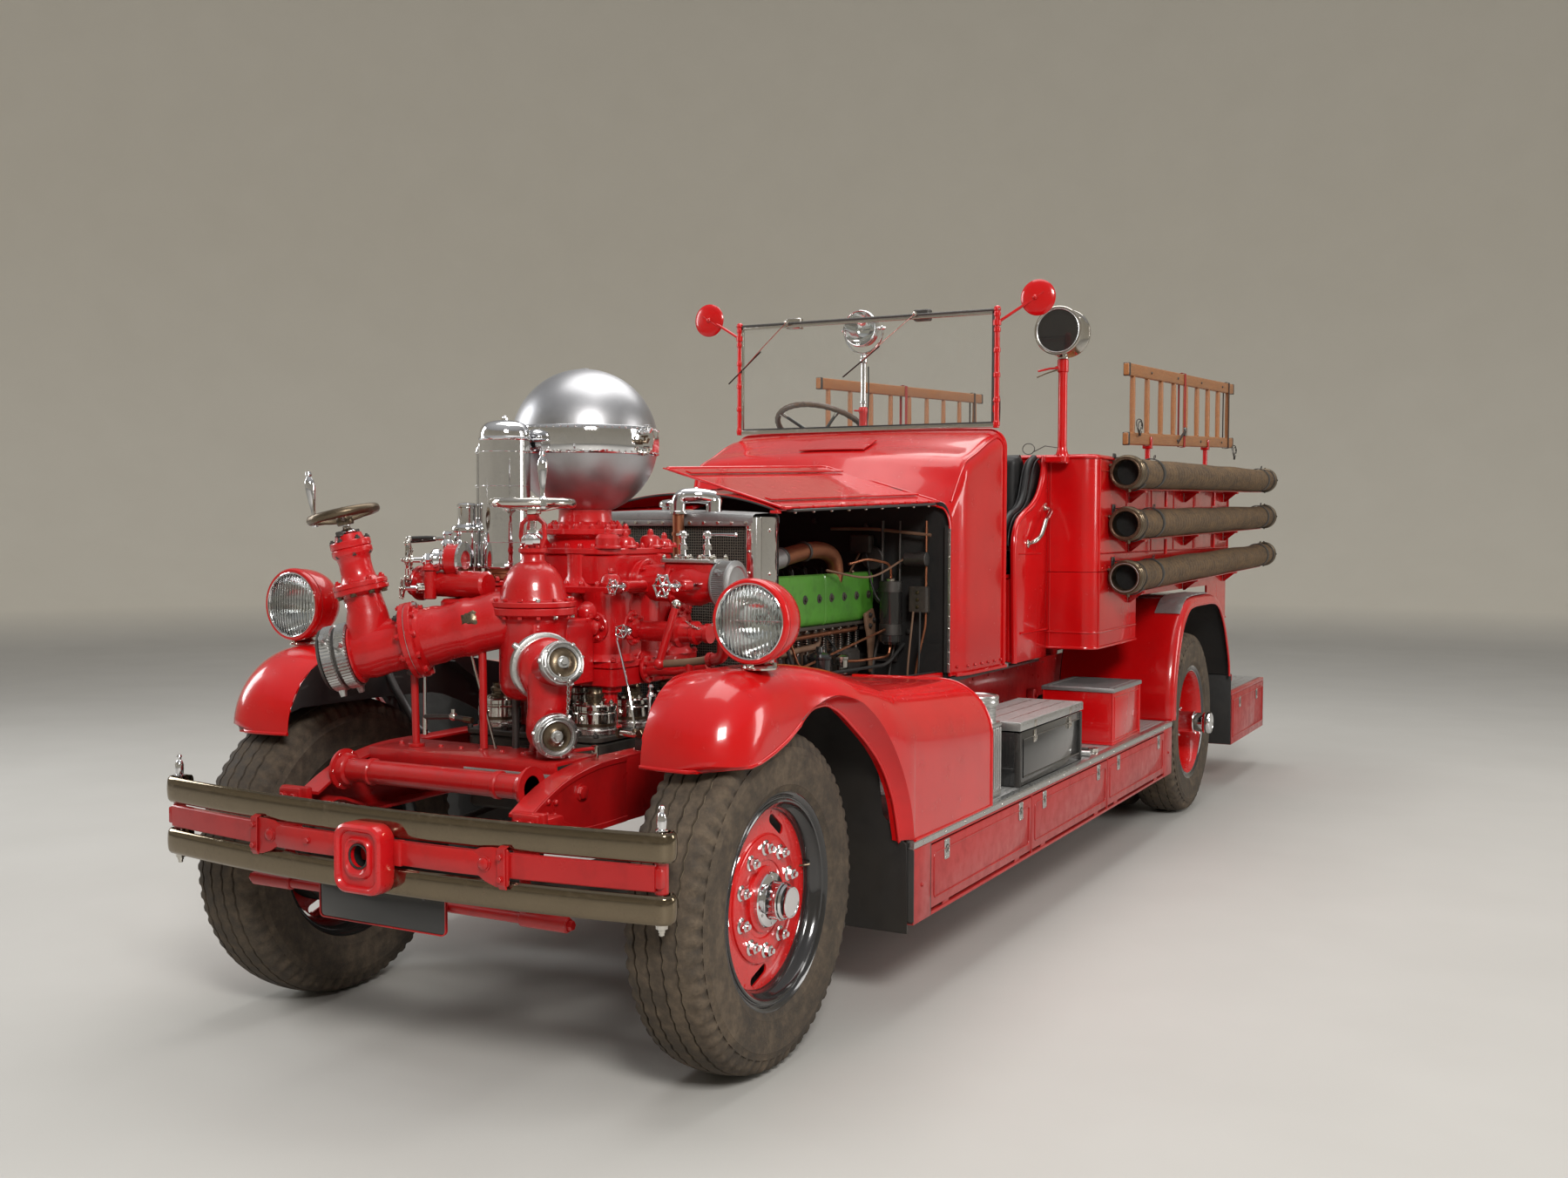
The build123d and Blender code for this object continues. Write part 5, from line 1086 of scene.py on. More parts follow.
def horn_line():
    """Upper and lower edges of a frame horn in side view, as matched rows of (y, z)."""
    top = spline([(-0.05, 0.900), (-0.16, 0.899), (-0.26, 0.889), (-0.36, 0.868), (-0.45, 0.834), (-0.525, 0.795)], 6)
    low = spline([(-0.05, 0.700), (-0.20, 0.699), (-0.295, 0.706), (-0.37, 0.736), (-0.45, 0.7585), (-0.525, 0.722)], 6)
    return top, low


def frame_front():
    p = Piece()
    top, low = horn_line()
    for s in (1, -1):
        xo, xi = s * 0.430, s * 0.357
        # deep web with a flange on each edge, open inwards
        rows = []
        for (ya, za), (yb, zb) in zip(top, low):
            d = unit([ya - yb, za - zb, 0])
            e = 0.009
            a, b = np.array([ya, za]), np.array([yb, zb])
            a1, b1 = a - d[:2] * e, b + d[:2] * e
            rows.append([(xo, *b), (xo, *(b + d[:2] * 0.003)), (xo, *(a - d[:2] * 0.003)), (xo, *a), (xi, *a), (xi, *a1), (xo - s * 0.009, *a1), (xo - s * 0.009, *b1), (xi, *b1), (xi, *b)])
        loft(p, rows, FRAME_RED, True, True)
        # outer face flange strips stand a little proud
        for line in (top, low):
            sgn = 1 if line is top else -1
            path = [(xo + s * 0.0015, y, z - sgn * 0.009) for y, z in line]
            p.strip(path, 0.018, 0.004, (0, 0.3, 1), FRAME_RED)
        # end bracket: plate on the horn's end with two bolt heads
        p.box(s * 0.382, s * 0.492, -0.547, -0.522, 0.716, 0.808, FRAME_RED, 0.006)
        p.box(s * 0.43, s * 0.486, -0.535, -0.44, 0.732, 0.790, FRAME_RED, 0.008)
        for x in (0.416, 0.458):
            p.bolt((s * x, -0.547, 0.775), (0, -1, 0), 0.011, FRAME_RED, 0.008)
        p.bolts((xo + s * 0.001, -0.43, 0.80), (s, 0, 0), 0.026, 4, 0.008, FRAME_RED, "round", a0=0.6)
        p.bolt((xo, -0.285, 0.825), (s, 0, 0), 0.020, FRAME_RED, 0.010)
        p.cyl((xi - s * 0.002, -0.285, 0.825), (xi + s * 0.06, -0.285, 0.825), 0.022, FRAME_RED, 20)
        for k in range(7):
            t = k / 6
            y = -0.10 - 0.33 * t
            z = 0.886 - 0.075 * t ** 2
            p.bolt((xo - s * 0.009, y, z - 0.012), (-s, 0, 0), 0.007, FRAME_RED, kind="round", washer=False)
        # spring hanger and shackle below the horn
        p.prism([(-0.055, 0.0), (0.055, 0.0), (0.040, -0.055), (0.022, -0.098), (0.0, -0.108), (-0.022, -0.098), (-0.040, -0.055)], (s * 0.416, -0.486, 0.735), (0, 1, 0), (0, 0, 1), 0.010, IRON, 0.002, both=True)
        p.prism([(-0.055, 0.0), (0.055, 0.0), (0.040, -0.055), (0.022, -0.098), (0.0, -0.108), (-0.022, -0.098), (-0.040, -0.055)], (s * 0.366, -0.486, 0.735), (0, 1, 0), (0, 0, 1), 0.010, IRON, 0.002, both=True)
        p.cyl((s * 0.352, -0.486, 0.645), (s * 0.436, -0.486, 0.645), 0.015, STEEL, 16, bev=0.003)
        p.bolt((s * 0.436, -0.486, 0.645), (s, 0, 0), 0.018, IRON)
        # rails on to the tail, with their flanges, holes and rivets
        for z, t in ((0.8955, 0.009), (0.7045, 0.009)):
            p.box(xi, xo, -0.05, 6.35, z - t / 2, z + t / 2, FRAME_RED, 0.002)
        p.box(xo - s * 0.009, xo, -0.05, 6.35, 0.705, 0.895, FRAME_RED, 0.002)
        for y in np.arange(0.15, 6.3, 0.21):
            for z in (0.725, 0.875):
                p.bolt((xo, y, z), (s, 0, 0), 0.0075, FRAME_RED, kind="round", washer=False)
        for y in (3.3, 4.15, 5.3, 6.2):
            p.box(s * 0.36, s * 0.43, y - 0.04, y + 0.04, 0.9002, 1.0098, FRAME_RED, 0.006)
            for dy in (-0.05, 0.05):
                p.prism([(-0.03, 0), (0.03, 0), (0.012, 0.09), (-0.012, 0.09)], (s * 0.395, y + dy * 0.86, 0.9005), (1, 0, 0), (0, 0, 1), 0.006, FRAME_RED, 0.001, both=True)
    # tube between the horns with collars
    p.cyl((-0.357, -0.42, 0.850), (0.357, -0.42, 0.850), 0.036, FRAME_RED, 32)
    for s in (1, -1):
        p.lathe((s * 0.357, -0.42, 0.850), (-s, 0, 0), [(0, 0), (0.062, 0), (0.062, 0.008), (0.050, 0.012), (0.046, 0.030), (0.040, 0.036), (0.036, 0.037)], FRAME_RED, 28)
        p.bolts((s * 0.349, -0.42, 0.850), (-s, 0, 0), 0.053, 6, 0.007, FRAME_RED, "hex", washer=False)
        p.cyl((s * 0.23, -0.42, 0.85), (s * 0.25, -0.42, 0.85), 0.041, FRAME_RED, 28, bev=0.004)
    # front cross member: flat top, deep face, bare blank strip under its edge
    p.box(-0.358, 0.358, -0.305, -0.10, 0.893, 0.905, FRAME_RED, 0.004)
    p.box(-0.358, 0.358, -0.310, -0.298, 0.862, 0.904, FRAME_RED, 0.004)
    p.box(0.02, 0.345, -0.3135, -0.310, 0.852, 0.871, ALU_WORN, 0.0015)
    p.box(-0.358, 0.358, -0.300, -0.292, 0.80, 0.866, BLACK_WORN, 0.003)
    for x in np.linspace(-0.32, 0.32, 9):
        p.bolt((x, -0.205, 0.905), (0, 0, 1), 0.008, FRAME_RED, kind="round", washer=False)
    for y, z0, z1 in ((2.81, 0.812, 0.88), (3.3, 0.745, 0.88), (4.15, 0.72, 0.88), (5.3, 0.72, 0.88), (6.29, 0.72, 0.88)):
        p.box(-0.355, 0.355, y - 0.03, y - 0.021, z0, z1, FRAME_RED, 0.002)
        p.box(-0.355, 0.355, y - 0.03, y + 0.03, z1 - 0.008, z1, FRAME_RED, 0.002)
        p.box(-0.355, 0.355, y - 0.03, y + 0.03, z0, z0 + 0.008, FRAME_RED, 0.002)
        for s in (1, -1):
            for x in (0.31, 0.335):
                for z in (z0 + 0.022, z1 - 0.022):
                    p.bolt((s * x, y - 0.03, z), (0, -1, 0), 0.008, FRAME_RED, kind="round", washer=False)
    p.cyl((-0.36, 1.2, 0.66), (-0.36, 1.2, 0.70), 0.02, IRON, 12)
    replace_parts(p.make("frame_with_horns"), "frame_rails")


frame_front()


def fluted_lens():
    m, nt, b = mat("fluted_lens")
    c = coords(nt)
    w = N(nt, "ShaderNodeTexWave", wave_type="BANDS", bands_direction="X", wave_profile="SIN")
    w.inputs["Scale"].default_value = 26
    w.inputs["Distortion"].default_value = 0.0
    nt.links.new(c, w.inputs["Vector"])
    n1 = noise(nt, c, 22, 5, 0.6)
    b.inputs["Base Color"].default_value = (0.93, 0.96, 0.95, 1)
    b.inputs["Transmission Weight"].default_value = 1.0
    b.inputs["IOR"].default_value = 1.46
    nt.links.new(to_range(nt, n1, 0.02, 0.09, 0.45, 0.75), b.inputs["Roughness"])
    bump(nt, b, w.outputs["Fac"], 0.55, 0.004)
    return m


FLUTED = fluted_lens()
MIRROR = metal("reflector_silver", (0.86, 0.86, 0.87), rough=0.06, scratch=0.3, dirt_amt=0.08, brushed=(60, 60, 60))


def headlamp(s):
    p = Piece()
    c = np.array([s * 0.888, -0.112, 1.323])
    ax = np.array([0, 1.0, 0])
    # bucket from its rim to the rounded back
    p.lathe(c, ax, [(0.108, 0.000), (0.113, -0.002), (0.1185, -0.001), (0.1225, 0.004), (0.1240, 0.010), (0.1235, 0.016), (0.1215, 0.020), (0.1205, 0.022), (0.1212, 0.024), (0.1215, 0.040), (0.1200, 0.062),
                    (0.1155, 0.088), (0.1060, 0.113), (0.0900, 0.134), (0.0660, 0.150), (0.0350, 0.158), (0, 0.160)], RED, 64)
    p.torus(c + ax * 0.0205, ax, 0.1222, 0.0016, FRAME_RED, 64, 8)
    # reflector and lamp holder
    p.lathe(c, ax, [(0.1075, 0.002), (0.1050, 0.004), (0.0980, 0.022), (0.0860, 0.048), (0.0680, 0.074), (0.0440, 0.092), (0.0200, 0.099), (0.012, 0.099)], MIRROR, 56)
    p.lathe(c + ax * 0.06, ax, [(0, -0.012), (0.009, -0.010), (0.0125, 0.000), (0.010, 0.012), (0.009, 0.020), (0.014, 0.022), (0.014, 0.038)], LENS if s > 0 else MIRROR, 20)
    p.cyl(c + (-0.085, 0.050, 0.0), c + (0.085, 0.050, 0.0), 0.0025, MIRROR, 8)
    # domed lens
    dome = [(0.1065 * sin(t), -0.0015 - 0.020 * cos(t) + 0.008) for t in np.linspace(0, pi / 2, 12)]
    inner = [(max(r - 0.003, 0), h + 0.004) for r, h in dome[::-1]]
    p.lathe(c, ax, [(0 if r < 1e-5 else r, h) for r, h in dome + inner], FLUTED, 64)
    p.torus(c - ax * 0.0005, ax, 0.1078, 0.0028, CHROME, 64, 10)
    # rim clamp screw, foot and swivel
    p.obox(c + (0, 0.010, -0.128), (1, 0, 0), (0, 1, 0), (0.020, 0.014, 0.016), CHROME_OLD, 0.003)
    p.bolt(c + (0, 0.003, -0.130), (0, -1, 0), 0.0055, CHROME_OLD, kind="round")
    f = np.array([s * 0.888, -0.050, 1.1878])
    p.lathe(f, (0, 0, 1), [(0, -0.004), (0.052, -0.004), (0.054, 0.001), (0.050, 0.008), (0.040, 0.011), (0.028, 0.014), (0.022, 0.022), (0.021, 0.030), (0.026, 0.038), (0.029, 0.047), (0, 0.055)], CHROME_OLD, 36)
    p.bolts(f + (0, 0, 0.008), (0, 0, 1), 0.043, 3, 0.006, CHROME_OLD, "hex")
    p.tube(bend([f + (-s * 0.004, 0.07, 0.10), f + (-s * 0.02, 0.10, 0.045), f + (-s * 0.03, 0.085, 0.0), f + (-s * 0.035, 0.08, -0.02)], 0.03), 0.005, RUBBER, 10)
    return p.make(f"headlamp_{'left' if s > 0 else 'right'}", slot="red_paint")


_h = [headlamp(1), headlamp(-1)]
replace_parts(_h[0], "headlights")
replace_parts(_h[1], "headlights")


def interp(tab, t):
    tab = np.asarray(tab, float)
    out = []
    for j in range(1, tab.shape[1]):
        # monotone smooth interpolation
        x, y = tab[:, 0], tab[:, j]
        if t <= x[0]:
            out.append(y[0]); continue
        if t >= x[-1]:
            out.append(y[-1]); continue
        i = int(np.searchsorted(x, t) - 1)
        h = x[i + 1] - x[i]
        d = (y[i + 1] - y[i]) / h
        def sl(k):
            if k == 0 or k == len(x) - 1:
                kk = min(max(k, 0), len(x) - 2)
                return (y[kk + 1] - y[kk]) / (x[kk + 1] - x[kk])
            a = (y[k] - y[k - 1]) / (x[k] - x[k - 1])
            b = (y[k + 1] - y[k]) / (x[k + 1] - x[k])
            return 0 if a * b <= 0 else 2 * a * b / (a + b)
        m0, m1 = sl(i), sl(i + 1)
        u = (t - x[i]) / h
        out.append((2 * u ** 3 - 3 * u ** 2 + 1) * y[i] + (u ** 3 - 2 * u ** 2 + u) * h * m0 + (-2 * u ** 3 + 3 * u ** 2) * y[i + 1] + (u ** 3 - u ** 2) * h * m1)
    return out if len(out) > 1 else out[0]


# station, crown height, crown half start, outer face, shoulder end height, inner edge, inner edge height
WING = ((-0.10, 1.187, 0.835, 0.985, 1.035, 0.672, 1.168), (0.10, 1.184, 0.845, 0.992, 1.045, 0.664, 1.165), (0.30, 1.160, 0.870, 1.035, 1.000, 0.610, 1.145),
        (0.50, 1.116, 0.880, 1.068, 0.930, 0.550, 1.105), (0.64, 1.087, 0.880, 1.078, 0.885, 0.527, 1.079), (0.95, 1.056, 0.880, 1.080, 0.855, 0.520, 1.050), (1.36, 1.030, 0.880, 1.081, 0.832, 0.518, 1.026))
LIP = ((-0.36, 0.925), (-0.26, 0.9365), (-0.16, 0.955), (-0.07, 0.982), (0.014, 1.021), (0.08, 1.045), (0.14, 1.058), (0.20, 1.059), (0.27, 1.040), (0.39, 0.962), (0.505, 0.850), (0.575, 0.720), (0.612, 0.577))
CREASE = ((0.014, 1.023, 0.9855), (0.10, 1.068, 0.995), (0.20, 1.090, 1.014), (0.30, 1.070, 1.034), (0.40, 1.010, 1.052), (0.50, 0.905, 1.068), (0.58, 0.780, 1.077), (0.63, 0.660, 1.080), (0.648, 0.577, 1.080))


def fender(s):
    p = Piece()
    nv = 30
    rows = []

    def place(x, y, z):
        return (s * x, y, z)

    # nose: sections turn about a cross line at (y0, z0)
    y0, z0, ry, rz = -0.10, 0.925, 0.262, 0.262
    for k, ph in enumerate(np.linspace(0, pi / 2, 22)):
        row = []
        # where the skirt meets the lip on this section
        rho = np.linspace(1.0, 0.0, 201)
        yy, zz = y0 - ry * rho * cos(ph), z0 + rz * rho * sin(ph)
        zl = np.array([interp(LIP, t) for t in yy])
        bad = np.nonzero(zz < zl - 1e-4)[0]
        end = rho[max(bad[0] - 1, 0)] if len(bad) else 0.15
        end = min(end, 0.985)
        for j in range(nv):
            t = j / (nv - 1)
            if t < 0.45:
                q = t / 0.45
                x = 0.672 + (0.835 - 0.672) * q
                r = 1.0 - 0.072 * (1 - q) ** 2.4
            else:
                q = (t - 0.45) / 0.55
                th = q * pi / 2 * 1.25
                if th <= pi / 2:
                    x = 0.835 + 0.150 * sin(th)
                    r = (0.262 - 0.150 + 0.150 * cos(th)) / 0.262
                else:
                    x = 0.985
                    f = (q - 0.8) / 0.2
                    r = 0.427 + (0.2 - 0.427) * f
            row.append((x, r))
        # cut the section where the lip is, keep the count
        xs = np.array([a for a, _ in row]); rs = np.array([b for _, b in row])
        if end > rs[-1]:
            keep = rs >= end
            keep[: int(0.45 * nv)] = True
            idx = np.nonzero(keep)[0][-1]
            f = 0.0 if idx + 1 >= nv else (rs[idx] - end) / max(rs[idx] - rs[idx + 1], 1e-9)
            tt = np.linspace(0, idx + min(max(f, 0), 1), nv)
            xs, rs = np.interp(tt, range(nv), xs), np.interp(tt, range(nv), rs)
        else:
            a = rs[-1]
            tt = np.linspace(0, nv - 1, nv)
            rs = np.where(rs < 0.5, 0.5 + (rs - 0.5) * (0.5 - end) / max(0.5 - a, 1e-9), rs)
        rows.append([place(x, y0 - ry * r * cos(ph), z0 + rz * r * sin(ph)) for x, r in zip(xs, rs)])
    # over the wheel and back to the running board
    for y in list(np.linspace(-0.085, 0.54, 34)) + list(np.linspace(0.555, 0.66, 16)) + list(np.linspace(0.70, 1.36, 16)):
        zc, xs_, xo, zs, xi, zi = interp(WING, y)
        if y < 0.014:
            low, xl = interp(LIP, y), 0.985
        elif y < 0.648:
            low, xl = interp(CREASE, y)
        else:
            low, xl = 0.577, xo
        row = []
        for j in range(nv):
            t = j / (nv - 1)
            if t < 0.40:
                q = t / 0.40
                x = xi + (xs_ - xi) * q
                z = zc - (zc - zi) * (1 - q) ** 2.2
            else:
                q = (t - 0.40) / 0.60
                th = q * pi / 2 * 1.35
                if th <= pi / 2:
                    x = xs_ + (xo - xs_) * sin(th)
                    z = zs + (zc - zs) * cos(th)
                else:
                    f = (th - pi / 2) / (pi / 2 * 0.35)
                    x, z = xo, zs - 0.25 * f
            row.append((x, z))
        xs2 = np.array([a for a, _ in row]); zs2 = np.array([b for _, b in row])
        if zs2[-1] < low:
            idx = np.nonzero(zs2 >= low)[0][-1]
            f = (zs2[idx] - low) / max(zs2[idx] - zs2[idx + 1], 1e-9)
            tt = np.linspace(0, idx + f, nv)
            xs2, zs2 = np.interp(tt, range(nv), xs2), np.interp(tt, range(nv), zs2)
        else:
            k0 = int(nv * 0.84)
            zs2[k0:] = np.linspace(zs2[k0], low, nv - k0)
        if 0.014 <= y < 0.648:
            # draw the last rows onto the crease line
            w = np.clip((np.arange(nv) - nv * 0.55) / (nv * 0.45), 0, 1) ** 1.5
            xs2 = xs2 + (xl - xs2[-1]) * w
        rows.append([place(x, y, z) for x, z in zip(xs2, zs2)])
    g = np.array(rows)
    p.skin(g, 0.003, RED, flip=(s > 0), inner=BLACK_WORN)
    # front-facing cheek between the crease and the arch lip
    ck = []
    for edge in [r[-1] for r in rows[22:] if 0.014 <= r[0][1] <= 0.662]:
        # each cheek row starts on the last point of a wing row, so that the two meet
        xc_, yc, zc_ = abs(edge[0]), edge[1], edge[2]
        t = min(1.0, (yc - 0.014) / 0.634)
        yl = 0.014 + (0.612 - 0.014) * t
        zl_ = interp(LIP, yl)
        wid = sin(min(1, t * 1.25) * pi / 2)
        xl_ = xc_ - 0.078 * wid * (1 - 0.5 * t ** 3)
        ck.append([place(xc_ + (xl_ - xc_) * q, yc + (yl - yc) * q, zc_ + (zl_ - zc_) * q + 0.004 * sin(pi * q)) for q in np.linspace(0, 1, 6)])
    p.skin(np.array(ck), 0.003, RED, flip=(s > 0), inner=BLACK_WORN)
    # rolled wire edge along the whole opening
    lipline = [tuple(rows[i][-1]) for i in range(0, 22)]
    lipline += [tuple(r[-1]) for r in rows[22:] if r[0][1] < 0.014]
    lipline += [tuple(c[-1]) for c in ck]
    first = [place(x, y0 - ry * (1 - 0.072 * (1 - q) ** 2.4), z0) for x, q in ((0.672 + 0.163 * q, q) for q in np.linspace(0, 1, 8))]
    p.tube(first + lipline[1:], 0.0062, RED, 10)
    inner = [(a[0] - s * 0.024, a[1], a[2] + 0.003) for a in lipline]
    p.grid(np.array([lipline, inner]), RED)
    # bead where the wing meets the board, inner wall and splash sheet behind the tyre
    p.tube([place(1.081, y, 0.578) for y in np.linspace(0.648, 1.36, 8)], 0.005, RED, 8)
    rear = [tuple(q) for q in rows[-1]]
    p.tube(rear, 0.006, RED, 8)
    inn = []
    for y in np.linspace(-0.33, 1.36, 40):
        if y < -0.10:
            q = min(1, max(0, (y0 - y) / ry))
            zt = z0 + rz * 0.928 * math.sqrt(max(0, 1 - (q / 0.928) ** 2)) if q < 0.928 else z0
            xi, zi = 0.672, zt
        else:
            _, _, _, _, xi, zi = interp(WING, y)
        zb = 1.004 if y < 0.30 else max(0.60, interp(((0.30, 1.004), (0.45, 0.93), (0.56, 0.80), (0.62, 0.60), (1.36, 0.60)), y))
        inn.append([place(xi, y, zi), place(xi - 0.001, y, zi + (min(zb, zi - 0.01) - zi) * 0.5), place(xi, y, min(zb, zi - 0.01))])
    p.skin(np.array(inn), 0.003, RED, flip=(s > 0), inner=BLACK_WORN)
    sp = []
    for y, z in [(0.30, 1.115), (0.40, 1.055), (0.50, 0.935), (0.565, 0.805), (0.605, 0.66), (0.622, 0.565), (0.630, 0.45), (0.634, 0.272)]:
        xo = 1.06 if z < 0.60 else 0.985
        sp.append([place(0.528 + (xo - 0.528) * q, y, z) for q in np.linspace(0, 1, 6)])
    p.skin(np.array(sp), 0.004, BLACK_WORN, flip=(s < 0))
    p.strip([place(0.54, 0.626, 0.562), place(1.058, 0.626, 0.562)], 0.02, 0.004, (0, 0, 1), BLACK_WORN)
    # stay from the frame to the wing
    p.tube([place(0.43, 0.10, 0.86), place(0.52, 0.10, 0.90), place(0.62, 0.10, 1.03), place(0.675, 0.10, 1.12)], 0.014, BLACK_WORN, 12)
    p.tube([place(0.43, 0.72, 0.80), place(0.50, 0.72, 0.80), place(0.53, 0.72, 0.84)], 0.016, BLACK_WORN, 12)
    return p.make(f"front_wing_{'left' if s > 0 else 'right'}", angle=38)


for _s in (1, -1):
    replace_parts(fender(_s), "front_fenders")
# ---------------------------------------------------------------- front pump
def rbox(p, x0, x1, y0, y1, z0, z1, m, r=0.03, bev=0.004, n=6):
    """Block with rounded upright corners and softened edges."""
    cx, cy, w, d = (x0 + x1) / 2, (y0 + y1) / 2, x1 - x0, y1 - y0
    r = min(r, w / 2 - 0.001, d / 2 - 0.001)
    def lp(e, z):
        return [(cx + a, cy + b, z) for a, b in rrect(w - 2 * e, d - 2 * e, max(r - e, 0.002), n)]
    loft(p, [lp(bev, z0), lp(0, z0 + bev), lp(0, z1 - bev), lp(bev, z1)], m, True, True)


def deck(p, x0, x1, y0, y1, z0, z1, m, pitch=0.07, r_b=0.009, kind="stud", r=0.03, edge=0.016, bm=None):
    """Bolted flange plate: nuts all round its rim."""
    rbox(p, x0, x1, y0, y1, z0, z1, m, r, 0.003)
    xs = np.linspace(x0 + edge, x1 - edge, max(2, int(round((x1 - x0) / pitch)) + 1))
    ys = np.linspace(y0 + edge, y1 - edge, max(2, int(round((y1 - y0) / pitch)) + 1))
    for x in xs:
        for y in (y0 + edge, y1 - edge):
            p.bolt((x, y, z1), (0, 0, 1), r_b, bm or m, kind=kind)
    for y in ys[1:-1]:
        for x in (x0 + edge, x1 - edge):
            p.bolt((x, y, z1), (0, 0, 1), r_b, bm or m, kind=kind)


def starwheel(p, c, n, R, m, spokes=6, r_rim=None):
    """Small cast valve wheel with a scalloped rim."""
    c, n = vec(c), unit(n)
    u, w = basis(n)
    k = 60
    rim = [c + (u * cos(t) + w * sin(t)) * (R * (1 + 0.07 * cos(spokes * t))) for t in np.linspace(0, 2 * pi, k, endpoint=False)]
    p.tube(rim, r_rim or R * 0.13, m, 8, closed=True)
    for i in range(spokes):
        t = 2 * pi * i / spokes
        d = u * cos(t) + w * sin(t)
        p.tube([c + d * R * 0.2, c + d * R * 0.55, c + d * R * 1.05], [R * 0.11, R * 0.085, R * 0.12], m, 8)
        p.ball(c + d * R * 1.10, R * 0.17, m, 10, 6)
    p.lathe(c - n * R * 0.22, n, [(0, 0), (R * 0.26, 0), (R * 0.28, R * 0.1), (R * 0.22, R * 0.36), (0, R * 0.38)], m, 16)
    p.bolt(c + n * R * 0.16, n, R * 0.13, m, kind="acorn", washer=False)


def handwheel(p, c, n, R, m, hm, u=None, tilt=0.0, spokes=4):
    """Big handwheel: oval rim, dished spokes and a turned crank grip."""
    c, n = vec(c), unit(n)
    a, b = basis(n)
    if u is not None:
        a = unit(np.array(u, float) - n * np.dot(u, n))
        b = np.cross(n, a)
    prof = [(R + 0.0125 * cos(t), 0.0145 * sin(t)) for t in np.linspace(0, 2 * pi, 13)]
    p.lathe(c, n, prof, m, 72)
    for i in range(spokes):
        t = 2 * pi * i / spokes + 0.35
        d = a * cos(t) + b * sin(t)
        p.tube([c - n * 0.018 + d * 0.018, c - n * 0.016 + d * R * 0.45, c - n * 0.004 + d * (R - 0.008)], [0.0095, 0.0075, 0.0085], m, 10)
    p.lathe(c - n * 0.034, n, [(0, 0), (0.024, 0), (0.026, 0.004), (0.026, 0.022), (0.019, 0.034), (0.012, 0.036), (0, 0.037)], m, 24)
    p.bolt(c, n, 0.012, m, kind="acorn")
    g = c + a * R * 0.98
    ax = unit(n + 0.10 * tilt * a)
    p.lathe(g, ax, [(0, -0.018), (0.010, -0.018), (0.011, -0.012), (0.016, -0.010), (0.017, 0.010), (0.012, 0.014), (0.0075, 0.02), (0.0070, 0.035), (0.0105, 0.060), (0.0150, 0.095), (0.0165, 0.112), (0.0145, 0.126), (0.0085, 0.136),
                    (0.0075, 0.139), (0.0105, 0.145), (0.0080, 0.154), (0, 0.157)], hm, 24)


def cap(p, c, n, R, m, dark, s=1.0):
    """Screw cap of an outlet: knurled skirt, stepped rings, sunk dull disc with a nut, small eye."""
    c, n = vec(c), unit(n)
    p.lathe(c, n, [(R * 0.80, -0.020), (R * 1.0, -0.020), (R * 1.02, -0.016), (R * 1.02, 0.004), (R * 0.985, 0.008), (R * 0.95, 0.009), (R * 0.935, 0.013), (R * 0.90, 0.018), (R * 0.86, 0.019), (R * 0.83, 0.016), (R * 0.80, 0.011),
                   (R * 0.77, 0.0105), (R * 0.74, 0.013), (R * 0.70, 0.014), (R * 0.67, 0.012), (R * 0.655, 0.006)], m, 56)
    p.lathe(c, n, [(R * 0.66, 0.006), (R * 0.60, 0.0045), (R * 0.40, 0.006), (R * 0.30, 0.009), (R * 0.27, 0.010)], dark, 48)
    p.lathe(c, n, [(R * 0.28, 0.008), (R * 0.28, 0.013), (R * 0.24, 0.015), (0, 0.0155)], m, 24)
    p.bolt(c + n * 0.015, n, R * 0.17, m, 0.011, washer=False)
    a, b = basis(n)
    for i in range(8):
        t = 2 * pi * i / 8 + 0.2
        d = a * cos(t) + b * sin(t)
        p.obox(c + d * R * 0.905 + n * 0.018, d, np.cross(n, d), (0.010, 0.007, 0.006), m, 0.002)
    for i in range(3):
        t = 2 * pi * i / 3 + 0.9
        d = a * cos(t) + b * sin(t)
        p.tube([c + d * R * 0.98 - n * 0.006, c + d * R * 1.10 - n * 0.006], [0.008, 0.0065], m, 10)


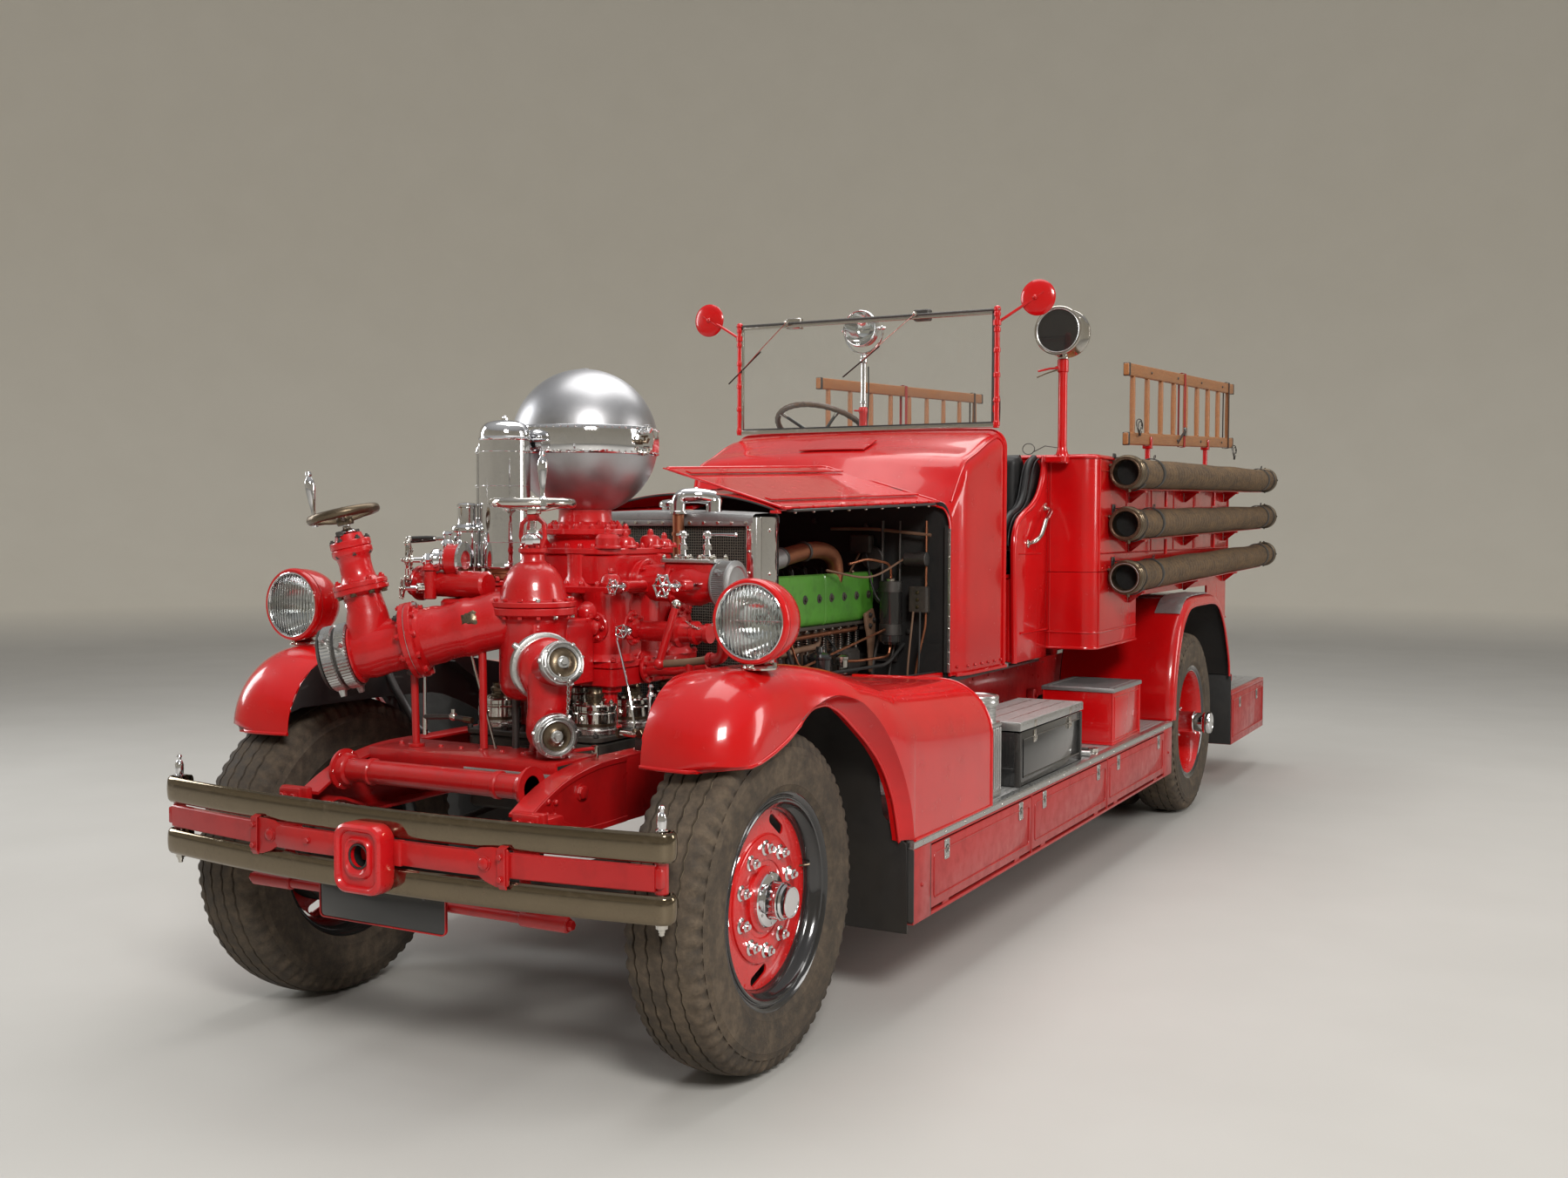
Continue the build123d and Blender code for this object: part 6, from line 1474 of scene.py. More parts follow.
def pump_block():
    p = Piece()
    M = RED_CAST
    # bottom flange, body and corner barrels
    rbox(p, -0.205, 0.245, 0.155, 0.675, 1.075, 1.135, M, 0.03)
    deck(p, -0.21, 0.25, 0.150, 0.680, 1.135, 1.158, M, 0.062, 0.0095, "stud", 0.035)
    rbox(p, -0.185, 0.222, 0.185, 0.650, 1.158, 1.375, M, 0.05, 0.01)
    for x, y, r in ((-0.125, 0.232, 0.080), (0.030, 0.222, 0.066), (0.172, 0.226, 0.076), (0.178, 0.40, 0.070), (0.178, 0.585, 0.072), (-0.14, 0.40, 0.070), (-0.14, 0.585, 0.072), (0.02, 0.60, 0.075)):
        p.lathe((x, y, 1.158), (0, 0, 1), [(r + 0.014, 0), (r + 0.010, 0.010), (r, 0.022), (r, 0.185), (r + 0.006, 0.205), (r + 0.008, 0.225)], M, 36)
    deck(p, -0.21, 0.25, 0.150, 0.680, 1.375, 1.398, M, 0.062, 0.0095, "acorn", 0.04)
    for x, y in ((-0.165, 0.195), (0.205, 0.195), (-0.165, 0.635), (0.205, 0.635)):
        p.lathe((x, y, 1.398), (0, 0, 1), [(0.040, 0), (0.040, 0.010), (0.034, 0.014), (0.030, 0.030), (0.020, 0.040), (0, 0.043)], M, 28)
        p.bolt((x, y, 1.441), (0, 0, 1), 0.010, M, kind="acorn", washer=False)
    # delivery chamber, its rounded buttresses and stepped decks
    rbox(p, -0.150, 0.190, 0.205, 0.635, 1.398, 1.500, M, 0.07, 0.008)
    for x, y, r in ((-0.085, 0.265, 0.062), (0.055, 0.255, 0.058), (0.135, 0.30, 0.052), (0.135, 0.53, 0.056), (-0.09, 0.55, 0.058)):
        p.lathe((x, y, 1.398), (0, 0, 1), [(r + 0.016, 0), (r + 0.006, 0.014), (r, 0.03), (r, 0.102)], M, 32)
    deck(p, -0.150, 0.190, 0.200, 0.640, 1.500, 1.520, M, 0.058, 0.009, "acorn", 0.06, 0.014)
    p.lathe((-0.03, 0.385, 1.520), (0, 0, 1), [(0, 0), (0.150, 0), (0.146, 0.004), (0.128, 0.018), (0.120, 0.030), (0.126, 0.040), (0.152, 0.044), (0.155, 0.047), (0.155, 0.060), (0.152, 0.063), (0, 0.063)], M, 60)
    p.bolts((-0.03, 0.385, 1.583), (0, 0, 1), 0.139, 16, 0.010, M, "acorn")
    # step castings with domed plugs on the left side
    for x, y, z0, z1, r in ((0.158, 0.245, 1.520, 1.572, 0.040), (0.160, 0.345, 1.520, 1.560, 0.034), (0.155, 0.505, 1.520, 1.565, 0.036), (0.150, 0.60, 1.520, 1.552, 0.030), (-0.118, 0.245, 1.520, 1.556, 0.034), (-0.118, 0.590, 1.520, 1.556, 0.034)):
        p.lathe((x, y, z0), (0, 0, 1), [(r * 1.15, 0), (r * 1.15, 0.006), (r, 0.010), (r, z1 - z0 - 0.018), (r * 0.80, z1 - z0 - 0.006), (r * 0.35, z1 - z0), (0, z1 - z0)], M, 28)
        p.bolt((x, y, z1 - 0.001), (0, 0, 1), 0.0105, M, 0.012, kind="acorn", washer=False)
    # front face fittings: round plug covers, ribs and a domed plug
    for x, z, R in ((-0.125, 1.255, 0.050), (0.172, 1.268, 0.050)):
        p.flange((x, 0.160, z), (0, -1, 0), R, 0.014, 6, M, 0.008, kind="stud")
        p.lathe((x, 0.146, z), (0, -1, 0), [(R * 0.55, 0), (R * 0.5, 0.010), (R * 0.3, 0.018), (0, 0.021)], M, 24)
    p.lathe((0.147, 0.150, 1.315), (0, -1, 0), [(0.036, -0.02), (0.036, 0.006), (0.032, 0.012), (0.029, 0.020), (0.021, 0.032), (0.010, 0.038), (0, 0.039)], M, 28)
    # left face: manhole covers and a drain boss
    for y, z, R in ((0.265, 1.262, 0.058), (0.560, 1.262, 0.062)):
        p.flange((0.235, y, z), (1, 0, 0), R, 0.015, 8, M, 0.008, kind="stud")
        p.lathe((0.250, y, z), (1, 0, 0), [(R * 0.55, 0), (R * 0.52, 0.006), (R * 0.3, 0.010), (0, 0.011)], M, 24)
    for y, z, R in ((0.29, 1.262, 0.058), (0.560, 1.262, 0.062)):
        p.flange((-0.200, y, z), (-1, 0, 0), R, 0.015, 8, M, 0.008, kind="stud")
    # rear gear case
    rbox(p, -0.155, 0.155, 0.685, 0.788, 1.078, 1.285, M, 0.03, 0.008)
    deck(p, -0.160, 0.160, 0.682, 0.790, 1.285, 1.300, M, 0.06, 0.008, "hex", 0.03, 0.013)
    p.bolts((0.0, 0.789, 1.18), (0, 1, 0), 0.075, 8, 0.009, M)
    # rod carrying the right-hand casting and rusty drain pipe
    p.tube([(0.235, 0.33, 1.120), (0.36, 0.345, 1.128), (0.470, 0.360, 1.150)], 0.024, M, 20)
    p.flange((0.250, 0.331, 1.121), (1, 0.1, 0.1), 0.046, 0.012, 5, M, 0.007, kind="hex")
    p.lathe((0.380, 0.315, 1.250), (1, -0.02, 0), [(0, 0), (0.040, 0), (0.050, 0.006), (0.050, 0.020), (0.036, 0.026), (0.032, 0.060), (0.038, 0.066), (0.038, 0.080), (0.028, 0.086), (0.026, 0.11), (0.032, 0.115), (0.032, 0.130), (0, 0.132)], M, 30)
    p.cyl((0.235, 0.315, 1.250), (0.385, 0.315, 1.250), 0.034, M, 28)
    # slanting red rod and the bare pipe with its elbow
    p.tube([(0.486, 0.14, 1.346), (0.432, 0.13, 1.168)], 0.0125, M, 14)
    p.ball((0.432, 0.13, 1.163), 0.019, M, 16, 10)
    p.ball((0.487, 0.14, 1.350), 0.016, CHROME_OLD, 16, 10)
    p.tube([(0.435, 0.135, 1.163), (0.53, 0.14, 1.172), (0.628, 0.15, 1.186)], 0.0125, BROWN_IRON, 14)
    p.tube(bend([(0.595, 0.148, 1.180), (0.650, 0.152, 1.189), (0.650, 0.152, 1.262)], 0.026), 0.0185, M, 18)
    p.ring((0.600, 0.148, 1.181), (1, 0.02, 0.15), 0.0235, 0.010, 0.014, M, 20)
    p.ring((0.650, 0.152, 1.246), (0, 0, 1), 0.0235, 0.010, 0.014, M, 20)
    p.cyl((0.535, 0.143, 1.173), (0.535, 0.143, 1.100), 0.014, M, 16)
    p.ring((0.535, 0.143, 1.120), (0, 0, 1), 0.024, 0.010, 0.02, M, 20, 0.004)
    p.tube([(0.650, 0.152, 1.262), (0.648, 0.20, 1.30), (0.60, 0.30, 1.34), (0.54, 0.36, 1.36)], 0.010, BROWN_IRON, 10)
    # feet on the crankcase
    for x in (-0.15, 0.19):
        for y in (0.21, 0.62):
            p.cyl((x, y, 0.93), (x, y, 1.078), 0.026, M, 20, bev=0.004)
            p.ring((x, y, 1.055), (0, 0, 1), 0.040, 0.02, 0.02, M, 24, 0.003)
            p.ring((x, y, 0.93), (0, 0, 1), 0.040, 0.02, 0.018, M, 24, 0.003)
    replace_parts(p.make("pump_castings"), "pump_body")


pump_block()


def front_column():
    p = Piece()
    M = RED_CAST
    c = vec((0.100, -0.075, 0))
    p.lathe(c + (0, 0, 1.055), (0, 0, 1), [(0, 0), (0.060, 0), (0.085, 0.010), (0.100, 0.030), (0.104, 0.050), (0.102, 0.08), (0.102, 0.20), (0.104, 0.235), (0.112, 0.252), (0.124, 0.262), (0.1315, 0.264), (0.134, 0.267), (0.134, 0.284), (0.1315, 0.2868), (0, 0.2868)], M, 64)
    p.lathe(c + (0, 0, 1.3438), (0, 0, 1), [(0.100, -0.003), (0.1315, 0.0), (0.134, 0.0026), (0.134, 0.0145), (0.1315, 0.017), (0.116, 0.018), (0.1065, 0.022), (0.103, 0.034), (0.100, 0.050), (0.0935, 0.074), (0.0830, 0.098), (0.0680, 0.119),
                                             (0.0500, 0.133), (0.0400, 0.138), (0.0360, 0.146), (0.0350, 0.160), (0.0400, 0.166), (0.0450, 0.168), (0.0450, 0.180), (0, 0.182)], M, 64)
    for k in range(14):
        t = 2 * pi * k / 14 + 0.1
        d = vec((cos(t), sin(t), 0))
        p.obox(c + d * 0.1205 + (0, 0, 1.3668), d, (-d[1], d[0], 0), (0.013, 0.013, 0.010), STEEL if k % 5 == 2 else M, 0.0015)
        p.obox(c + d * 0.1215 + (0, 0, 1.3135), d, (-d[1], d[0], 0), (0.013, 0.013, 0.011), STEEL if k % 4 == 1 else M, 0.0015)
    # lifting lug, raised vertical seams
    for a in (0.6, 2.2, 3.7, 5.4):
        d = vec((cos(a), sin(a), 0))
        p.obox(c + d * 0.100 + (0, 0, 1.20), d, (-d[1], d[0], 0), (0.010, 0.014, 0.20), M, 0.004)
    # gland: red neck collar, bright faceted nut, yoke and screw
    g = c + (0, 0, 1.524)
    p.bolts(g + (0, 0, 0.001), (0, 0, 1), 0.034, 6, 0.0065, M, "hex")
    p.lathe(g, (0, 0, 1), [(0, 0), (0.022, 0), (0.024, 0.005), (0.034, 0.010), (0.038, 0.018), (0.038, 0.030), (0.031, 0.040), (0.022, 0.046), (0.018, 0.048), (0.018, 0.056), (0, 0.057)], CHROME, 10)
    for s in (1, -1):
        p.tube([c + (s * 0.030, 0.0, 1.520), c + (s * 0.046, 0.0, 1.560), c + (s * 0.042, 0.0, 1.600), c + (s * 0.018, 0.0, 1.618)], 0.0075, M, 12)
    p.cyl(c + (0, 0, 1.608), c + (0, 0, 1.630), 0.020, M, 24, bev=0.003)
    p.cyl(c + (0, 0, 1.575), c + (0, 0, 1.655), 0.0095, STEEL, 16)
    for z in np.arange(1.580, 1.606, 0.004):
        p.torus(c + (0, 0, z), (0, 0, 1), 0.0095, 0.0011, STEEL, 20, 6)
    # block behind the column with its ribs
    rbox(p, 0.022, 0.178, -0.058, 0.158, 1.09, 1.30, M, 0.03, 0.006)
    deck(p, 0.020, 0.180, 0.120, 0.160, 1.296, 1.312, M, 0.05, 0.007, "hex", 0.012, 0.010)
    # red foot under the lower elbow and tie rods to the frame
    p.cyl((0.253, -0.214, 0.90), (0.253, -0.214, 0.945), 0.030, FRAME_RED, 24, bev=0.004)
    p.cyl((0.185, -0.190, 0.905), (0.195, -0.175, 1.11), 0.0125, FRAME_RED, 16)
    p.ring((0.185, -0.190, 0.905), (0, 0, 1), 0.026, 0.01, 0.010, FRAME_RED, 20)
    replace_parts(p.make("pump_column"), "pump_body")


front_column()


def siamese():
    p = Piece()
    M = RED_CAST
    a, b = vec((0.110, -0.085, 1.162)), vec((0.205, -0.158, 1.168))
    d = unit(b - a)
    p.cyl(a, b, 0.084, M, 56)
    # big bright union ring with three lugs
    p.lathe(vec((0.193, -0.149, 1.1665)), d, [(0.080, 0), (0.101, 0), (0.104, 0.003), (0.104, 0.0065), (0.1015, 0.0085), (0.1015, 0.0125), (0.104, 0.0145), (0.104, 0.020), (0.101, 0.023), (0.092, 0.025), (0.084, 0.025)], ALU, 72)
    u, w = basis(d)
    for t in (0.4, 2.5, 4.6):
        e = u * cos(t) + w * sin(t)
        q = vec((0.193, -0.149, 1.1665)) + d * 0.0115
        p.tube([q + e * 0.100, q + e * 0.118], [0.013, 0.0085], ALU, 12)
    # branch: rounded belly that splits into two outlets
    secs = []
    for t, (cx, cy, cz), r1, r2 in ((0, (0.205, -0.158, 1.168), 0.086, 0.086), (1, (0.222, -0.171, 1.167), 0.090, 0.092), (2, (0.243, -0.188, 1.158), 0.084, 0.102), (3, (0.262, -0.203, 1.150), 0.073, 0.094), (4, (0.280, -0.216, 1.150), 0.056, 0.072), (5, (0.293, -0.226, 1.150), 0.030, 0.046), (6, (0.298, -0.230, 1.150), 0.004, 0.01)):
        secs.append([(vec((cx, cy, cz)) + u * r1 * cos(q) * 1.0 + vec((0, 0, 1)) * r2 * sin(q)) for q in np.linspace(0, 2 * pi, 41)[:-1]])
    hx = unit(np.cross(d, (0, 0, 1)))
    secs = []
    for c_, r1, r2 in (((0.205, -0.158, 1.168), 0.085, 0.085), ((0.222, -0.171, 1.166), 0.090, 0.093), ((0.243, -0.188, 1.156), 0.084, 0.102), ((0.262, -0.203, 1.150), 0.073, 0.094), ((0.280, -0.216, 1.150), 0.056, 0.072), ((0.293, -0.226, 1.150), 0.030, 0.046), ((0.298, -0.230, 1.150), 0.004, 0.01)):
        secs.append([vec(c_) + hx * r1 * cos(q) + vec((0, 0, 1)) * r2 * sin(q) for q in np.linspace(0, 2 * pi, 41)[:-1]])
    loft(p, secs, M, False, True)
    # upper outlet
    o0, o1 = vec((0.262, -0.205, 1.165)), vec((0.345, -0.258, 1.192))
    e = unit(o1 - o0)
    p.lathe(o0, e, [(0.062, 0), (0.060, 0.030), (0.056, 0.055), (0.054, 0.075), (0.054, 0.090), (0.060, 0.094), (0.060, 0.104)], M, 44)
    c1 = vec((0.345, -0.258, 1.1935))
    cap(p, c1 - e * 0.003, e, 0.0655, ALU, BRASS_DK)
    # neck down to the lower elbow
    neck = spline([(0.250, -0.196, 1.150), (0.256, -0.204, 1.09), (0.254, -0.208, 1.04), (0.250, -0.213, 1.005), (0.256, -0.219, 0.985), (0.276, -0.233, 0.979), (0.300, -0.250, 0.979), (0.328, -0.270, 0.979)], 5)
    n = len(neck)
    rr = [float(np.interp(i / (n - 1), [0, 0.25, 0.5, 0.68, 0.8, 0.9, 1], [0.070, 0.062, 0.057, 0.058, 0.058, 0.054, 0.053])) for i in range(n)]
    p.tube(neck, rr, M, 40)
    f = unit(vec((0.328, -0.270, 0.979)) - vec((0.252, -0.214, 0.985)))
    p.ring(vec((0.328, -0.270, 0.979)) - f * 0.026, f, 0.060, 0.05, 0.010, M, 40)
    c2 = vec((0.331, -0.272, 0.979))
    cap(p, c2, f, 0.0655, ALU, BRASS_DK)
    p.ball((0.252, -0.214, 0.983), 0.0595, M, 32, 16)
    # caps' chains
    for s0, s1 in (((0.374, -0.268, 1.150), (0.366, -0.262, 1.045)), ((0.366, -0.262, 1.045), (0.300, -0.215, 1.020))):
        q = [vec(s0) + (vec(s1) - vec(s0)) * t + vec((0, 0, -0.035 * sin(pi * t))) for t in np.linspace(0, 1, 12)]
        p.chain(q, STEEL, 0.015, 0.0017)
    q = [vec((0.350, -0.283, 1.165)) + vec((0.022 * t, 0.006 * t, -0.015 * t)) + vec((0, 0, -0.01 * sin(pi * t))) for t in np.linspace(0, 1, 8)]
    p.chain(q, STEEL, 0.012, 0.0015)
    q = [vec((0.355, -0.283, 0.955)) + vec((-0.020 * t, 0.05 * t, 0.065 * t)) + vec((0, 0, -0.02 * sin(pi * t))) for t in np.linspace(0, 1, 9)]
    p.chain(q, STEEL, 0.012, 0.0015)
    p.torus((0.300, -0.215, 1.022), (1, 0, 0), 0.010, 0.002, STEEL, 16, 6)
    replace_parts(p.make("twin_outlet", slot="red_paint"), "pump_body")


siamese()


def manifold():
    p = Piece()
    M = RED_CAST
    c0, c1 = vec((0.180, 0.400, 1.405)), vec((0.520, 0.400, 1.405))
    p.lathe(c0, (1, 0, 0), [(0.074, 0), (0.074, 0.012), (0.064, 0.020), (0.062, 0.045), (0.062, 0.15), (0.065, 0.18), (0.072, 0.200), (0.072, 0.240), (0.064, 0.262), (0.060, 0.275), (0.060, 0.318)], M, 52)
    p.flange((0.205, 0.40, 1.405), (1, 0, 0), 0.080, 0.016, 8, M, 0.009, kind="stud")
    p.flange((0.322, 0.40, 1.405), (1, 0, 0), 0.076, 0.015, 8, M, 0.008, kind="stud")
    # grey knurled coupling and cap
    k = 72
    prof_r = []
    for i, h in enumerate(np.linspace(0, 0.050, 2)):
        prof_r.append([(0.498 + h, 0.400 + (0.0765 if j % 2 else 0.0735) * cos(2 * pi * j / (2 * k)), 1.405 + (0.0765 if j % 2 else 0.0735) * sin(2 * pi * j / (2 * k))) for j in range(2 * k)])
    loft(p, prof_r, GALV)
    p.lathe((0.492, 0.400, 1.405), (1, 0, 0), [(0.062, 0), (0.076, 0.001), (0.078, 0.004), (0.078, 0.008), (0.074, 0.010)], GALV, 52)
    p.lathe((0.546, 0.400, 1.405), (1, 0, 0), [(0.074, 0), (0.078, 0.001), (0.078, 0.008), (0.072, 0.012), (0.060, 0.014), (0.056, 0.010), (0.040, 0.009), (0.022, 0.012), (0, 0.013)], GALV, 52)
    for t in (0.5, 2.6, 4.7):
        p.tube([(0.523, 0.40 + 0.072 * cos(t), 1.405 + 0.072 * sin(t)), (0.523, 0.40 + 0.089 * cos(t), 1.405 + 0.089 * sin(t))], [0.011, 0.008], GALV, 12)
    p.chain([vec((0.548, 0.36, 1.345)) + (vec((-0.10, -0.10, -0.055)) * t) + vec((0, 0, -0.05 * sin(pi * t))) for t in np.linspace(0, 1, 12)], STEEL, 0.012, 0.0015)
    # valve chest with a bright bolted plate and two T-handle valves
    rbox(p, 0.300, 0.492, 0.352, 0.448, 1.405, 1.474, M, 0.02, 0.005)
    rbox(p, 0.292, 0.500, 0.342, 0.458, 1.474, 1.486, ALU, 0.02, 0.002)
    for x in (0.306, 0.352, 0.397, 0.442, 0.487):
        for y in (0.355, 0.445):
            p.bolt((x, y, 1.486), (0, 0, 1), 0.0085, CHROME_OLD, kind="stud")
    for x, hx_ in ((0.351, 0.0), (0.444, 1.0)):
        q = vec((x, 0.400, 1.486))
        p.lathe(q, (0, 0, 1), [(0, 0), (0.019, 0), (0.019, 0.010), (0.013, 0.014), (0.010, 0.030), (0.014, 0.034), (0.014, 0.048), (0.009, 0.052), (0.0075, 0.064), (0.0130, 0.068), (0.0155, 0.078), (0.013, 0.088), (0.006, 0.092), (0, 0.093)], CHROME, 20)
        p.bolt(q + (0, 0, 0.030), (0, 0, 1), 0.0155, CHROME, 0.012, washer=False)
        if hx_:
            p.tube([q + (0, 0, 0.080), q + (0.05, 0.0, 0.081), q + (0.105, 0.0, 0.080)], [0.0045, 0.004, 0.0055], CHROME, 10)
            p.ball(q + (0.107, 0, 0.080), 0.007, CHROME, 12, 8)
        else:
            p.tube([q + (-0.004, -0.03, 0.080), q + (0, 0.03, 0.080)], 0.0045, CHROME, 10)
    # chest leading left across the upper body
    p.cyl((0.120, 0.400, 1.405), (0.215, 0.400, 1.405), 0.072, M, 44)
    # chrome star valves and the small tap with its long rod
    starwheel(p, (0.429, 0.150, 1.405), (-0.25, -1, 0.05), 0.034, CHROME)
    p.tube([(0.431, 0.158, 1.405), (0.437, 0.19, 1.404), (0.452, 0.26, 1.404), (0.456, 0.345, 1.405)], 0.008, CHROME, 12)
    p.bolt((0.441, 0.205, 1.404), (0.1, 1, 0), 0.015, CHROME, 0.016)
    p.cyl((0.447, 0.235, 1.404), (0.453, 0.275, 1.404), 0.019, M, 20, bev=0.003)
    starwheel(p, (0.276, 0.100, 1.401), (-0.25, -1, 0.05), 0.022, CHROME)
    p.tube([(0.277, 0.106, 1.401), (0.280, 0.14, 1.401), (0.284, 0.19, 1.401)], 0.0065, CHROME, 12)
    p.bolt((0.280, 0.140, 1.401), (0.05, 1, 0), 0.012, CHROME, 0.014)
    p.cyl((0.281, 0.158, 1.401), (0.26, 0.30, 1.40), 0.018, M, 20, bev=0.003)
    starwheel(p, (0.309, 0.100, 1.262), (0.2, -1, 0.1), 0.019, CHROME, 5)
    p.tube([(0.308, 0.106, 1.262), (0.304, 0.14, 1.262), (0.270, 0.19, 1.262)], 0.007, CHROME, 12)
    p.bolt((0.304, 0.138, 1.262), (-0.1, 1, 0), 0.013, CHROME, 0.015)
    p.tube([(0.300, 0.128, 1.257), (0.286, 0.112, 1.250), (0.290, 0.105, 1.232), (0.33, 0.075, 1.17), (0.372, 0.05, 1.08), (0.402, 0.035, 0.985), (0.405, 0.033, 0.962)], 0.0042, CHROME, 8)
    # link gear at the lower right: clevis, lever, brass pivots
    p.ball((0.405, 0.033, 0.960), 0.0105, BRASS_DK, 14, 8)
    p.tube([(0.360, 0.02, 0.955), (0.405, 0.03, 0.952), (0.455, 0.045, 0.968)], 0.0095, CHROME_OLD, 12)
    p.tube([(0.453, 0.045, 0.950), (0.455, 0.045, 1.07)], 0.0080, CHROME, 12)
    p.lathe((0.455, 0.045, 1.062), (0, 0, 1), [(0, 0), (0.013, 0), (0.014, 0.01), (0.008, 0.02), (0.007, 0.034), (0.010, 0.038), (0.006, 0.046), (0, 0.047)], CHROME, 16)
    p.bolt((0.36, 0.02, 0.955), (-1, 0, 0), 0.014, BRASS_DK, 0.010)
    p.bolt((0.430, 0.030, 0.958), (0, -1, 0), 0.013, BRASS_DK, 0.012)
    p.obox((0.432, 0.035, 0.927), (1, 0.2, 0), (0, 0, 1), (0.050, 0.045, 0.010), DARK_STEEL, 0.003)
    p.obox((0.398, -0.17, 0.918), (1, 0, 0), (0, 0, 1), (0.024, 0.052, 0.008), CHROME_OLD, 0.003)
    p.tube([(0.395, -0.17, 0.935), (0.330, -0.20, 0.925), (0.295, -0.215, 0.912)], 0.0055, FRAME_RED, 8)
    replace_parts(p.make("outlet_manifold"), "pump_body")


manifold()


# ---- suction pipe, tower, seat of the primers
P0, MOUTH = vec((0.005, -0.124, 1.300)), vec((-0.472, -0.367, 1.172))
SV = MOUTH - P0
SL = np.linalg.norm(SV)
SD = SV / SL
ELBOW = P0 + SV * 0.717
TOWER = vec((-0.412, -0.337, 1.568))
TG = unit(TOWER - ELBOW)


def suction():
    p = Piece()
    M = RED_CAST
    L = SL
    p.lathe(P0, SD, [(0.0, -0.060), (0.055, -0.055), (0.082, -0.035), (0.090, -0.010), (0.088, 0.02), (0.087, L * 0.12), (0.092, L * 0.15), (0.093, L * 0.19), (0.087, L * 0.22), (0.085, L * 0.30), (0.090, L * 0.34), (0.0905, L * 0.42), (0.102, L * 0.442), (0.117, L * 0.449), (0.1195, L * 0.454),
                     (0.1195, L * 0.478), (0.117, L * 0.483)], M, 64)
    p.lathe(P0, SD, [(0.115, L * 0.4825), (0.1165, L * 0.4825), (0.1165, L * 0.4865), (0.115, L * 0.4865)], ALU, 64)
    p.lathe(P0, SD, [(0.110, L * 0.4868), (0.117, L * 0.487), (0.1195, L * 0.490), (0.1195, L * 0.514), (0.117, L * 0.518), (0.100, L * 0.524), (0.088, L * 0.545), (0.083, L * 0.58), (0.082, L * 0.64), (0.086, L * 0.70), (0.087, L * 0.74), (0.083, L * 0.79), (0.082, L * 0.815)], M, 64)
    u, w = basis(SD)
    for i in range(10):
        t = 2 * pi * i / 10 + 0.2
        e = u * cos(t) + w * sin(t)
        q = P0 + SD * L * 0.452 + e * 0.1065
        p.bolt(q, -SD, 0.0105, STEEL if i in (2, 6) else M, 0.011, kind="hex")
        q = P0 + SD * L * 0.516 + e * 0.1065
        p.bolt(q, SD, 0.0105, DARK_STEEL if i in (1, 5, 8) else M, 0.011, kind="stud")
    # bare patch where the coat has gone
    e = unit(vec((0.35, -1, 0.35)) - SD * np.dot(vec((0.35, -1, 0.35)), SD))
    f = np.cross(SD, e)
    patch = []
    for i, a in enumerate(np.linspace(-0.26, 0.22, 7)):
        row = []
        for j, h in enumerate(np.linspace(-0.027, 0.027, 7)):
            wob = 1.0 + 0.16 * sin(3 * i + 2 * j)
            row.append(P0 + SD * (L * 0.135 + h * wob) + (e * cos(a * wob) + f * sin(a * wob)) * (0.0895 + (0.003 if 0 < i < 6 and 0 < j < 6 else -0.002)))
        patch.append(row)
    p.grid(np.array(patch), BRASS_DK)
    # coupling: bright rings with lugs, open mouth
    k0 = L * 0.815
    p.lathe(P0, SD, [(0.080, k0 - 0.004), (0.094, k0), (0.094, k0 + 0.006), (0.090, k0 + 0.009)], M, 56)
    for h0, h1, n in ((k0 + 0.008, k0 + 0.046, 60), (k0 + 0.054, k0 + 0.092, 60)):
        rows = []
        for h, dr in ((h0, -0.006), (h0 + 0.004, 0.0), (h1 - 0.004, 0.0), (h1, -0.006)):
            rows.append([P0 + SD * h + (u * cos(2 * pi * j / (2 * n)) + w * sin(2 * pi * j / (2 * n))) * ((0.1035 if j % 2 else 0.1005) + dr) for j in range(2 * n)])
        loft(p, rows, ALU)
        for t in (0.35, 2.45, 4.55):
            e2 = u * cos(t + (0.3 if h0 > k0 + 0.03 else 0)) + w * sin(t + (0.3 if h0 > k0 + 0.03 else 0))
            hm = (h0 + h1) / 2
            p.tube([P0 + SD * hm + e2 * 0.098, P0 + SD * hm + e2 * 0.122], [0.015, 0.0095], ALU, 14)
    p.lathe(P0, SD, [(0.094, k0 + 0.044), (0.0955, k0 + 0.046), (0.0955, k0 + 0.054), (0.094, k0 + 0.056)], DARK_STEEL, 56)
    p.lathe(P0, SD, [(0.097, L - 0.008), (0.0975, L - 0.001), (0.094, L + 0.001), (0.080, L + 0.001), (0.0765, L - 0.002), (0.076, L * 0.87), (0, L * 0.868)], DARK_STEEL, 56)
    p.lathe(P0, SD, [(0.0775, L - 0.004), (0.0762, L - 0.008), (0.0762, L - 0.022)], BRASS_DK, 56)
    # thin bright lever by the coupling
    q = P0 + SD * (k0 + 0.004)
    p.tube([q + vec((0.012, -0.03, 0.092)), q + vec((0.000, -0.035, 0.125)), q + vec((-0.022, -0.036, 0.168))], [0.006, 0.004, 0.006], CHROME, 10)
    p.ball(q + vec((-0.022, -0.036, 0.172)), 0.008, CHROME, 12, 8)
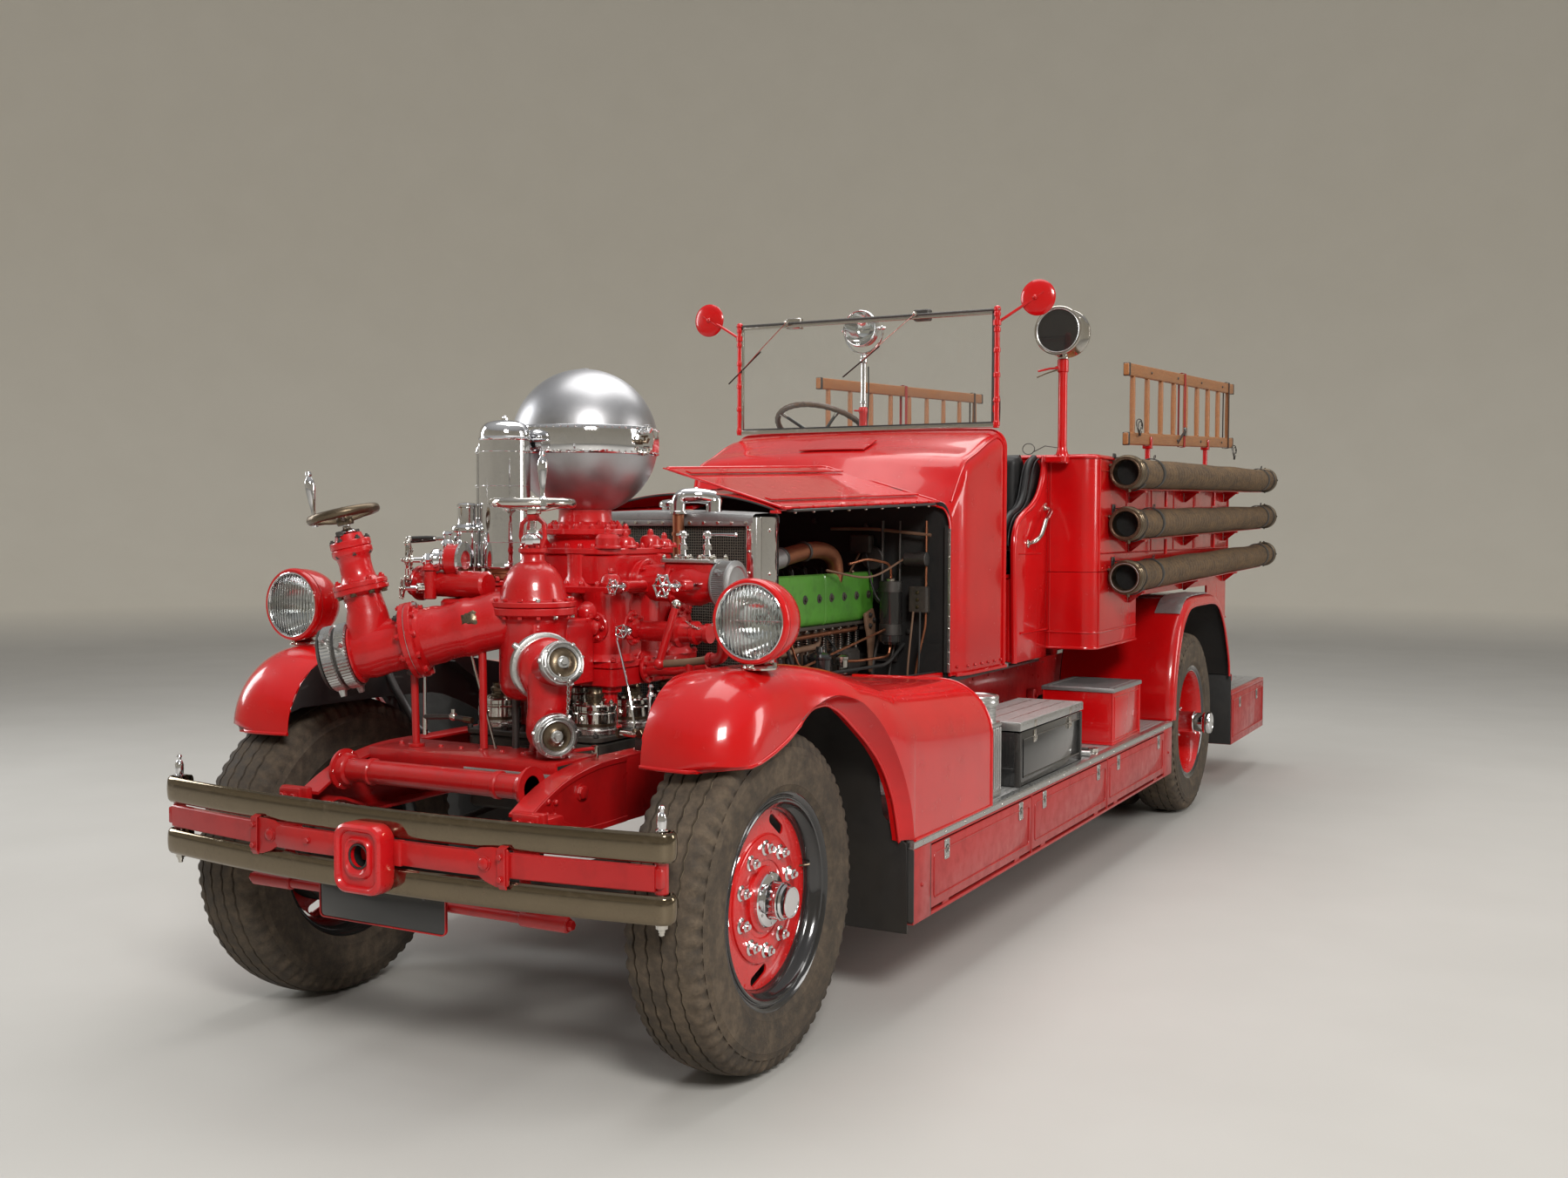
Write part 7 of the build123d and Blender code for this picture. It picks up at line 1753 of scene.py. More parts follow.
    # drain cock with a long bright rod below the pipe, black-tipped cross handle
    g = vec((-0.205, -0.225, 1.148))
    p.tube([g + (0, 0, 0.03), g, g + (0.004, -0.004, -0.150)], 0.0055, CHROME, 10)
    p.ball(g + (0, 0, 0.015), 0.013, CHROME, 14, 8)
    p.bolt(g + (0, 0, -0.005), (0, 0, -1), 0.010, CHROME)
    h = g + vec((0.004, -0.004, -0.150))
    p.tube([h, h + (0.10, 0.0, 0.006), h + (0.17, 0.0, 0.002)], [0.0085, 0.0075, 0.0085], DARK_STEEL, 12)
    p.tube([h + (0.155, 0, 0.002), h + (0.186, 0.0, 0.0)], 0.0095, BRASS_DK, 12)
    p.ball(h + (0.112, 0, 0.008), 0.0135, CHROME_OLD, 14, 8)
    p.tube([h + (0.112, 0, 0.006), h + (0.112, 0, 0.030)], 0.006, CHROME_OLD, 10)
    p.tube([h, h + (0.0, 0.0, -0.055)], 0.008, CHROME_OLD, 12)
    # red props from the frame to the pipe
    p.tube([(-0.232, -0.235, 0.905), (-0.236, -0.238, 1.14)], 0.0120, FRAME_RED, 14)
    p.ring((-0.232, -0.235, 0.905), (0, 0, 1), 0.026, 0.01, 0.010, FRAME_RED, 20)
    p.tube([(-0.01, -0.18, 0.905), (-0.035, -0.155, 1.215)], 0.0125, FRAME_RED, 14)
    p.tube([(0.02, -0.16, 0.905), (-0.06, -0.18, 1.20)], 0.0045, CHROME_OLD, 8)
    for y in (-0.10,):
        p.cyl((0.062, -0.115, 0.905), (0.062, -0.115, 1.07), 0.011, DARK_STEEL, 14)
    # valve tower: swelling elbow, flange pair, stuffing box
    hub = ELBOW
    base = [hub + SD * 0.035 + TG * 0.0, hub + SD * 0.010 + TG * 0.055, hub + TG * 0.11, hub + TG * 0.150, hub + TG * 0.190]
    p.tube(spline(base, 5), [float(x) for x in np.interp(np.linspace(0, 1, len(spline(base, 5))), [0, 0.25, 0.6, 1], [0.080, 0.072, 0.060, 0.054])], M, 40, caps=False)
    p.ball(hub + SD * 0.02, 0.085, M, 36, 18)
    p.lathe(hub, TG, [(0.053, 0.155), (0.056, 0.170), (0.066, 0.178), (0.080, 0.180), (0.084, 0.183), (0.084, 0.1955), (0.081, 0.197), (0.081, 0.1985), (0.084, 0.200), (0.084, 0.212), (0.081, 0.215), (0.062, 0.217), (0.054, 0.226), (0.050, 0.245), (0.049, 0.275), (0.052, 0.292),
                      (0.0610, 0.302), (0.0625, 0.306), (0.0625, 0.318), (0.060, 0.321), (0.058, 0.3225), (0.0615, 0.324), (0.0625, 0.327), (0.0625, 0.342), (0.060, 0.345), (0.046, 0.347), (0.043, 0.356), (0.040, 0.366), (0, 0.367)], M, 52)
    p.bolts(hub + TG * 0.214, TG, 0.072, 8, 0.0095, M, "stud", a0=0.4)
    p.bolts(hub + TG * 0.181, -TG, 0.072, 8, 0.0095, BRASS_DK, "hex", a0=0.4)
    p.bolts(hub + TG * 0.344, TG, 0.053, 6, 0.008, DARK_STEEL, "stud", a0=0.2)
    p.bolts(hub + TG * 0.304, -TG, 0.053, 6, 0.008, DARK_STEEL, "hex", a0=0.2)
    tl = float(np.dot(TOWER - hub, TG))
    for s in (1, -1):
        a, b = basis(TG)
        e2 = a * s
        p.cyl(hub + TG * 0.340 + e2 * 0.034, hub + TG * (tl - 0.004) + e2 * 0.034, 0.0095, DARK_STEEL, 12, bev=0.002)
        p.bolt(hub + TG * (tl - 0.006) + e2 * 0.034, TG, 0.013, DARK_STEEL, 0.012)
    p.lathe(hub, TG, [(0.024, 0.360), (0.026, 0.366), (0.026, tl - 0.010), (0.020, tl - 0.004), (0.018, tl), (0, tl + 0.001)], CHROME_OLD, 24)
    p.cyl(TOWER, TOWER + TG * 0.052, 0.0110, CHROME, 16)
    p.lathe(TOWER, TG, [(0.026, 0.0), (0.028, 0.003), (0.022, 0.010), (0.014, 0.013), (0.0115, 0.022)], CHROME, 20)
    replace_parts(p.make("suction_pipe_and_tower"), "suction_pipe")

    # seat of the bright cylinders, pipe runs and valve body beside them
    p = Piece()
    rbox(p, -0.285, -0.045, -0.065, 0.120, 1.362, 1.402, M, 0.05, 0.006)
    deck(p, -0.290, -0.040, -0.070, 0.125, 1.402, 1.4192, M, 0.055, 0.0075, "acorn", 0.05, 0.013)
    rbox(p, -0.228, -0.042, -0.155, 0.148, 1.257, 1.362, M, 0.05, 0.01)
    p.cyl((-0.36, -0.105, 1.408), (-0.05, -0.105, 1.408), 0.042, M, 36, bev=0.008)
    p.flange((-0.315, -0.105, 1.408), (-1, 0, 0), 0.056, 0.014, 6, M, 0.008, kind="stud")
    p.cyl((-0.247, -0.150, 1.360), (-0.247, -0.150, 1.452), 0.020, M, 24, bev=0.003)
    p.lathe((-0.247, -0.150, 1.452), (0, 0, 1), [(0.027, 0), (0.027, 0.010), (0.020, 0.016), (0.014, 0.024), (0, 0.027)], M, 24)
    # short valve: chrome body and big spoked wheel facing forward left
    n = unit(vec((-0.80, -0.60, 0.0)))
    q = vec((-0.206, -0.115, 1.484))
    p.cyl(q + (0.05, 0.02, 0), q - (0.005, 0.0, 0), 0.050, M, 36, bev=0.008)
    p.ring(q + vec((0.048, 0.018, 0)), (1, 0.2, 0), 0.058, 0.030, 0.009, CHROME, 36)
    p.lathe(q, n, [(0.046, -0.01), (0.046, 0.006), (0.034, 0.010), (0.032, 0.020), (0.037, 0.028), (0.037, 0.042), (0.026, 0.052), (0.018, 0.056), (0.016, 0.075), (0.009, 0.080), (0.008, 0.118)], CHROME, 28)
    p.bolt(q + n * 0.052, n, 0.024, CHROME, 0.016, washer=False)
    starwheel(p, q + n * 0.120, n, 0.062, CHROME_OLD, 7, 0.0062)
    q2 = vec((-0.262, -0.155, 1.395))
    starwheel(p, q2 + vec((-0.045, -0.055, 0)), unit(vec((-0.6, -0.8, 0.1))), 0.030, CHROME_OLD, 6)
    p.tube([q2, q2 + vec((-0.045, -0.055, 0))], 0.008, CHROME, 10)
    p.cyl(q2, q2 + vec((-0.018, -0.022, 0)), 0.017, CHROME_OLD, 16, bev=0.003)
    # black-grip lever above it
    p.cyl((-0.218, -0.100, 1.44), (-0.218, -0.100, 1.535), 0.014, M, 20)
    p.lathe((-0.218, -0.100, 1.530), (0, 0, 1), [(0, 0), (0.020, 0), (0.022, 0.006), (0.018, 0.014), (0.012, 0.020), (0.012, 0.032), (0.016, 0.036), (0.012, 0.044), (0, 0.046)], CHROME, 20)
    p.tube([(-0.218, -0.100, 1.553), (-0.265, -0.108, 1.551)], [0.007, 0.006], CHROME, 10)
    p.tube([(-0.262, -0.108, 1.551), (-0.29, -0.112, 1.550), (-0.352, -0.120, 1.547)], [0.0085, 0.0105, 0.0115], BLACK, 14)
    p.ball((-0.353, -0.120, 1.547), 0.0115, BLACK, 14, 8)
    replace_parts(p.make("primer_seat"), "suction_pipe")


suction()


def wheels_and_bright():
    p = Piece()
    handwheel(p, (0.100, -0.075, 1.663), (0, 0, 1), 0.122, CHROME_OLD, CHROME, u=(0.78, -0.62, 0), spokes=4)
    p.cyl((0.100, -0.075, 1.615), (0.100, -0.075, 1.650), 0.014, CHROME, 20, bev=0.003)
    handwheel(p, TOWER + TG * 0.060, TG, 0.100, BRASS_DK, CHROME, u=(-1, -0.35, 0.1), tilt=-1.2, spokes=4)
    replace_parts(p.make("handwheels_bright"), "handwheels")

    # primer cylinders
    p = Piece()
    c = vec((-0.107, 0.050, 0))
    p.lathe(c, (0, 0, 1), [(0, 1.420), (0.066, 1.420), (0.072, 1.424), (0.072, 1.438), (0.066, 1.442), (0.066, 1.455)], COPPER, 48)
    p.lathe(c, (0, 0, 1), [(0.066, 1.4545), (0.0815, 1.456), (0.0830, 1.459), (0.0830, 1.466), (0.0815, 1.469), (0.0812, 1.476), (0.0812, 1.866), (0.0832, 1.868), (0.0845, 1.872), (0.0832, 1.876), (0.0815, 1.878), (0.0812, 1.886),
                            (0.0795, 1.896), (0.0740, 1.910), (0.0630, 1.921), (0.0460, 1.9285), (0.0250, 1.9320), (0, 1.9328)], CHROME, 72)
    p.bolt(c + (0, 0, 1.932), (0, 0, 1), 0.010, CHROME, 0.008, kind="acorn", washer=False)
    p.bolts(c + (0, 0, 1.438), (0, 0, 1), 0.077, 8, 0.0065, COPPER, "hex", washer=False)
    for dx, z1 in ((-0.092, 1.86), (-0.102, 1.845)):
        p.tube(bend([c + (dx, -0.012, 1.425), c + (dx, -0.012, z1), c + (-0.078, -0.004, z1 + 0.012)], 0.012), 0.0045, CHROME, 8)
    for z in (1.54, 1.72, 1.83):
        p.torus(c + (0, 0, z), (0, 0, 1), 0.0818, 0.0012, CHROME, 64, 6)
        p.obox(c + (-0.094, -0.013, z), (1, 0, 0), (0, 1, 0), (0.024, 0.012, 0.008), CHROME, 0.002)
    c = vec((-0.215, -0.010, 0))
    p.lathe(c, (0, 0, 1), [(0, 1.420), (0.050, 1.420), (0.052, 1.423), (0.052, 1.432), (0.048, 1.436), (0.048, 1.572), (0.050, 1.575), (0.050, 1.584), (0.047, 1.590), (0.036, 1.594), (0.0305, 1.597), (0.029, 1.602), (0.029, 1.650), (0.031, 1.652), (0.031, 1.660), (0.028, 1.664), (0.018, 1.667), (0, 1.668)], CHROME, 48)
    p.bolts(c + (0, 0, 1.432), (0, 0, 1), 0.0455, 6, 0.005, CHROME_OLD, "hex", washer=False)
    c2 = vec((-0.262, 0.045, 0))
    p.lathe(c2, (0, 0, 1), [(0, 1.420), (0.027, 1.420), (0.027, 1.600), (0.0285, 1.602), (0.0285, 1.612), (0.026, 1.617), (0.012, 1.621), (0, 1.622)], CHROME, 36)
    p.tube(bend([c2 + (-0.02, 0, 1.44), c2 + (-0.035, 0, 1.44), c2 + (-0.035, 0, 1.56), c2 + (-0.022, 0, 1.57)], 0.01), 0.005, CHROME, 8)
    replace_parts(p.make("primer_cylinders"), "vacuum_chambers")

    # air chamber: two spun halves joined by a bright band
    p = Piece()
    c = vec((-0.030, 0.385, 1.877))
    R = 0.2465
    p.ball(c, R, SILVER, 96, 48, t0=0.36)
    p.lathe(c, (0, 0, 1), [(0.2425, -0.047), (0.2445, -0.0465), (0.2455, -0.0455), (0.2495, -0.032), (0.2510, -0.012), (0.2512, 0.0), (0.2510, 0.012), (0.2495, 0.032), (0.2455, 0.0455), (0.2445, 0.0465), (0.2425, 0.047)], CHROME, 96)
    for k in range(64):
        t = 2 * pi * k / 64
        for z in (-0.0395, 0.0395):
            d = vec((cos(t), sin(t), 0))
            p.ball(c + d * 0.2484 + (0, 0, z), 0.0032, CHROME, 8, 5)
    p.lathe((-0.030, 0.385, 1.583), (0, 0, 1), [(0.120, 0), (0.120, 0.012), (0.117, 0.015), (0.100, 0.017), (0.093, 0.024), (0.090, 0.040), (0.0895, 0.062), (0.092, 0.072)], RED_CAST, 56)
    p.bolts((-0.030, 0.385, 1.598), (0, 0, 1), 0.109, 12, 0.0085, RED_CAST, "stud")
    p.lathe((-0.030, 0.385, 1.583), (0, 0, 1), [(0.094, 0.066), (0.098, 0.070), (0.100, 0.078), (0.098, 0.086), (0.090, 0.088)], SILVER, 56)
    # small taps on its left side and rear gauge pipe
    for z, y, m in ((1.905, -0.03, CHROME), (1.870, -0.045, BRASS_DK), (1.835, -0.03, CHROME_OLD)):
        a = vec((-0.030 + math.sqrt(max(R ** 2 - (z - 1.877) ** 2 - y ** 2, 0)), 0.385 + y, z))
        p.cyl(a - (0.006, 0, 0), a + (0.020, -0.002, 0), 0.0085, m, 12, bev=0.001)
        p.bolt(a + (0.010, -0.001, 0), (1, 0, 0), 0.011, m, 0.009, washer=False)
        p.tube([a + (0.018, -0.002, 0), a + (0.040, -0.004, -0.002), a + (0.048, -0.005, 0.012)], 0.0050, m, 8)
        p.tube([a + (0.030, -0.003, 0), a + (0.030, -0.003, 0.018)], 0.0035, m, 8)
        p.tube([a + (0.018, -0.003, 0.018), a + (0.042, -0.003, 0.018)], 0.0035, m, 8)
    p.lathe(c + (0, 0, R - 0.003), (0, 0, 1), [(0.016, 0), (0.016, 0.004), (0.010, 0.006), (0, 0.0065)], SILVER, 20)
    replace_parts(p.make("air_chamber_ball"), "air_chamber")

    # crankcase and bright plungers below the pump
    p = Piece()
    rbox(p, -0.265, 0.265, 0.035, 0.735, 0.672, 0.912, IRON, 0.04, 0.01)
    rbox(p, -0.270, 0.270, 0.030, 0.740, 0.912, 0.930, IRON, 0.04, 0.003)
    for x in np.linspace(-0.25, 0.25, 8):
        for y in (0.046, 0.724):
            p.bolt((x, y, 0.930), (0, 0, 1), 0.009, DARK_STEEL, kind="stud")
    for s in (1, -1):
        for y in (0.125, 0.340, 0.555):
            q = vec((s * 0.19, y, 0))
            p.lathe(q, (0, 0, 1), [(0, 0.930), (0.070, 0.930), (0.072, 0.933), (0.072, 0.946), (0.0700, 0.948), (0.0690, 0.950), (0.0690, 0.958)], STEEL, 44)
            p.lathe(q, (0, 0, 1), [(0.0690, 0.957), (0.0700, 0.958), (0.0700, 0.966), (0.0690, 0.967)], BRASS_DK, 44)
            p.lathe(q, (0, 0, 1), [(0.0690, 0.966), (0.0715, 0.968), (0.0715, 0.998), (0.0700, 1.000), (0.0690, 1.002), (0.0690, 1.008), (0.0705, 1.010), (0.0705, 1.022), (0.066, 1.027), (0.050, 1.030), (0.032, 1.031)], CHROME_OLD, 44)
            p.lathe(q, (0, 0, 1), [(0.030, 1.028), (0.030, 1.036), (0.0265, 1.039), (0.0265, 1.046), (0.030, 1.048), (0.030, 1.058), (0.026, 1.060), (0.024, 1.064), (0.024, 1.074)], BRASS_DK, 32)
            p.bolts(q + (0, 0, 1.026), (0, 0, 1), 0.053, 6, 0.0075, CHROME_OLD, "stud")
            p.bolt(q + (0, -0.0705, 0.983), (0, -1, 0), 0.009, CHROME_OLD, 0.007)
    p.lathe((0.0, 0.030, 0.79), (0, -1, 0), [(0, 0), (0.10, 0), (0.10, 0.008), (0.06, 0.014), (0.045, 0.024), (0, 0.026)], IRON, 40)
    p.bolts((0.0, 0.022, 0.79), (0, -1, 0), 0.088, 8, 0.008, DARK_STEEL, "hex")
    p.cyl((0.10, 0.0, 0.70), (0.10, 0.0, 1.06), 0.012, DARK_STEEL, 14)
    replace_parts(p.make("pump_crankcase"), "pump_cylinders")


wheels_and_bright()
# ---------------------------------------------------------------- radiator, engine bay, hood, cowl
def radiator():
    p = Piece()
    # core behind a sunk face, bright shell with a soft top
    p.box(-0.372, 0.372, 0.800, 0.812, 0.965, 1.592, CORE, 0.001)
    p.box(-0.395, 0.395, 0.812, 0.975, 0.905, 1.630, BLACK_WORN, 0.010)
    for s in (1, -1):
        # corner columns: rounded, polished
        prof = rrect(0.046, 0.060, 0.016, 6)
        rows = [[(s * 0.388 + x, 0.812 + y, z) for x, y in prof] for z in (0.900, 0.905, 1.615, 1.625)]
        loft(p, rows, CHROME, True, True)
        p.box(s * 0.366, s * 0.374, 0.7935, 0.800, 0.96, 1.60, CHROME_OLD, 0.001)
        p.box(s * 0.3945, s * 0.4025, 0.838, 0.977, 0.905, 1.628, CHROME, 0.003)
        for z in np.linspace(0.96, 1.58, 5):
            p.bolt((s * 0.4025, 0.905, z), (s, 0, 0), 0.007, CHROME_OLD, kind="round", washer=False)
        for z in np.linspace(0.98, 1.58, 9):
            p.bolt((s * 0.388, 0.782, z), (0, -1, 0), 0.006, CHROME_OLD, kind="round", washer=False)
    # top tank: crowned shell with a bolted grey strip
    rows = []
    for y, dz, dy in ((0.781, -0.020, 0), (0.781, -0.004, 0), (0.786, 0.006, 0), (0.800, 0.012, 0), (0.90, 0.016, 0), (0.965, 0.012, 0), (0.978, 0.004, 0), (0.980, -0.02, 0)):
        rows.append([(x, y, 1.626 + dz + 0.012 * (1 - (x / 0.40) ** 2)) for x in np.linspace(-0.402, 0.402, 25)])
    p.grid(np.array(rows), GALV)
    p.box(-0.395, 0.395, 0.7815, 0.80, 1.594, 1.618, GALV, 0.003)
    for x in np.linspace(-0.375, 0.375, 14):
        p.bolt((x, 0.7815, 1.606), (0, -1, 0), 0.0065, CHROME_OLD, kind="hex", washer=False)
    p.box(-0.395, 0.395, 0.7815, 0.80, 0.915, 0.962, GALV, 0.004)
    for x in np.linspace(-0.36, 0.36, 9):
        p.bolt((x, 0.7815, 0.938), (0, -1, 0), 0.0065, GALV, kind="hex", washer=False)
    # filler with bright cap, overflow pipe
    p.lathe((0.0, 0.885, 1.640), (0, 0, 1), [(0.042, 0), (0.040, 0.010), (0.036, 0.014), (0.036, 0.022), (0.044, 0.024), (0.046, 0.030), (0.044, 0.040), (0.034, 0.048), (0.012, 0.052), (0, 0.0525)], CHROME, 36)
    p.tube(bend([(0.04, 0.885, 1.650), (0.09, 0.885, 1.650), (0.09, 0.975, 1.630), (0.09, 0.985, 1.10)], 0.02), 0.006, COPPER, 8)
    # stand pipe and bright dome elbow in front of the top tank
    p.cyl((0.112, 0.755, 1.48), (0.112, 0.755, 1.645), 0.021, COPPER, 28, bev=0.002)
    p.lathe((0.112, 0.755, 1.560), (0, 0, 1), [(0.0245, 0), (0.0245, 0.012), (0.0215, 0.014)], COPPER, 28)
    el = bend([(0.112, 0.755, 1.640), (0.112, 0.757, 1.702), (0.178, 0.790, 1.704), (0.215, 0.83, 1.694)], 0.030, 8)
    p.tube(el, 0.0265, CHROME, 28)
    p.ring((0.112, 0.755, 1.636), (0, 0, 1), 0.032, 0.02, 0.012, CHROME, 30, 0.002)
    p.tube([(0.112, 0.755, 1.48), (0.11, 0.74, 1.44), (0.09, 0.705, 1.42), (0.06, 0.66, 1.42)], 0.020, COPPER, 20)
    p.lathe((0.215, 0.83, 1.640), (0, 0, 1), [(0.030, 0), (0.028, 0.02), (0.030, 0.045), (0.022, 0.062), (0, 0.070)], CHROME, 28)
    p.ball((0.168, 0.783, 1.722), 0.012, CHROME, 14, 8)
    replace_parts(p.make("radiator_shell", slot="chrome"), "radiator")


radiator()


def engine():
    p = Piece()
    # crankcase, block, heads
    rbox(p, -0.215, 0.215, 1.035, 1.985, 0.730, 1.020, IRON, 0.03, 0.012)
    rbox(p, -0.222, 0.290, 1.032, 1.988, 1.006, 1.032, IRON, 0.02, 0.003)
    rbox(p, 0.190, 0.286, 1.075, 2.010, 1.212, 1.392, IRON, 0.015, 0.006)
    rbox(p, -0.150, 0.205, 1.05, 1.97, 1.032, 1.265, BROWN_IRON, 0.02, 0.006)
    for x in np.linspace(1.06, 1.96, 15):
        for s in (1, -1):
            p.bolt((s * 0.208, x, 1.032), (0, 0, 1), 0.0085, DARK_STEEL, kind="stud")
    for y in np.linspace(1.075, 1.945, 7):
        p.box(0.205, 0.218, y - 0.006, y + 0.006, 0.76, 1.01, IRON, 0.003)
    # push rods, valve springs, studs and rocker boxes on the left side
    for i, y in enumerate(np.linspace(1.09, 1.93, 12)):
        p.cyl((0.262, y, 1.03), (0.262, y, 1.215), 0.0070, CHROME_OLD if i % 2 else STEEL, 12)
        p.cyl((0.262, y, 1.03), (0.262, y, 1.085), 0.013, DARK_STEEL, 14, bev=0.002)
        for z in np.arange(1.10, 1.165, 0.009):
            p.torus((0.262, y, z), (0, 0, 1), 0.013, 0.0025, DARK_STEEL, 14, 5)
        p.bolt((0.262, y, 1.168), (0, 0, 1), 0.014, STEEL, 0.008, washer=False)
    for k in range(3):
        y0 = 1.065 + k * 0.305
        rbox(p, -0.16, 0.195, y0, y0 + 0.285, 1.265, 1.345, IRON, 0.025, 0.006)
        rbox(p, -0.165, 0.200, y0 - 0.004, y0 + 0.289, 1.345, 1.360, IRON, 0.025, 0.002)
        for y in (y0 + 0.02, y0 + 0.265):
            for x in (-0.145, 0.0, 0.180):
                p.bolt((x, y, 1.360), (0, 0, 1), 0.010, DARK_STEEL, kind="stud")
        for y in (y0 + 0.08, y0 + 0.20):
            p.lathe((0.045, y, 1.360), (0, 0, 1), [(0.018, 0), (0.018, 0.02), (0.012, 0.022), (0.010, 0.05), (0.006, 0.052), (0.006, 0.066), (0, 0.068)], DARK_STEEL, 14)
            p.tube([(0.045, y, 1.425), (0.10, y, 1.412), (0.14, y + 0.01, 1.30)], 0.0042, RUBBER, 6)
    # green valve covers with dark studs
    for y0, y1 in ((1.085, 1.555), (1.565, 2.020)):
        rows = []
        for x, dz in ((0.196, 0.0), (0.206, -0.002), (0.2145, -0.012), (0.2175, -0.026)):
            rows.append(x)
        for a, b in ((0, 1),):
            sec = [(0.280, 1.200), (0.289, 1.202), (0.2965, 1.209), (0.3005, 1.221), (0.3015, 1.240), (0.3015, 1.370), (0.3000, 1.388), (0.2950, 1.399), (0.2870, 1.404), (0.280, 1.4045)]
            g = [[(x, y, z) for x, z in sec] for y in (y0, y0 + 0.004, y1 - 0.004, y1)]
            for j, (x, z) in enumerate(sec):
                g[0][j] = (x - 0.006, y0, z)
                g[3][j] = (x - 0.006, y1, z)
            loft(p, g, GREEN, True, True, closed=False)
        for y in np.linspace(y0 + 0.05, y1 - 0.05, 4):
            p.lathe((0.3015, y, 1.308), (1, 0, 0), [(0.019, -0.004), (0.018, 0.0015), (0.012, 0.003), (0, 0.0032)], IRON, 18)
            p.bolt((0.3040, y, 1.308), (1, 0, 0), 0.0095, IRON, 0.007, washer=False)
    p.box(0.230, 0.3030, 1.078, 2.025, 1.186, 1.200, IRON, 0.003)
    # brown elbow from the front to the top, grey end; brackets, filter, magneto, carburettor
    p.tube(spline([(0.285, 1.16, 1.468), (0.285, 1.26, 1.480), (0.285, 1.42, 1.498), (0.285, 1.56, 1.498), (0.282, 1.66, 1.470), (0.276, 1.70, 1.415), (0.268, 1.705, 1.370)], 6), 0.034, COPPER, 24)
    p.cyl((0.285, 0.985, 1.452), (0.285, 1.20, 1.472), 0.039, GALV, 28, bev=0.004)
    for y in (1.10, 1.29):
        p.ring((0.285, y + 0.10, 1.474 if y < 1.2 else 1.496), (0, 1, 0.1), 0.0405, 0.02, 0.014, DARK_STEEL, 24)
    p.prism([(-0.06, 0.13), (0.02, 0.15), (0.045, 0.10), (0.04, 0.02), (0.02, -0.05), (0.015, -0.12), (-0.005, -0.12), (-0.015, -0.04), (-0.03, 0.04), (-0.05, 0.08)], (0.318, 1.955, 1.10), (0, 1, 0), (0, 0, 1), 0.012, BROWN_IRON, 0.003, both=True)
    p.bolts((0.324, 1.950, 1.20), (1, 0, 0), 0.026, 3, 0.009, DARK_STEEL)
    for y in (1.94, 1.97):
        p.cyl((0.28, y, 1.17), (0.318, y, 1.17), 0.012, IRON, 14)
    p.tube(bend([(0.24, 1.04, 1.10), (0.27, 1.15, 1.10), (0.27, 1.55, 1.115), (0.25, 1.62, 1.20), (0.24, 1.62, 1.26)], 0.03), 0.013, BROWN_IRON, 14)
    p.tube(bend([(0.245, 1.00, 1.16), (0.30, 1.20, 1.16), (0.30, 1.85, 1.17), (0.25, 1.95, 1.17)], 0.04), 0.009, COPPER, 10)
    p.lathe((0.345, 1.42, 0.985), (0, 0, 1), [(0, 0), (0.040, 0), (0.046, 0.008), (0.046, 0.09), (0.050, 0.094), (0.050, 0.102), (0.042, 0.112), (0.016, 0.120), (0.012, 0.14), (0, 0.14)], BLACK, 32)
    p.lathe((0.340, 1.62, 1.00), (0, 0, 1), [(0, 0), (0.028, 0), (0.032, 0.006), (0.032, 0.06), (0.036, 0.063), (0.036, 0.072), (0.020, 0.08), (0, 0.082)], CHROME_OLD, 28)
    rbox(p, 0.225, 0.325, 1.72, 1.86, 0.985, 1.09, IRON, 0.03, 0.012)
    p.cyl((0.275, 1.72, 1.04), (0.275, 1.69, 1.04), 0.044, DARK_STEEL, 28, bev=0.005)
    for k in range(6):
        t = 2 * pi * k / 6
        a = vec((0.275 + 0.028 * cos(t), 1.69, 1.04 + 0.028 * sin(t)))
        p.tube(spline([a, a - (0, 0.03, 0), a + (-0.03, -0.05, 0.10), vec((0.13, 1.12 + 0.15 * k, 1.42))], 4), 0.0038, RUBBER, 6)
    # exhaust side: manifold and down pipe
    p.tube([(-0.235, 1.10, 1.20), (-0.25, 1.18, 1.22), (-0.25, 1.80, 1.22), (-0.235, 1.92, 1.20)], 0.036, BROWN_IRON, 22)
    for y in np.linspace(1.14, 1.88, 6):
        p.tube([(-0.15, y, 1.18), (-0.215, y, 1.20), (-0.25, y + 0.01, 1.22)], 0.025, BROWN_IRON, 16)
        p.flange((-0.152, y, 1.18), (-1, 0, 0.2), 0.040, 0.010, 2, BROWN_IRON, 0.008, kind="stud")
    p.tube(bend([(-0.25, 1.86, 1.22), (-0.30, 1.93, 1.10), (-0.30, 1.95, 0.72), (-0.30, 2.2, 0.58), (-0.30, 4.2, 0.55)], 0.07, 6), 0.034, BROWN_IRON, 20)
    # fan, belt and water pump at the front
    p.cyl((0.0, 1.035, 1.20), (0.0, 1.00, 1.20), 0.060, DARK_STEEL, 32, bev=0.005)
    for k in range(4):
        t = pi / 4 + k * pi / 2
        d, e = vec((cos(t), 0, sin(t))), vec((-sin(t), 0, cos(t)))
        c0 = vec((0, 1.006, 1.20))
        p.skin(np.array([[c0 + d * r + e * w + vec((0, 0.012 * w / 0.05, 0)) for r in (0.05, 0.12, 0.20, 0.235)] for w in (-0.042, 0.0, 0.042)]), 0.002, DARK_STEEL)
    p.torus((0.0, 1.022, 1.20), (0, 1, 0), 0.06, 0.008, RUBBER, 36, 8)
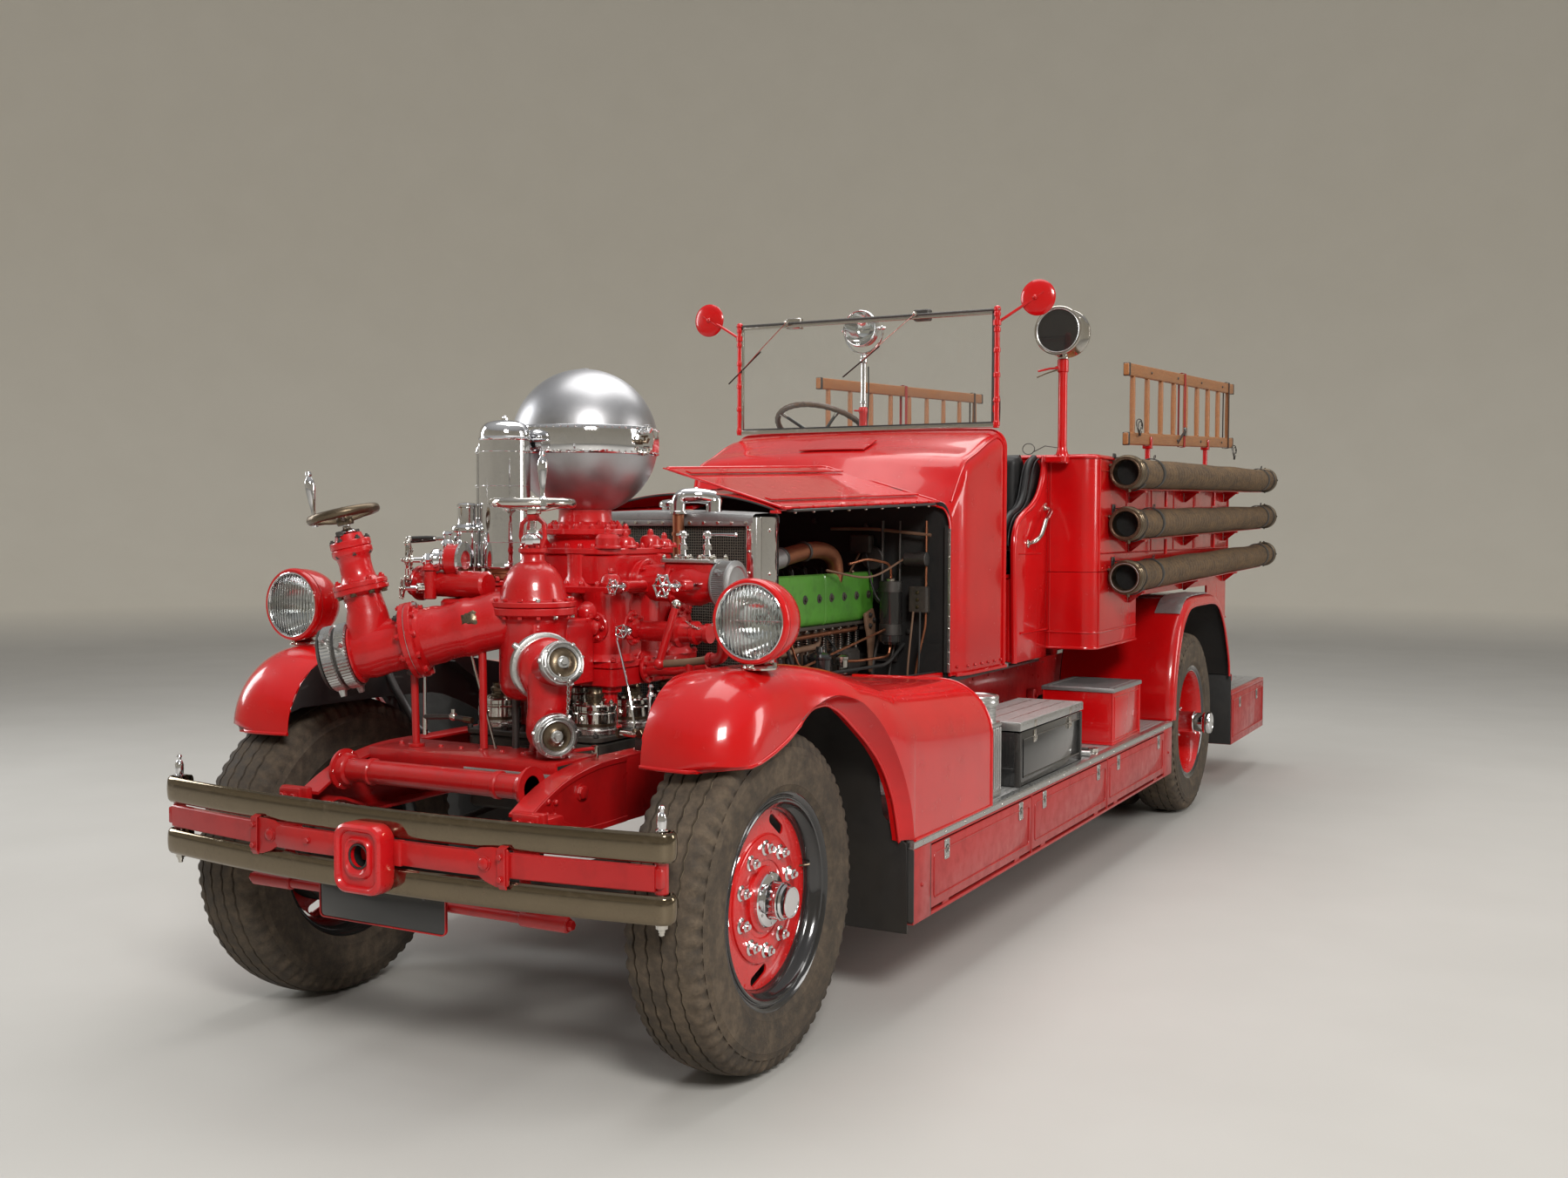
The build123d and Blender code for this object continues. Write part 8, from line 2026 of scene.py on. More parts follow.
    # what hangs in front of the bulkhead: vacuum tank, coil, boxes, wiring and pipes
    p.cyl((0.40, 1.985, 1.10), (0.40, 1.985, 1.36), 0.048, BLACK, 28, bev=0.012)
    for z in (1.14, 1.32):
        p.ring((0.40, 1.985, z), (0, 0, 1), 0.0505, 0.018, 0.046, DARK_STEEL, 28)
    p.cyl((0.40, 1.985, 1.36), (0.40, 1.985, 1.378), 0.020, CHROME_OLD, 20, bev=0.003)
    p.tube(bend([(0.40, 1.985, 1.378), (0.40, 1.975, 1.44), (0.33, 1.90, 1.46), (0.30, 1.78, 1.44)], 0.03), 0.006, COPPER, 8)
    p.tube(bend([(0.40, 1.985, 1.105), (0.40, 1.965, 1.05), (0.36, 1.75, 1.045), (0.345, 1.66, 1.05)], 0.03), 0.006, COPPER, 8)
    rbox(p, 0.475, 0.560, 1.992, 2.034, 1.235, 1.345, IRON, 0.010, 0.004)
    for z in (1.26, 1.29, 1.32):
        p.bolt((0.5175, 1.992, z), (0, -1, 0), 0.006, BRASS_DK)
    rbox(p, 0.20, 0.30, 1.990, 2.034, 1.48, 1.56, IRON, 0.012, 0.005)
    p.cyl((0.46, 1.995, 1.46), (0.56, 1.995, 1.46), 0.030, DARK_STEEL, 24, bev=0.004)
    p.bolt((0.46, 1.995, 1.46), (-1, 0, 0), 0.010, BRASS_DK)
    for i, (a, b) in enumerate((((0.25, 1.99, 1.48), (0.31, 1.80, 1.41)), ((0.28, 1.99, 1.48), (0.42, 1.97, 1.24)), ((0.50, 1.99, 1.24), (0.475, 1.985, 0.91)), ((0.53, 1.99, 1.24), (0.515, 1.99, 0.91)), ((0.46, 1.985, 1.46), (0.31, 1.55, 1.42)))):
        a, b = vec(a), vec(b)
        m_ = (a + b) / 2 + vec((0.012 * (i - 2), -0.02, -0.05))
        p.tube(spline([a, m_, b], 8), 0.0045, RUBBER if i % 2 else BROWN_IRON, 8)
    for x in (0.345, 0.425, 0.545):
        p.tube(bend([(x, 2.020, 1.62), (x, 2.016, 1.18), (x - 0.03, 2.005, 1.04), (x - 0.045, 1.99, 0.90)], 0.03), 0.0055 if x > 0.4 else 0.008, DARK_STEEL if x < 0.5 else COPPER, 8)
    p.tube(bend([(0.565, 2.02, 1.56), (0.30, 2.02, 1.585), (0.10, 2.02, 1.585)], 0.03), 0.007, BROWN_IRON, 8)
    # loose lines along the sills
    p.tube(bend([(0.235, 1.06, 1.30), (0.33, 1.12, 1.22), (0.36, 1.20, 1.02), (0.42, 1.9, 1.02), (0.44, 2.035, 1.10)], 0.05), 0.007, RUBBER, 8)
    p.tube(bend([(0.235, 1.12, 1.24), (0.31, 1.18, 1.24), (0.34, 1.26, 1.05), (0.40, 2.035, 1.18)], 0.04), 0.005, COPPER, 8)
    for x, z, r, m in ((-0.2, 1.35, 0.055, RUBBER), (0.30, 1.46, 0.05, DARK_STEEL), (0.35, 1.30, 0.04, BLACK)):
        p.cyl((x, 2.032, z), (x, 2.008, z), r, m, 24, bev=0.004)
    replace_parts(p.make("engine_detail"), "engine_block")


engine()


def hoodtop():
    p = Piece()

    def sec(t):
        y = 0.984 + (2.044 - 0.984) * t
        hw, ze, zc = 0.382 + 0.186 * t, 1.653 + 0.040 * t, 1.714 + 0.074 * t
        return y, hw, ze, zc

    rows = []
    for t in np.linspace(0, 1, 22):
        y, hw, ze, zc = sec(t)
        rows.append([(hw * q, y, ze + (zc - ze) * (1 - abs(q) ** 2.2)) for q in np.linspace(-1, 1, 31)])
    p.skin(np.array(rows), 0.005, RED, inner=RED)
    # centre hinge bead and rolled edges
    p.tube([(0, sec(t)[0], sec(t)[3] + 0.002) for t in np.linspace(0.01, 0.99, 24)], 0.0055, RED, 10)
    for k, t in enumerate(np.linspace(0.02, 0.98, 40)):
        y, hw, ze, zc = sec(t)
        if k % 2:
            p.cyl((0, y - 0.011, zc + 0.002), (0, y + 0.011, zc + 0.002), 0.0072, RED, 12)
    for s in (1, -1):
        p.tube([(s * sec(t)[1], sec(t)[0], sec(t)[2]) for t in np.linspace(0, 1, 20)], 0.0045, RED, 8)
    p.tube([(r[0], r[1] - 0.000, r[2]) for r in rows[0]], 0.0040, RUBBER, 8)
    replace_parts(p.make("hood_top_sheet"), "hood_top")


hoodtop()
H0, H1 = vec((0.415, 0.985, 1.660)), vec((0.600, 2.020, 1.700))
HD = unit(H1 - H0)


def hood_panel(s, body, down):
    """Side panel: sheet with a rolled rim, bead line, stiffening channel and louvres on its lower half."""
    p = Piece()
    L = np.linalg.norm(H1 - H0)
    h0 = H0 * (s, 1, 1)
    d = unit((H1 - H0) * (s, 1, 1))
    down = unit(down - d * np.dot(down, d))
    n = unit(np.cross(d, down))
    if down[2] < -0.7 and n[0] * s < 0:
        n = -n
    if down[2] > -0.7 and n[2] > 0:
        n = -n          # stowed: the outer face looks down
    W = 0.606
    p.skin(np.array([[h0 + d * (L * u) + down * (0.006 + (W - 0.006) * v) for v in np.linspace(0, 1, 13)] for u in np.linspace(0, 1, 17)]), 0.004, RED, inner=RED)

    def at(u, v, e=0.0):
        return h0 + d * u + down * v + n * e

    rim = [at(0.003, 0.01), at(0.003, W - 0.02), at(0.02, W - 0.003), at(L - 0.02, W - 0.003), at(L - 0.003, W - 0.02), at(L - 0.003, 0.01)]
    for e in (0.0,):
        p.tube(bend(rim, 0.02), 0.0052, RED, 8)
    # hinge rod with knuckles
    p.tube([at(0.0, 0.0), at(L, 0.0)], 0.0038, RED, 8)
    for k in range(24):
        a = L * (k + 0.1) / 24
        if k % 2 == 0:
            p.tube([at(a, 0.0), at(a + L / 26, 0.0)], 0.0062, RED, 10)
    # back stiffeners
    for v in (0.10, 0.50):
        p.strip([at(0.03, v, -0.008), at(L - 0.03, v, -0.008)], 0.03, 0.006, down, RED)
    # louvres
    for k in range(15):
        a = 0.15 + (L - 0.30) * k / 14
        sec_ = []
        for v in np.linspace(0.17, 0.45, 9):
            q = (v - 0.17) / 0.28
            hgt = 0.0085 * min(1, 8 * q, 8 * (1 - q))
            sec_.append([at(a - 0.012, v, 0.0002), at(a - 0.004, v, hgt * 0.6), at(a + 0.006, v, hgt), at(a + 0.0075, v, hgt * 0.9), at(a + 0.008, v, 0.0)])
        p.grid(np.array(sec_), RED)
        # near-black strip behind the louvre: painted shade in its gap
        p.grid(np.array([[at(a + 0.0083, v, 0.0006), at(a + 0.0175, v, 0.0006)] for v in np.linspace(0.175, 0.445, 5)]), BLACK_MARK_AND_HOLE_SHADE)
    # lock handles
    for a in (0.16, L - 0.16):
        q = at(a, W - 0.055, 0.0)
        p.lathe(q, n, [(0.017, 0), (0.017, 0.004), (0.010, 0.007), (0.009, 0.016), (0, 0.017)], CHROME_OLD, 18)
        p.tube([q + n * 0.016 - d * 0.012, q + n * 0.018 + d * 0.045], [0.006, 0.0045], CHROME_OLD, 10)
    return p


# the left panel lies folded on the hood, the right one hangs shut
_dn = unit((-math.cos(radians(14.6)), 0, math.sin(radians(14.6))))
_q = hood_panel(1, "hood_side_left", _dn)
# rubber-lined dark channel and clips along its inner edge
_q.strip([(H0 + HD * t + vec((0, 0, -0.010))) for t in (0.040, 1.000)], 0.030, 0.010, (1, 0, 0), BLACK_WORN)
for _t in np.linspace(0.07, 0.97, 9):
    _q.bolt(H0 + HD * _t + vec((0, 0, -0.016)), (0, 0, -1), 0.007, STEEL, kind="round", washer=False)
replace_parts(_q.make("hood_panel_left", body="hood_side_left"), "hood_side_left")
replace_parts(hood_panel(-1, "hood_side_right", vec((-0.06, 0, -1))).make("hood_panel_right", body="hood_side_right"), "hood_side_right")


# ---- cowl
CROWS = ((2.050, 0.640, 1.600, 0.596, 1.688, 1.786), (2.105, 0.654, 1.700, 0.598, 1.784, 1.850), (2.160, 0.672, 1.800, 0.604, 1.880, 1.904), (2.300, 0.680, 1.856, 0.606, 1.934, 1.955), (2.440, 0.686, 1.910, 0.608, 1.990, 2.002), (2.580, 0.690, 1.950, 0.610, 2.030, 2.038))


def cowl_row(y, e=0.0, k=40):
    """Half section of the cowl: side, rounded shoulder, crown. Returns points from the foot to the centre."""
    hw, zf, xe, ze, zc = interp(CROWS, y)
    hw += e
    zc += e
    ze += e
    xe += e * 0.5
    pts = [(hw, y, 0.970), (hw, y, 1.12), (hw, y, 1.30), (hw, y, 1.45), (hw, y, zf - 0.05), (hw, y, zf)]
    # shoulder: quarter curve from the side to the edge of the crown
    for t in np.linspace(0, pi / 2, 11)[1:]:
        pts.append((xe + (hw - xe) * cos(t), y, zf + (ze - zf) * sin(t)))
    for q in np.linspace(1, 0, 12)[1:]:
        pts.append((xe * q, y, ze + (zc - ze) * (1 - q ** 2.2)))
    return pts


def cowl():
    p = Piece()
    ys = list(np.linspace(2.050, 2.160, 8)) + list(np.linspace(2.19, 2.58, 14))
    rows = []
    for y in ys:
        h = cowl_row(y)
        rows.append(h + [(-x, yy, z) for x, yy, z in h[-2::-1]])
    p.skin(np.array(rows), 0.006, RED, flip=False, inner=BLACK_WORN)
    # points of a soft crease from the front shoulder to the windscreen foot, not drawn
    for s in (1, -1):
        crease = [(s * (interp(CROWS, y)[2] - 0.01 - 0.10 * (1 - (y - 2.05) / 0.53)), y, interp(CROWS, y)[3] + 0.006 * (1 - (y - 2.05) / 0.53)) for y in np.linspace(2.06, 2.57, 14)]
        # bead framing the shoulder and running down the side
        line = []
        for t in np.linspace(0, 1, 30):
            y = 2.052 + 0.0 * t
            h = cowl_row(y, 0.002)
            i = t * (len(h) - 1)
            a, b = h[int(i)], h[min(int(i) + 1, len(h) - 1)]
            f = i - int(i)
            line.append((s * (a[0] + (b[0] - a[0]) * f), y, a[2] + (b[2] - a[2]) * f))
        p.tube(line, 0.0065, RED, 10)
        # bright strip and dark rubber on the vertical edge
        hw = 0.640
        p.strip([(s * (hw - 0.002), 2.045, z) for z in (0.985, 1.30, 1.60)], 0.012, 0.004, (1, 0, 0), ALU)
        p.strip([(s * (hw - 0.016), 2.047, z) for z in (0.985, 1.30, 1.60)], 0.018, 0.006, (1, 0, 0), RUBBER)
        for z in np.linspace(1.02, 1.57, 12):
            p.bolt((s * (hw - 0.002), 2.043, z), (0, -1, 0), 0.0035, CHROME_OLD, kind="round", washer=False)
        # bead along the shoulder: from the front over to the side and down to the sill
        bead = []
        for t in np.linspace(0, 1, 16):
            y = 2.07 + 0.46 * t
            hw_, zf, xe, ze, zc = interp(CROWS, y)
            bead.append((s * (xe + (hw_ - xe) * 0.72), y, zf + (ze - zf) * 0.72 + 0.001))
        x_end = interp(CROWS, 2.57)[0] + 0.003
        for t in np.linspace(0, 1, 10)[1:]:
            a = t * pi / 2
            bead.append((s * (bead[15][0] * s + (x_end - bead[15][0] * s) * sin(a)), 2.53 + 0.030 * sin(a), bead[15][2] - 0.085 * (1 - cos(a))))
        z1 = bead[-1][2]
        bead += [(s * x_end, 2.562, z1 + (0.985 - z1) * t) for t in np.linspace(0.1, 1, 8)]
        p.tube(bead, 0.0058, RED, 10)
        # rear edge fold
        back = [(s * x, 2.579, z) for x, _, z in cowl_row(2.58, 0.001)]
        p.tube(back, 0.0062, RED, 10)
        # sill flange with screws
        p.strip([(s * 0.668, 2.06, 0.975), (s * 0.690, 2.16, 0.975), (s * 0.706, 2.57, 0.975)], 0.014, 0.006, (0, 0, 1), RED)
        for y in np.linspace(2.10, 2.54, 7):
            x = interp(CROWS, y)[0]
            p.bolt((s * (x + 0.003), y, 1.005), (s, 0, 0), 0.006, RED, kind="round", washer=False)
        # a point on the side, not used further
        a = vec((s * 0.688, 2.42, 1.60))
    # rubber strip on the front edge with its red underside
    h = cowl_row(2.050, 0.001)
    full = h[5:] + [(-x, yy, z) for x, yy, z in h[-2:4:-1]]
    p.strip([(x, 2.046, z) for x, _, z in full], 0.020, 0.010, (0, 0, 1), RUBBER)
    p.tube([(x, 2.040, z - 0.013) for x, _, z in full], 0.0045, RED, 8)
    # vent lid on the crown
    a = 2.26
    vent = []
    for y in np.linspace(2.22, 2.36, 6):
        zc = interp(CROWS, y)[4]
        vent.append([(x, y, zc + 0.006 - 0.30 * (abs(x) / 0.606) ** 2.2 * 0.1) for x in np.linspace(-0.16, 0.16, 9)])
    p.skin(np.array(vent), 0.005, RED, inner=RED)
    # bulkhead between engine and cab, dash plate with gauges
    bh = [(x * 0.985, 2.062, z - 0.012) for x, _, z in cowl_row(2.062)]
    poly = [(x, z) for x, _, z in bh] + [(-x, z) for x, _, z in bh[-2::-1]]
    # bulkhead plate in near-black: black paint plus painted shade
    p.prism([(x, z - 1.3) for x, z in poly], (0, 2.066, 1.3), (1, 0, 0), (0, 0, 1), 0.006, BULKHEAD_BLACK_AND_SHADE, 0.0, both=True)
    for x, z in ((-0.45, 1.15), (-0.45, 1.45), (0.45, 1.15), (0.45, 1.45), (0.0, 1.62), (-0.25, 1.6), (0.25, 1.6)):
        p.bolt((x, 2.060, z), (0, -1, 0), 0.010, DARK_STEEL)
    p.box(-0.40, 0.40, 2.046, 2.060, 1.02, 1.05, BLACK_WORN, 0.002)
    cc = [(x, 2.50, z) for x, _, z in cowl_row(2.50, -0.008)]
    lo = 1.742
    top = [(x, z) for x, _, z in cc if z > lo]
    poly = [(top[0][0], lo)] + top + [(-x, z) for x, z in top[-2::-1]] + [(-top[0][0], lo)]
    p.prism([(x, z - 1.85) for x, z in poly], (0, 2.496, 1.85), (1, 0, 0), (0, 0, 1), 0.010, BLACK, 0.002, both=True)
    p.tube([(x, 2.507, lo) for x in (-0.655, 0.655)], 0.010, LEATHER, 12)
    for x, R in ((-0.50, 0.048), (-0.375, 0.040), (-0.11, 0.055), (0.03, 0.040), (0.15, 0.055), (0.29, 0.040), (0.42, 0.048)):
        q = vec((x, 2.502, 1.895))
        p.lathe(q, (0, 1, 0), [(R * 0.86, 0.002), (R * 0.90, 0.006), (R, 0.008), (R, 0.002), (R, -0.004)], CHROME, 36)
        p.lathe(q, (0, 1, 0), [(0, 0.002), (R * 0.88, 0.002)], WHITE_MARK, 36)
        p.tube([q + (0, 0.0045, -R * 0.05), q + (R * 0.5 * cos(x * 9 + 2), 0.0045, R * 0.5 * sin(abs(x) * 5 + 0.6))], [0.0022, 0.0008], BLACK_MARK_AND_HOLE_SHADE, 6)
        for k in range(11):
            t = radians(225 - 27 * k)
            a = q + (R * 0.78 * cos(t), 0.0035, R * 0.78 * sin(t))
            b = q + (R * 0.66 * cos(t), 0.0035, R * 0.66 * sin(t))
            p.tube([a, b], 0.0009, BLACK_MARK_AND_HOLE_SHADE, 4)
    for x in (-0.25, -0.20, 0.08, 0.21, 0.35, 0.50):
        p.lathe((x, 2.502, 1.795), (0, 1, 0), [(0.012, 0), (0.012, 0.003), (0.006, 0.005), (0.006, 0.016), (0.011, 0.018), (0.012, 0.026), (0.008, 0.030), (0, 0.031)], CHROME if x < 0.2 else BLACK, 18)
    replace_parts(p.make("cowl_sheet"), "cowl")


cowl()


def sills():
    """Hood sills and the bright line where the side panel lands."""
    p = Piece()
    for s in (1, -1):
        rows = []
        for t in np.linspace(0, 1, 10):
            y = 0.980 + 1.07 * t
            xi, xo = 0.402 + 0.158 * t, 0.430 + 0.180 * t
            rows.append([(s * xi, y, 0.984), (s * (xo - 0.004), y, 0.984), (s * xo, y, 0.980), (s * xo, y, 0.906), (s * (xo - 0.005), y, 0.902), (s * xi, y, 0.960)])
        loft(p, rows, RED, True, True)
        p.strip([(s * (0.418 + 0.165 * t), 0.985 + 1.06 * t, 0.9865) for t in (0, 0.5, 1)], 0.012, 0.004, (1, 0, 0), RUBBER)
        for t in np.linspace(0.06, 0.95, 9):
            y = 0.980 + 1.07 * t
            p.bolt((s * (0.430 + 0.180 * t), y, 0.945), (s, -0.17, 0), 0.0075, RED, kind="round", washer=False)
        for t in (0.16, 0.84):
            y = 0.980 + 1.07 * t
            x = 0.430 + 0.180 * t
            p.obox((s * (x + 0.004), y, 0.945), (s, -0.17, 0), (0, 1, 0), (0.010, 0.034, 0.05), CHROME_OLD, 0.003)
        # hinge line carriers along the radiator and the cowl
        for q, w in ((H0, 0.05), (H1, 0.05)):
            a = q * (s, 1, 1)
            p.obox(a + vec((-s * 0.032, 0.0, -0.014)), (1, 0, 0), (0, 1, 0), (0.034, 0.030, 0.012), RED, 0.003)
    return p.make("hood_sills")


_o = sills()
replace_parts(_o, "hood_frame")
# ---------------------------------------------------------------- windscreen, mirrors, cab, lamps
def windscreen():
    p = Piece()
    for s in (1, -1):
        x, y = s * 0.656, 2.550
        # round post with knuckles, rail brackets and a bright wing nut on top
        p.cyl((x, y, 2.036), (x, y, 2.560), 0.0125, RED, 20)
        for z in (2.055, 2.16, 2.27, 2.38, 2.47, 2.54):
            p.lathe((x, y, z - 0.012), (0, 0, 1), [(0.0125, 0), (0.0155, 0.004), (0.0160, 0.012), (0.0155, 0.020), (0.0125, 0.024)], RED, 20)
        p.ball((x, y, 2.561), 0.0165, RED, 18, 10)
        p.cyl((x - s * 0.012, y, 2.557), (x + s * 0.013, y, 2.557), 0.0075, CHROME_OLD, 12, bev=0.001)
        p.tube([(x + s * 0.010, y, 2.555), (x + s * 0.0125, y - 0.012, 2.560)], 0.004, CHROME_OLD, 8)
        p.box(x - 0.010, x + 0.010, y - 0.012, y + 0.012, 2.036, 2.052, RED, 0.003)
        p.tube(spline([(x, y + 0.004, 2.20), (x + s * 0.012, y + 0.008, 2.16), (x + s * 0.010, y + 0.008, 2.06), (x - s * 0.002, y + 0.01, 2.038)], 6), 0.0030, RUBBER, 6)
        # mirror arm, clamp, red cup
        a, b = vec((s * 0.655, 2.550, 2.500)), vec((s * 0.800, 2.560, 2.586))
        c = vec((s * 0.838, 2.556, 2.602))
        p.tube([a, b, c + (-s * 0.01, 0.008, 0)], 0.0065, RED, 12)
        p.lathe(a - (0, 0, 0.013), (0, 0, 1), [(0.0125, 0), (0.019, 0.002), (0.019, 0.024), (0.0125, 0.026)], RED, 20)
        p.ball(c + (-s * 0.008, -0.006, 0), 0.012, RED, 14, 8)
        p.lathe(c, (0, 1, 0), [(0, -0.006), (0.012, -0.0065), (0.035, -0.004), (0.060, 0.000), (0.074, 0.004), (0.0790, 0.008), (0.0795, 0.012), (0.0770, 0.0145), (0.0740, 0.0135)], RED, 48)
        p.lathe(c, (0, 1, 0), [(0.0745, 0.0125), (0.072, 0.0128), (0, 0.0128)], MIRROR, 48)
        p.tube([c + (-s * 0.052, -0.0035, -0.030), c + (s * 0.030, -0.0060, 0.022)], 0.0022, RED, 6)
    # bright channels round the glass; dark top rail
    p.tube([(-0.668, 2.550, 2.557), (0.668, 2.550, 2.557)], 0.0085, DARK_STEEL, 14)
    p.box(-0.645, 0.645, 2.5425, 2.5575, 2.540, 2.553, CHROME_OLD, 0.002)
    p.box(-0.645, 0.645, 2.5415, 2.5585, 2.037, 2.058, CHROME_OLD, 0.003)
    p.box(-0.645, 0.645, 2.5445, 2.5555, 2.056, 2.064, RUBBER, 0.001)
    for s in (1, -1):
        p.box(s * 0.634, s * 0.645, 2.5425, 2.5575, 2.045, 2.553, DARK_STEEL if s > 0 else CHROME_OLD, 0.002)
        for z in (2.12, 2.50):
            p.box(s * 0.640, s * 0.650, 2.542, 2.558, z - 0.016, z + 0.016, RED, 0.003)
    # wiper motors on the top rail, arms and blades
    for x, dx in ((-0.38, -0.24), (0.28, -0.28)):
        rbox(p, x - 0.035, x + 0.045, 2.562, 2.606, 2.535, 2.585, DARK_STEEL if x > 0 else CHROME_OLD, 0.012, 0.004)
        p.cyl((x - 0.012, 2.565, 2.562), (x - 0.012, 2.527, 2.562), 0.0065, CHROME_OLD, 12)
        p.bolt((x - 0.012, 2.529, 2.562), (0, -1, 0), 0.0095, CHROME_OLD, kind="acorn")
        e = vec((x + dx, 2.536, 2.562 - 0.20))
        p.tube([(x - 0.012, 2.530, 2.562), ((x + e[0]) / 2 - 0.006, 2.528, (2.562 + e[2]) / 2), e], 0.0022, CHROME_OLD, 6)
        d = unit(e - vec((x, 2.536, 2.562)))
        p.tube([e - d * 0.11 + (0, 0.004, 0), e + d * 0.12 + (0, 0.004, 0)], 0.0034, RUBBER, 6)
        p.strip([e - d * 0.105 + (0, 0.001, 0), e + d * 0.115 + (0, 0.001, 0)], 0.006, 0.002, (0, 1, 0), DARK_STEEL)
    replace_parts(p.make("windscreen_posts"), "windscreen_frame")
    q = Piece()
    q.box(-0.6345, 0.6345, 2.5480, 2.5520, 2.060, 2.542, PANE, 0.0)
    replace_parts(q.make("windscreen_pane", slot="glass"), "windscreen_glass")


windscreen()


def pad(p, x0, x1, y0, y1, z0, z1, m, axis=2, sign=1, r=0.035, crown=0.016, channels=8, groove=0.010, gw=0.007, n=(72, 30, 14), across=0):
    """Stuffed pad: closed rounded block, one face crowned and sewn in channels that run square to `across`."""
    lo, hi = vec((x0, y0, z0)), vec((x1, y1, z1))
    mid, half = (lo + hi) / 2, (hi - lo) / 2
    dims = list(n)

    def shape(q):
        # q: unit cube point; round edges, then swell and sew the worked face
        c = np.array([q[0] * half[0], q[1] * half[1], q[2] * half[2]])
        inner = np.maximum(half - r, 1e-4)
        core = np.clip(c, -inner, inner)
        d = c - core
        ln = np.linalg.norm(d)
        if ln > 1e-9:
            k = np.max(np.abs(d))
            c = core + d / ln * k
        a = [i for i in range(3) if i != axis]
        w = (1 - abs(q[a[0]]) ** 4) * (1 - abs(q[a[1]]) ** 4)
        f = max(0.0, sign * q[axis])
        t = (q[across] + 1) / 2 * channels
        g = abs(t - round(t)) / channels * 2 * half[across]
        cell = abs(sin(pi * t)) ** 0.6
        inside = 0.15 < t < channels - 0.15
        lift = crown * w * (0.45 + 0.55 * cell)
        lift -= groove * math.exp(-(g / gw) ** 2) * (1 - abs(q[[i for i in a if i != across][0]]) ** 8) if inside else 0
        c[axis] += sign * lift * f ** 2
        # sides bulge a little
        for i in a:
            c[i] += math.copysign(0.006 * (1 - q[axis] ** 2), q[i]) * (1 if abs(q[i]) > 0.98 else 0)
        return mid + c

    for ax in range(3):
        o = [i for i in range(3) if i != ax]
        for sg in (-1, 1):
            u = np.linspace(-1, 1, dims[o[0]] + 1)
            v = np.linspace(-1, 1, dims[o[1]] + 1)
            # finer steps near the rounded edges
            u = np.sin(u * pi / 2) * 0.35 + u * 0.65
            v = np.sin(v * pi / 2) * 0.35 + v * 0.65
            g = []
            for a in u:
                row = []
                for b in v:
                    q = np.zeros(3)
                    q[o[0]], q[o[1]], q[ax] = a, b, sg
                    row.append(shape(q))
                g.append(row)
            p.grid(np.array(g), m)


def seat():
    p = Piece()
    pad(p, -0.630, 0.630, 2.722, 3.068, 1.3790, 1.478, LEATHER, 2, 1, 0.036, 0.024, 11, 0.012, 0.008, (132, 34, 12), 0)
    # piping round the top and bottom seams
    for z, e in ((1.466, 0.002), (1.392, 0.0015)):
        loop = [(x * 1.0, 2.895 + y, z) for x, y in rrect(1.262 + e, 0.348 + e, 0.040, 8)]
        p.tube(loop, 0.0048, LEATHER, 8, closed=True)
    for x in np.linspace(-0.52, 0.52, 5):
        p.lathe((x, 2.7195, 1.425), (0, -1, 0), [(0.010, 0), (0.010, 0.002), (0.004, 0.0025), (0.004, 0.0005)], CHROME_OLD, 14)
    _o = p.make("seat_cushion_soft", slot="leather", weld=0.0002)
    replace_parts(_o, "seat_cushion")

    p = Piece()
    pad(p, -0.572, 0.572, 3.088, 3.188, 1.5080, 1.935, LEATHER, 1, -1, 0.036, 0.022, 12, 0.011, 0.008, (120, 10, 34), 0)
    # rolled head along the top
    p.tube([(-0.560, 3.150, 1.918), (0.560, 3.150, 1.918)], 0.026, LEATHER, 20)
    for s in (1, -1):
        # side bolster with the S-shaped front edge, softly swollen inwards
        S = spline([(2.752, 1.512), (2.760, 1.560), (2.800, 1.618), (2.852, 1.652), (2.925, 1.672), (2.990, 1.702), (3.035, 1.748), (3.060, 1.800), (3.090, 1.862), (3.130, 1.905), (3.184, 1.928)], 4)
        g_in, g_out = [], []
        for y, z in S:
            base = [(y + (3.184 - y) * t, z + (1.512 - z) * t ** 1.0) for t in np.linspace(0, 1, 15)]
            base = [(yy, max(zz, 1.512)) for yy, zz in base]
            g_in.append([(s * (0.590 - 0.016 * math.sqrt(max(0.0, 1 - (2 * t - 1) ** 2)) + 0.018 * (1 - min(1, t * 9)) ** 2), yy, zz) for (yy, zz), t in zip(base, np.linspace(0, 1, 15))])
            g_out.append([(s * (0.650 - 0.022 * (1 - min(1, t * 9)) ** 2), yy, zz) for (yy, zz), t in zip(base, np.linspace(0, 1, 15))])
        p.grid(np.array(g_in), LEATHER)
        p.grid(np.array(g_out), LEATHER)
        edge = [(s * 0.619, y, z) for y, z in S]
        p.tube(edge, 0.0175, LEATHER, 16)
        p.tube([(s * 0.596, y - 0.004, z - 0.002) for y, z in S], 0.0040, LEATHER, 8)
        p.tube([(s * 0.645, y - 0.004, z - 0.002) for y, z in S], 0.0040, LEATHER, 8)
        p.grid(np.array([[(s * x, y, 1.512) for y in (2.752, 3.184)] for x in (0.59, 0.65)]), LEATHER)
        for k in range(3):
            q = [(s * (0.577 + 0.003 * abs(i - 4) / 4), 2.86 + 0.10 * k + 0.01 * sin(i), 1.535 + (0.10 + 0.04 * k) * i / 8) for i in range(9)]
            p.tube(q, 0.0022, LEATHER, 6)
    _o = p.make("seat_back_soft", slot="leather", weld=0.0002)
    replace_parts(_o, "seat_back")


seat()
PANEL = ((3.195, 0.970), (2.760, 0.970), (2.735, 1.500))


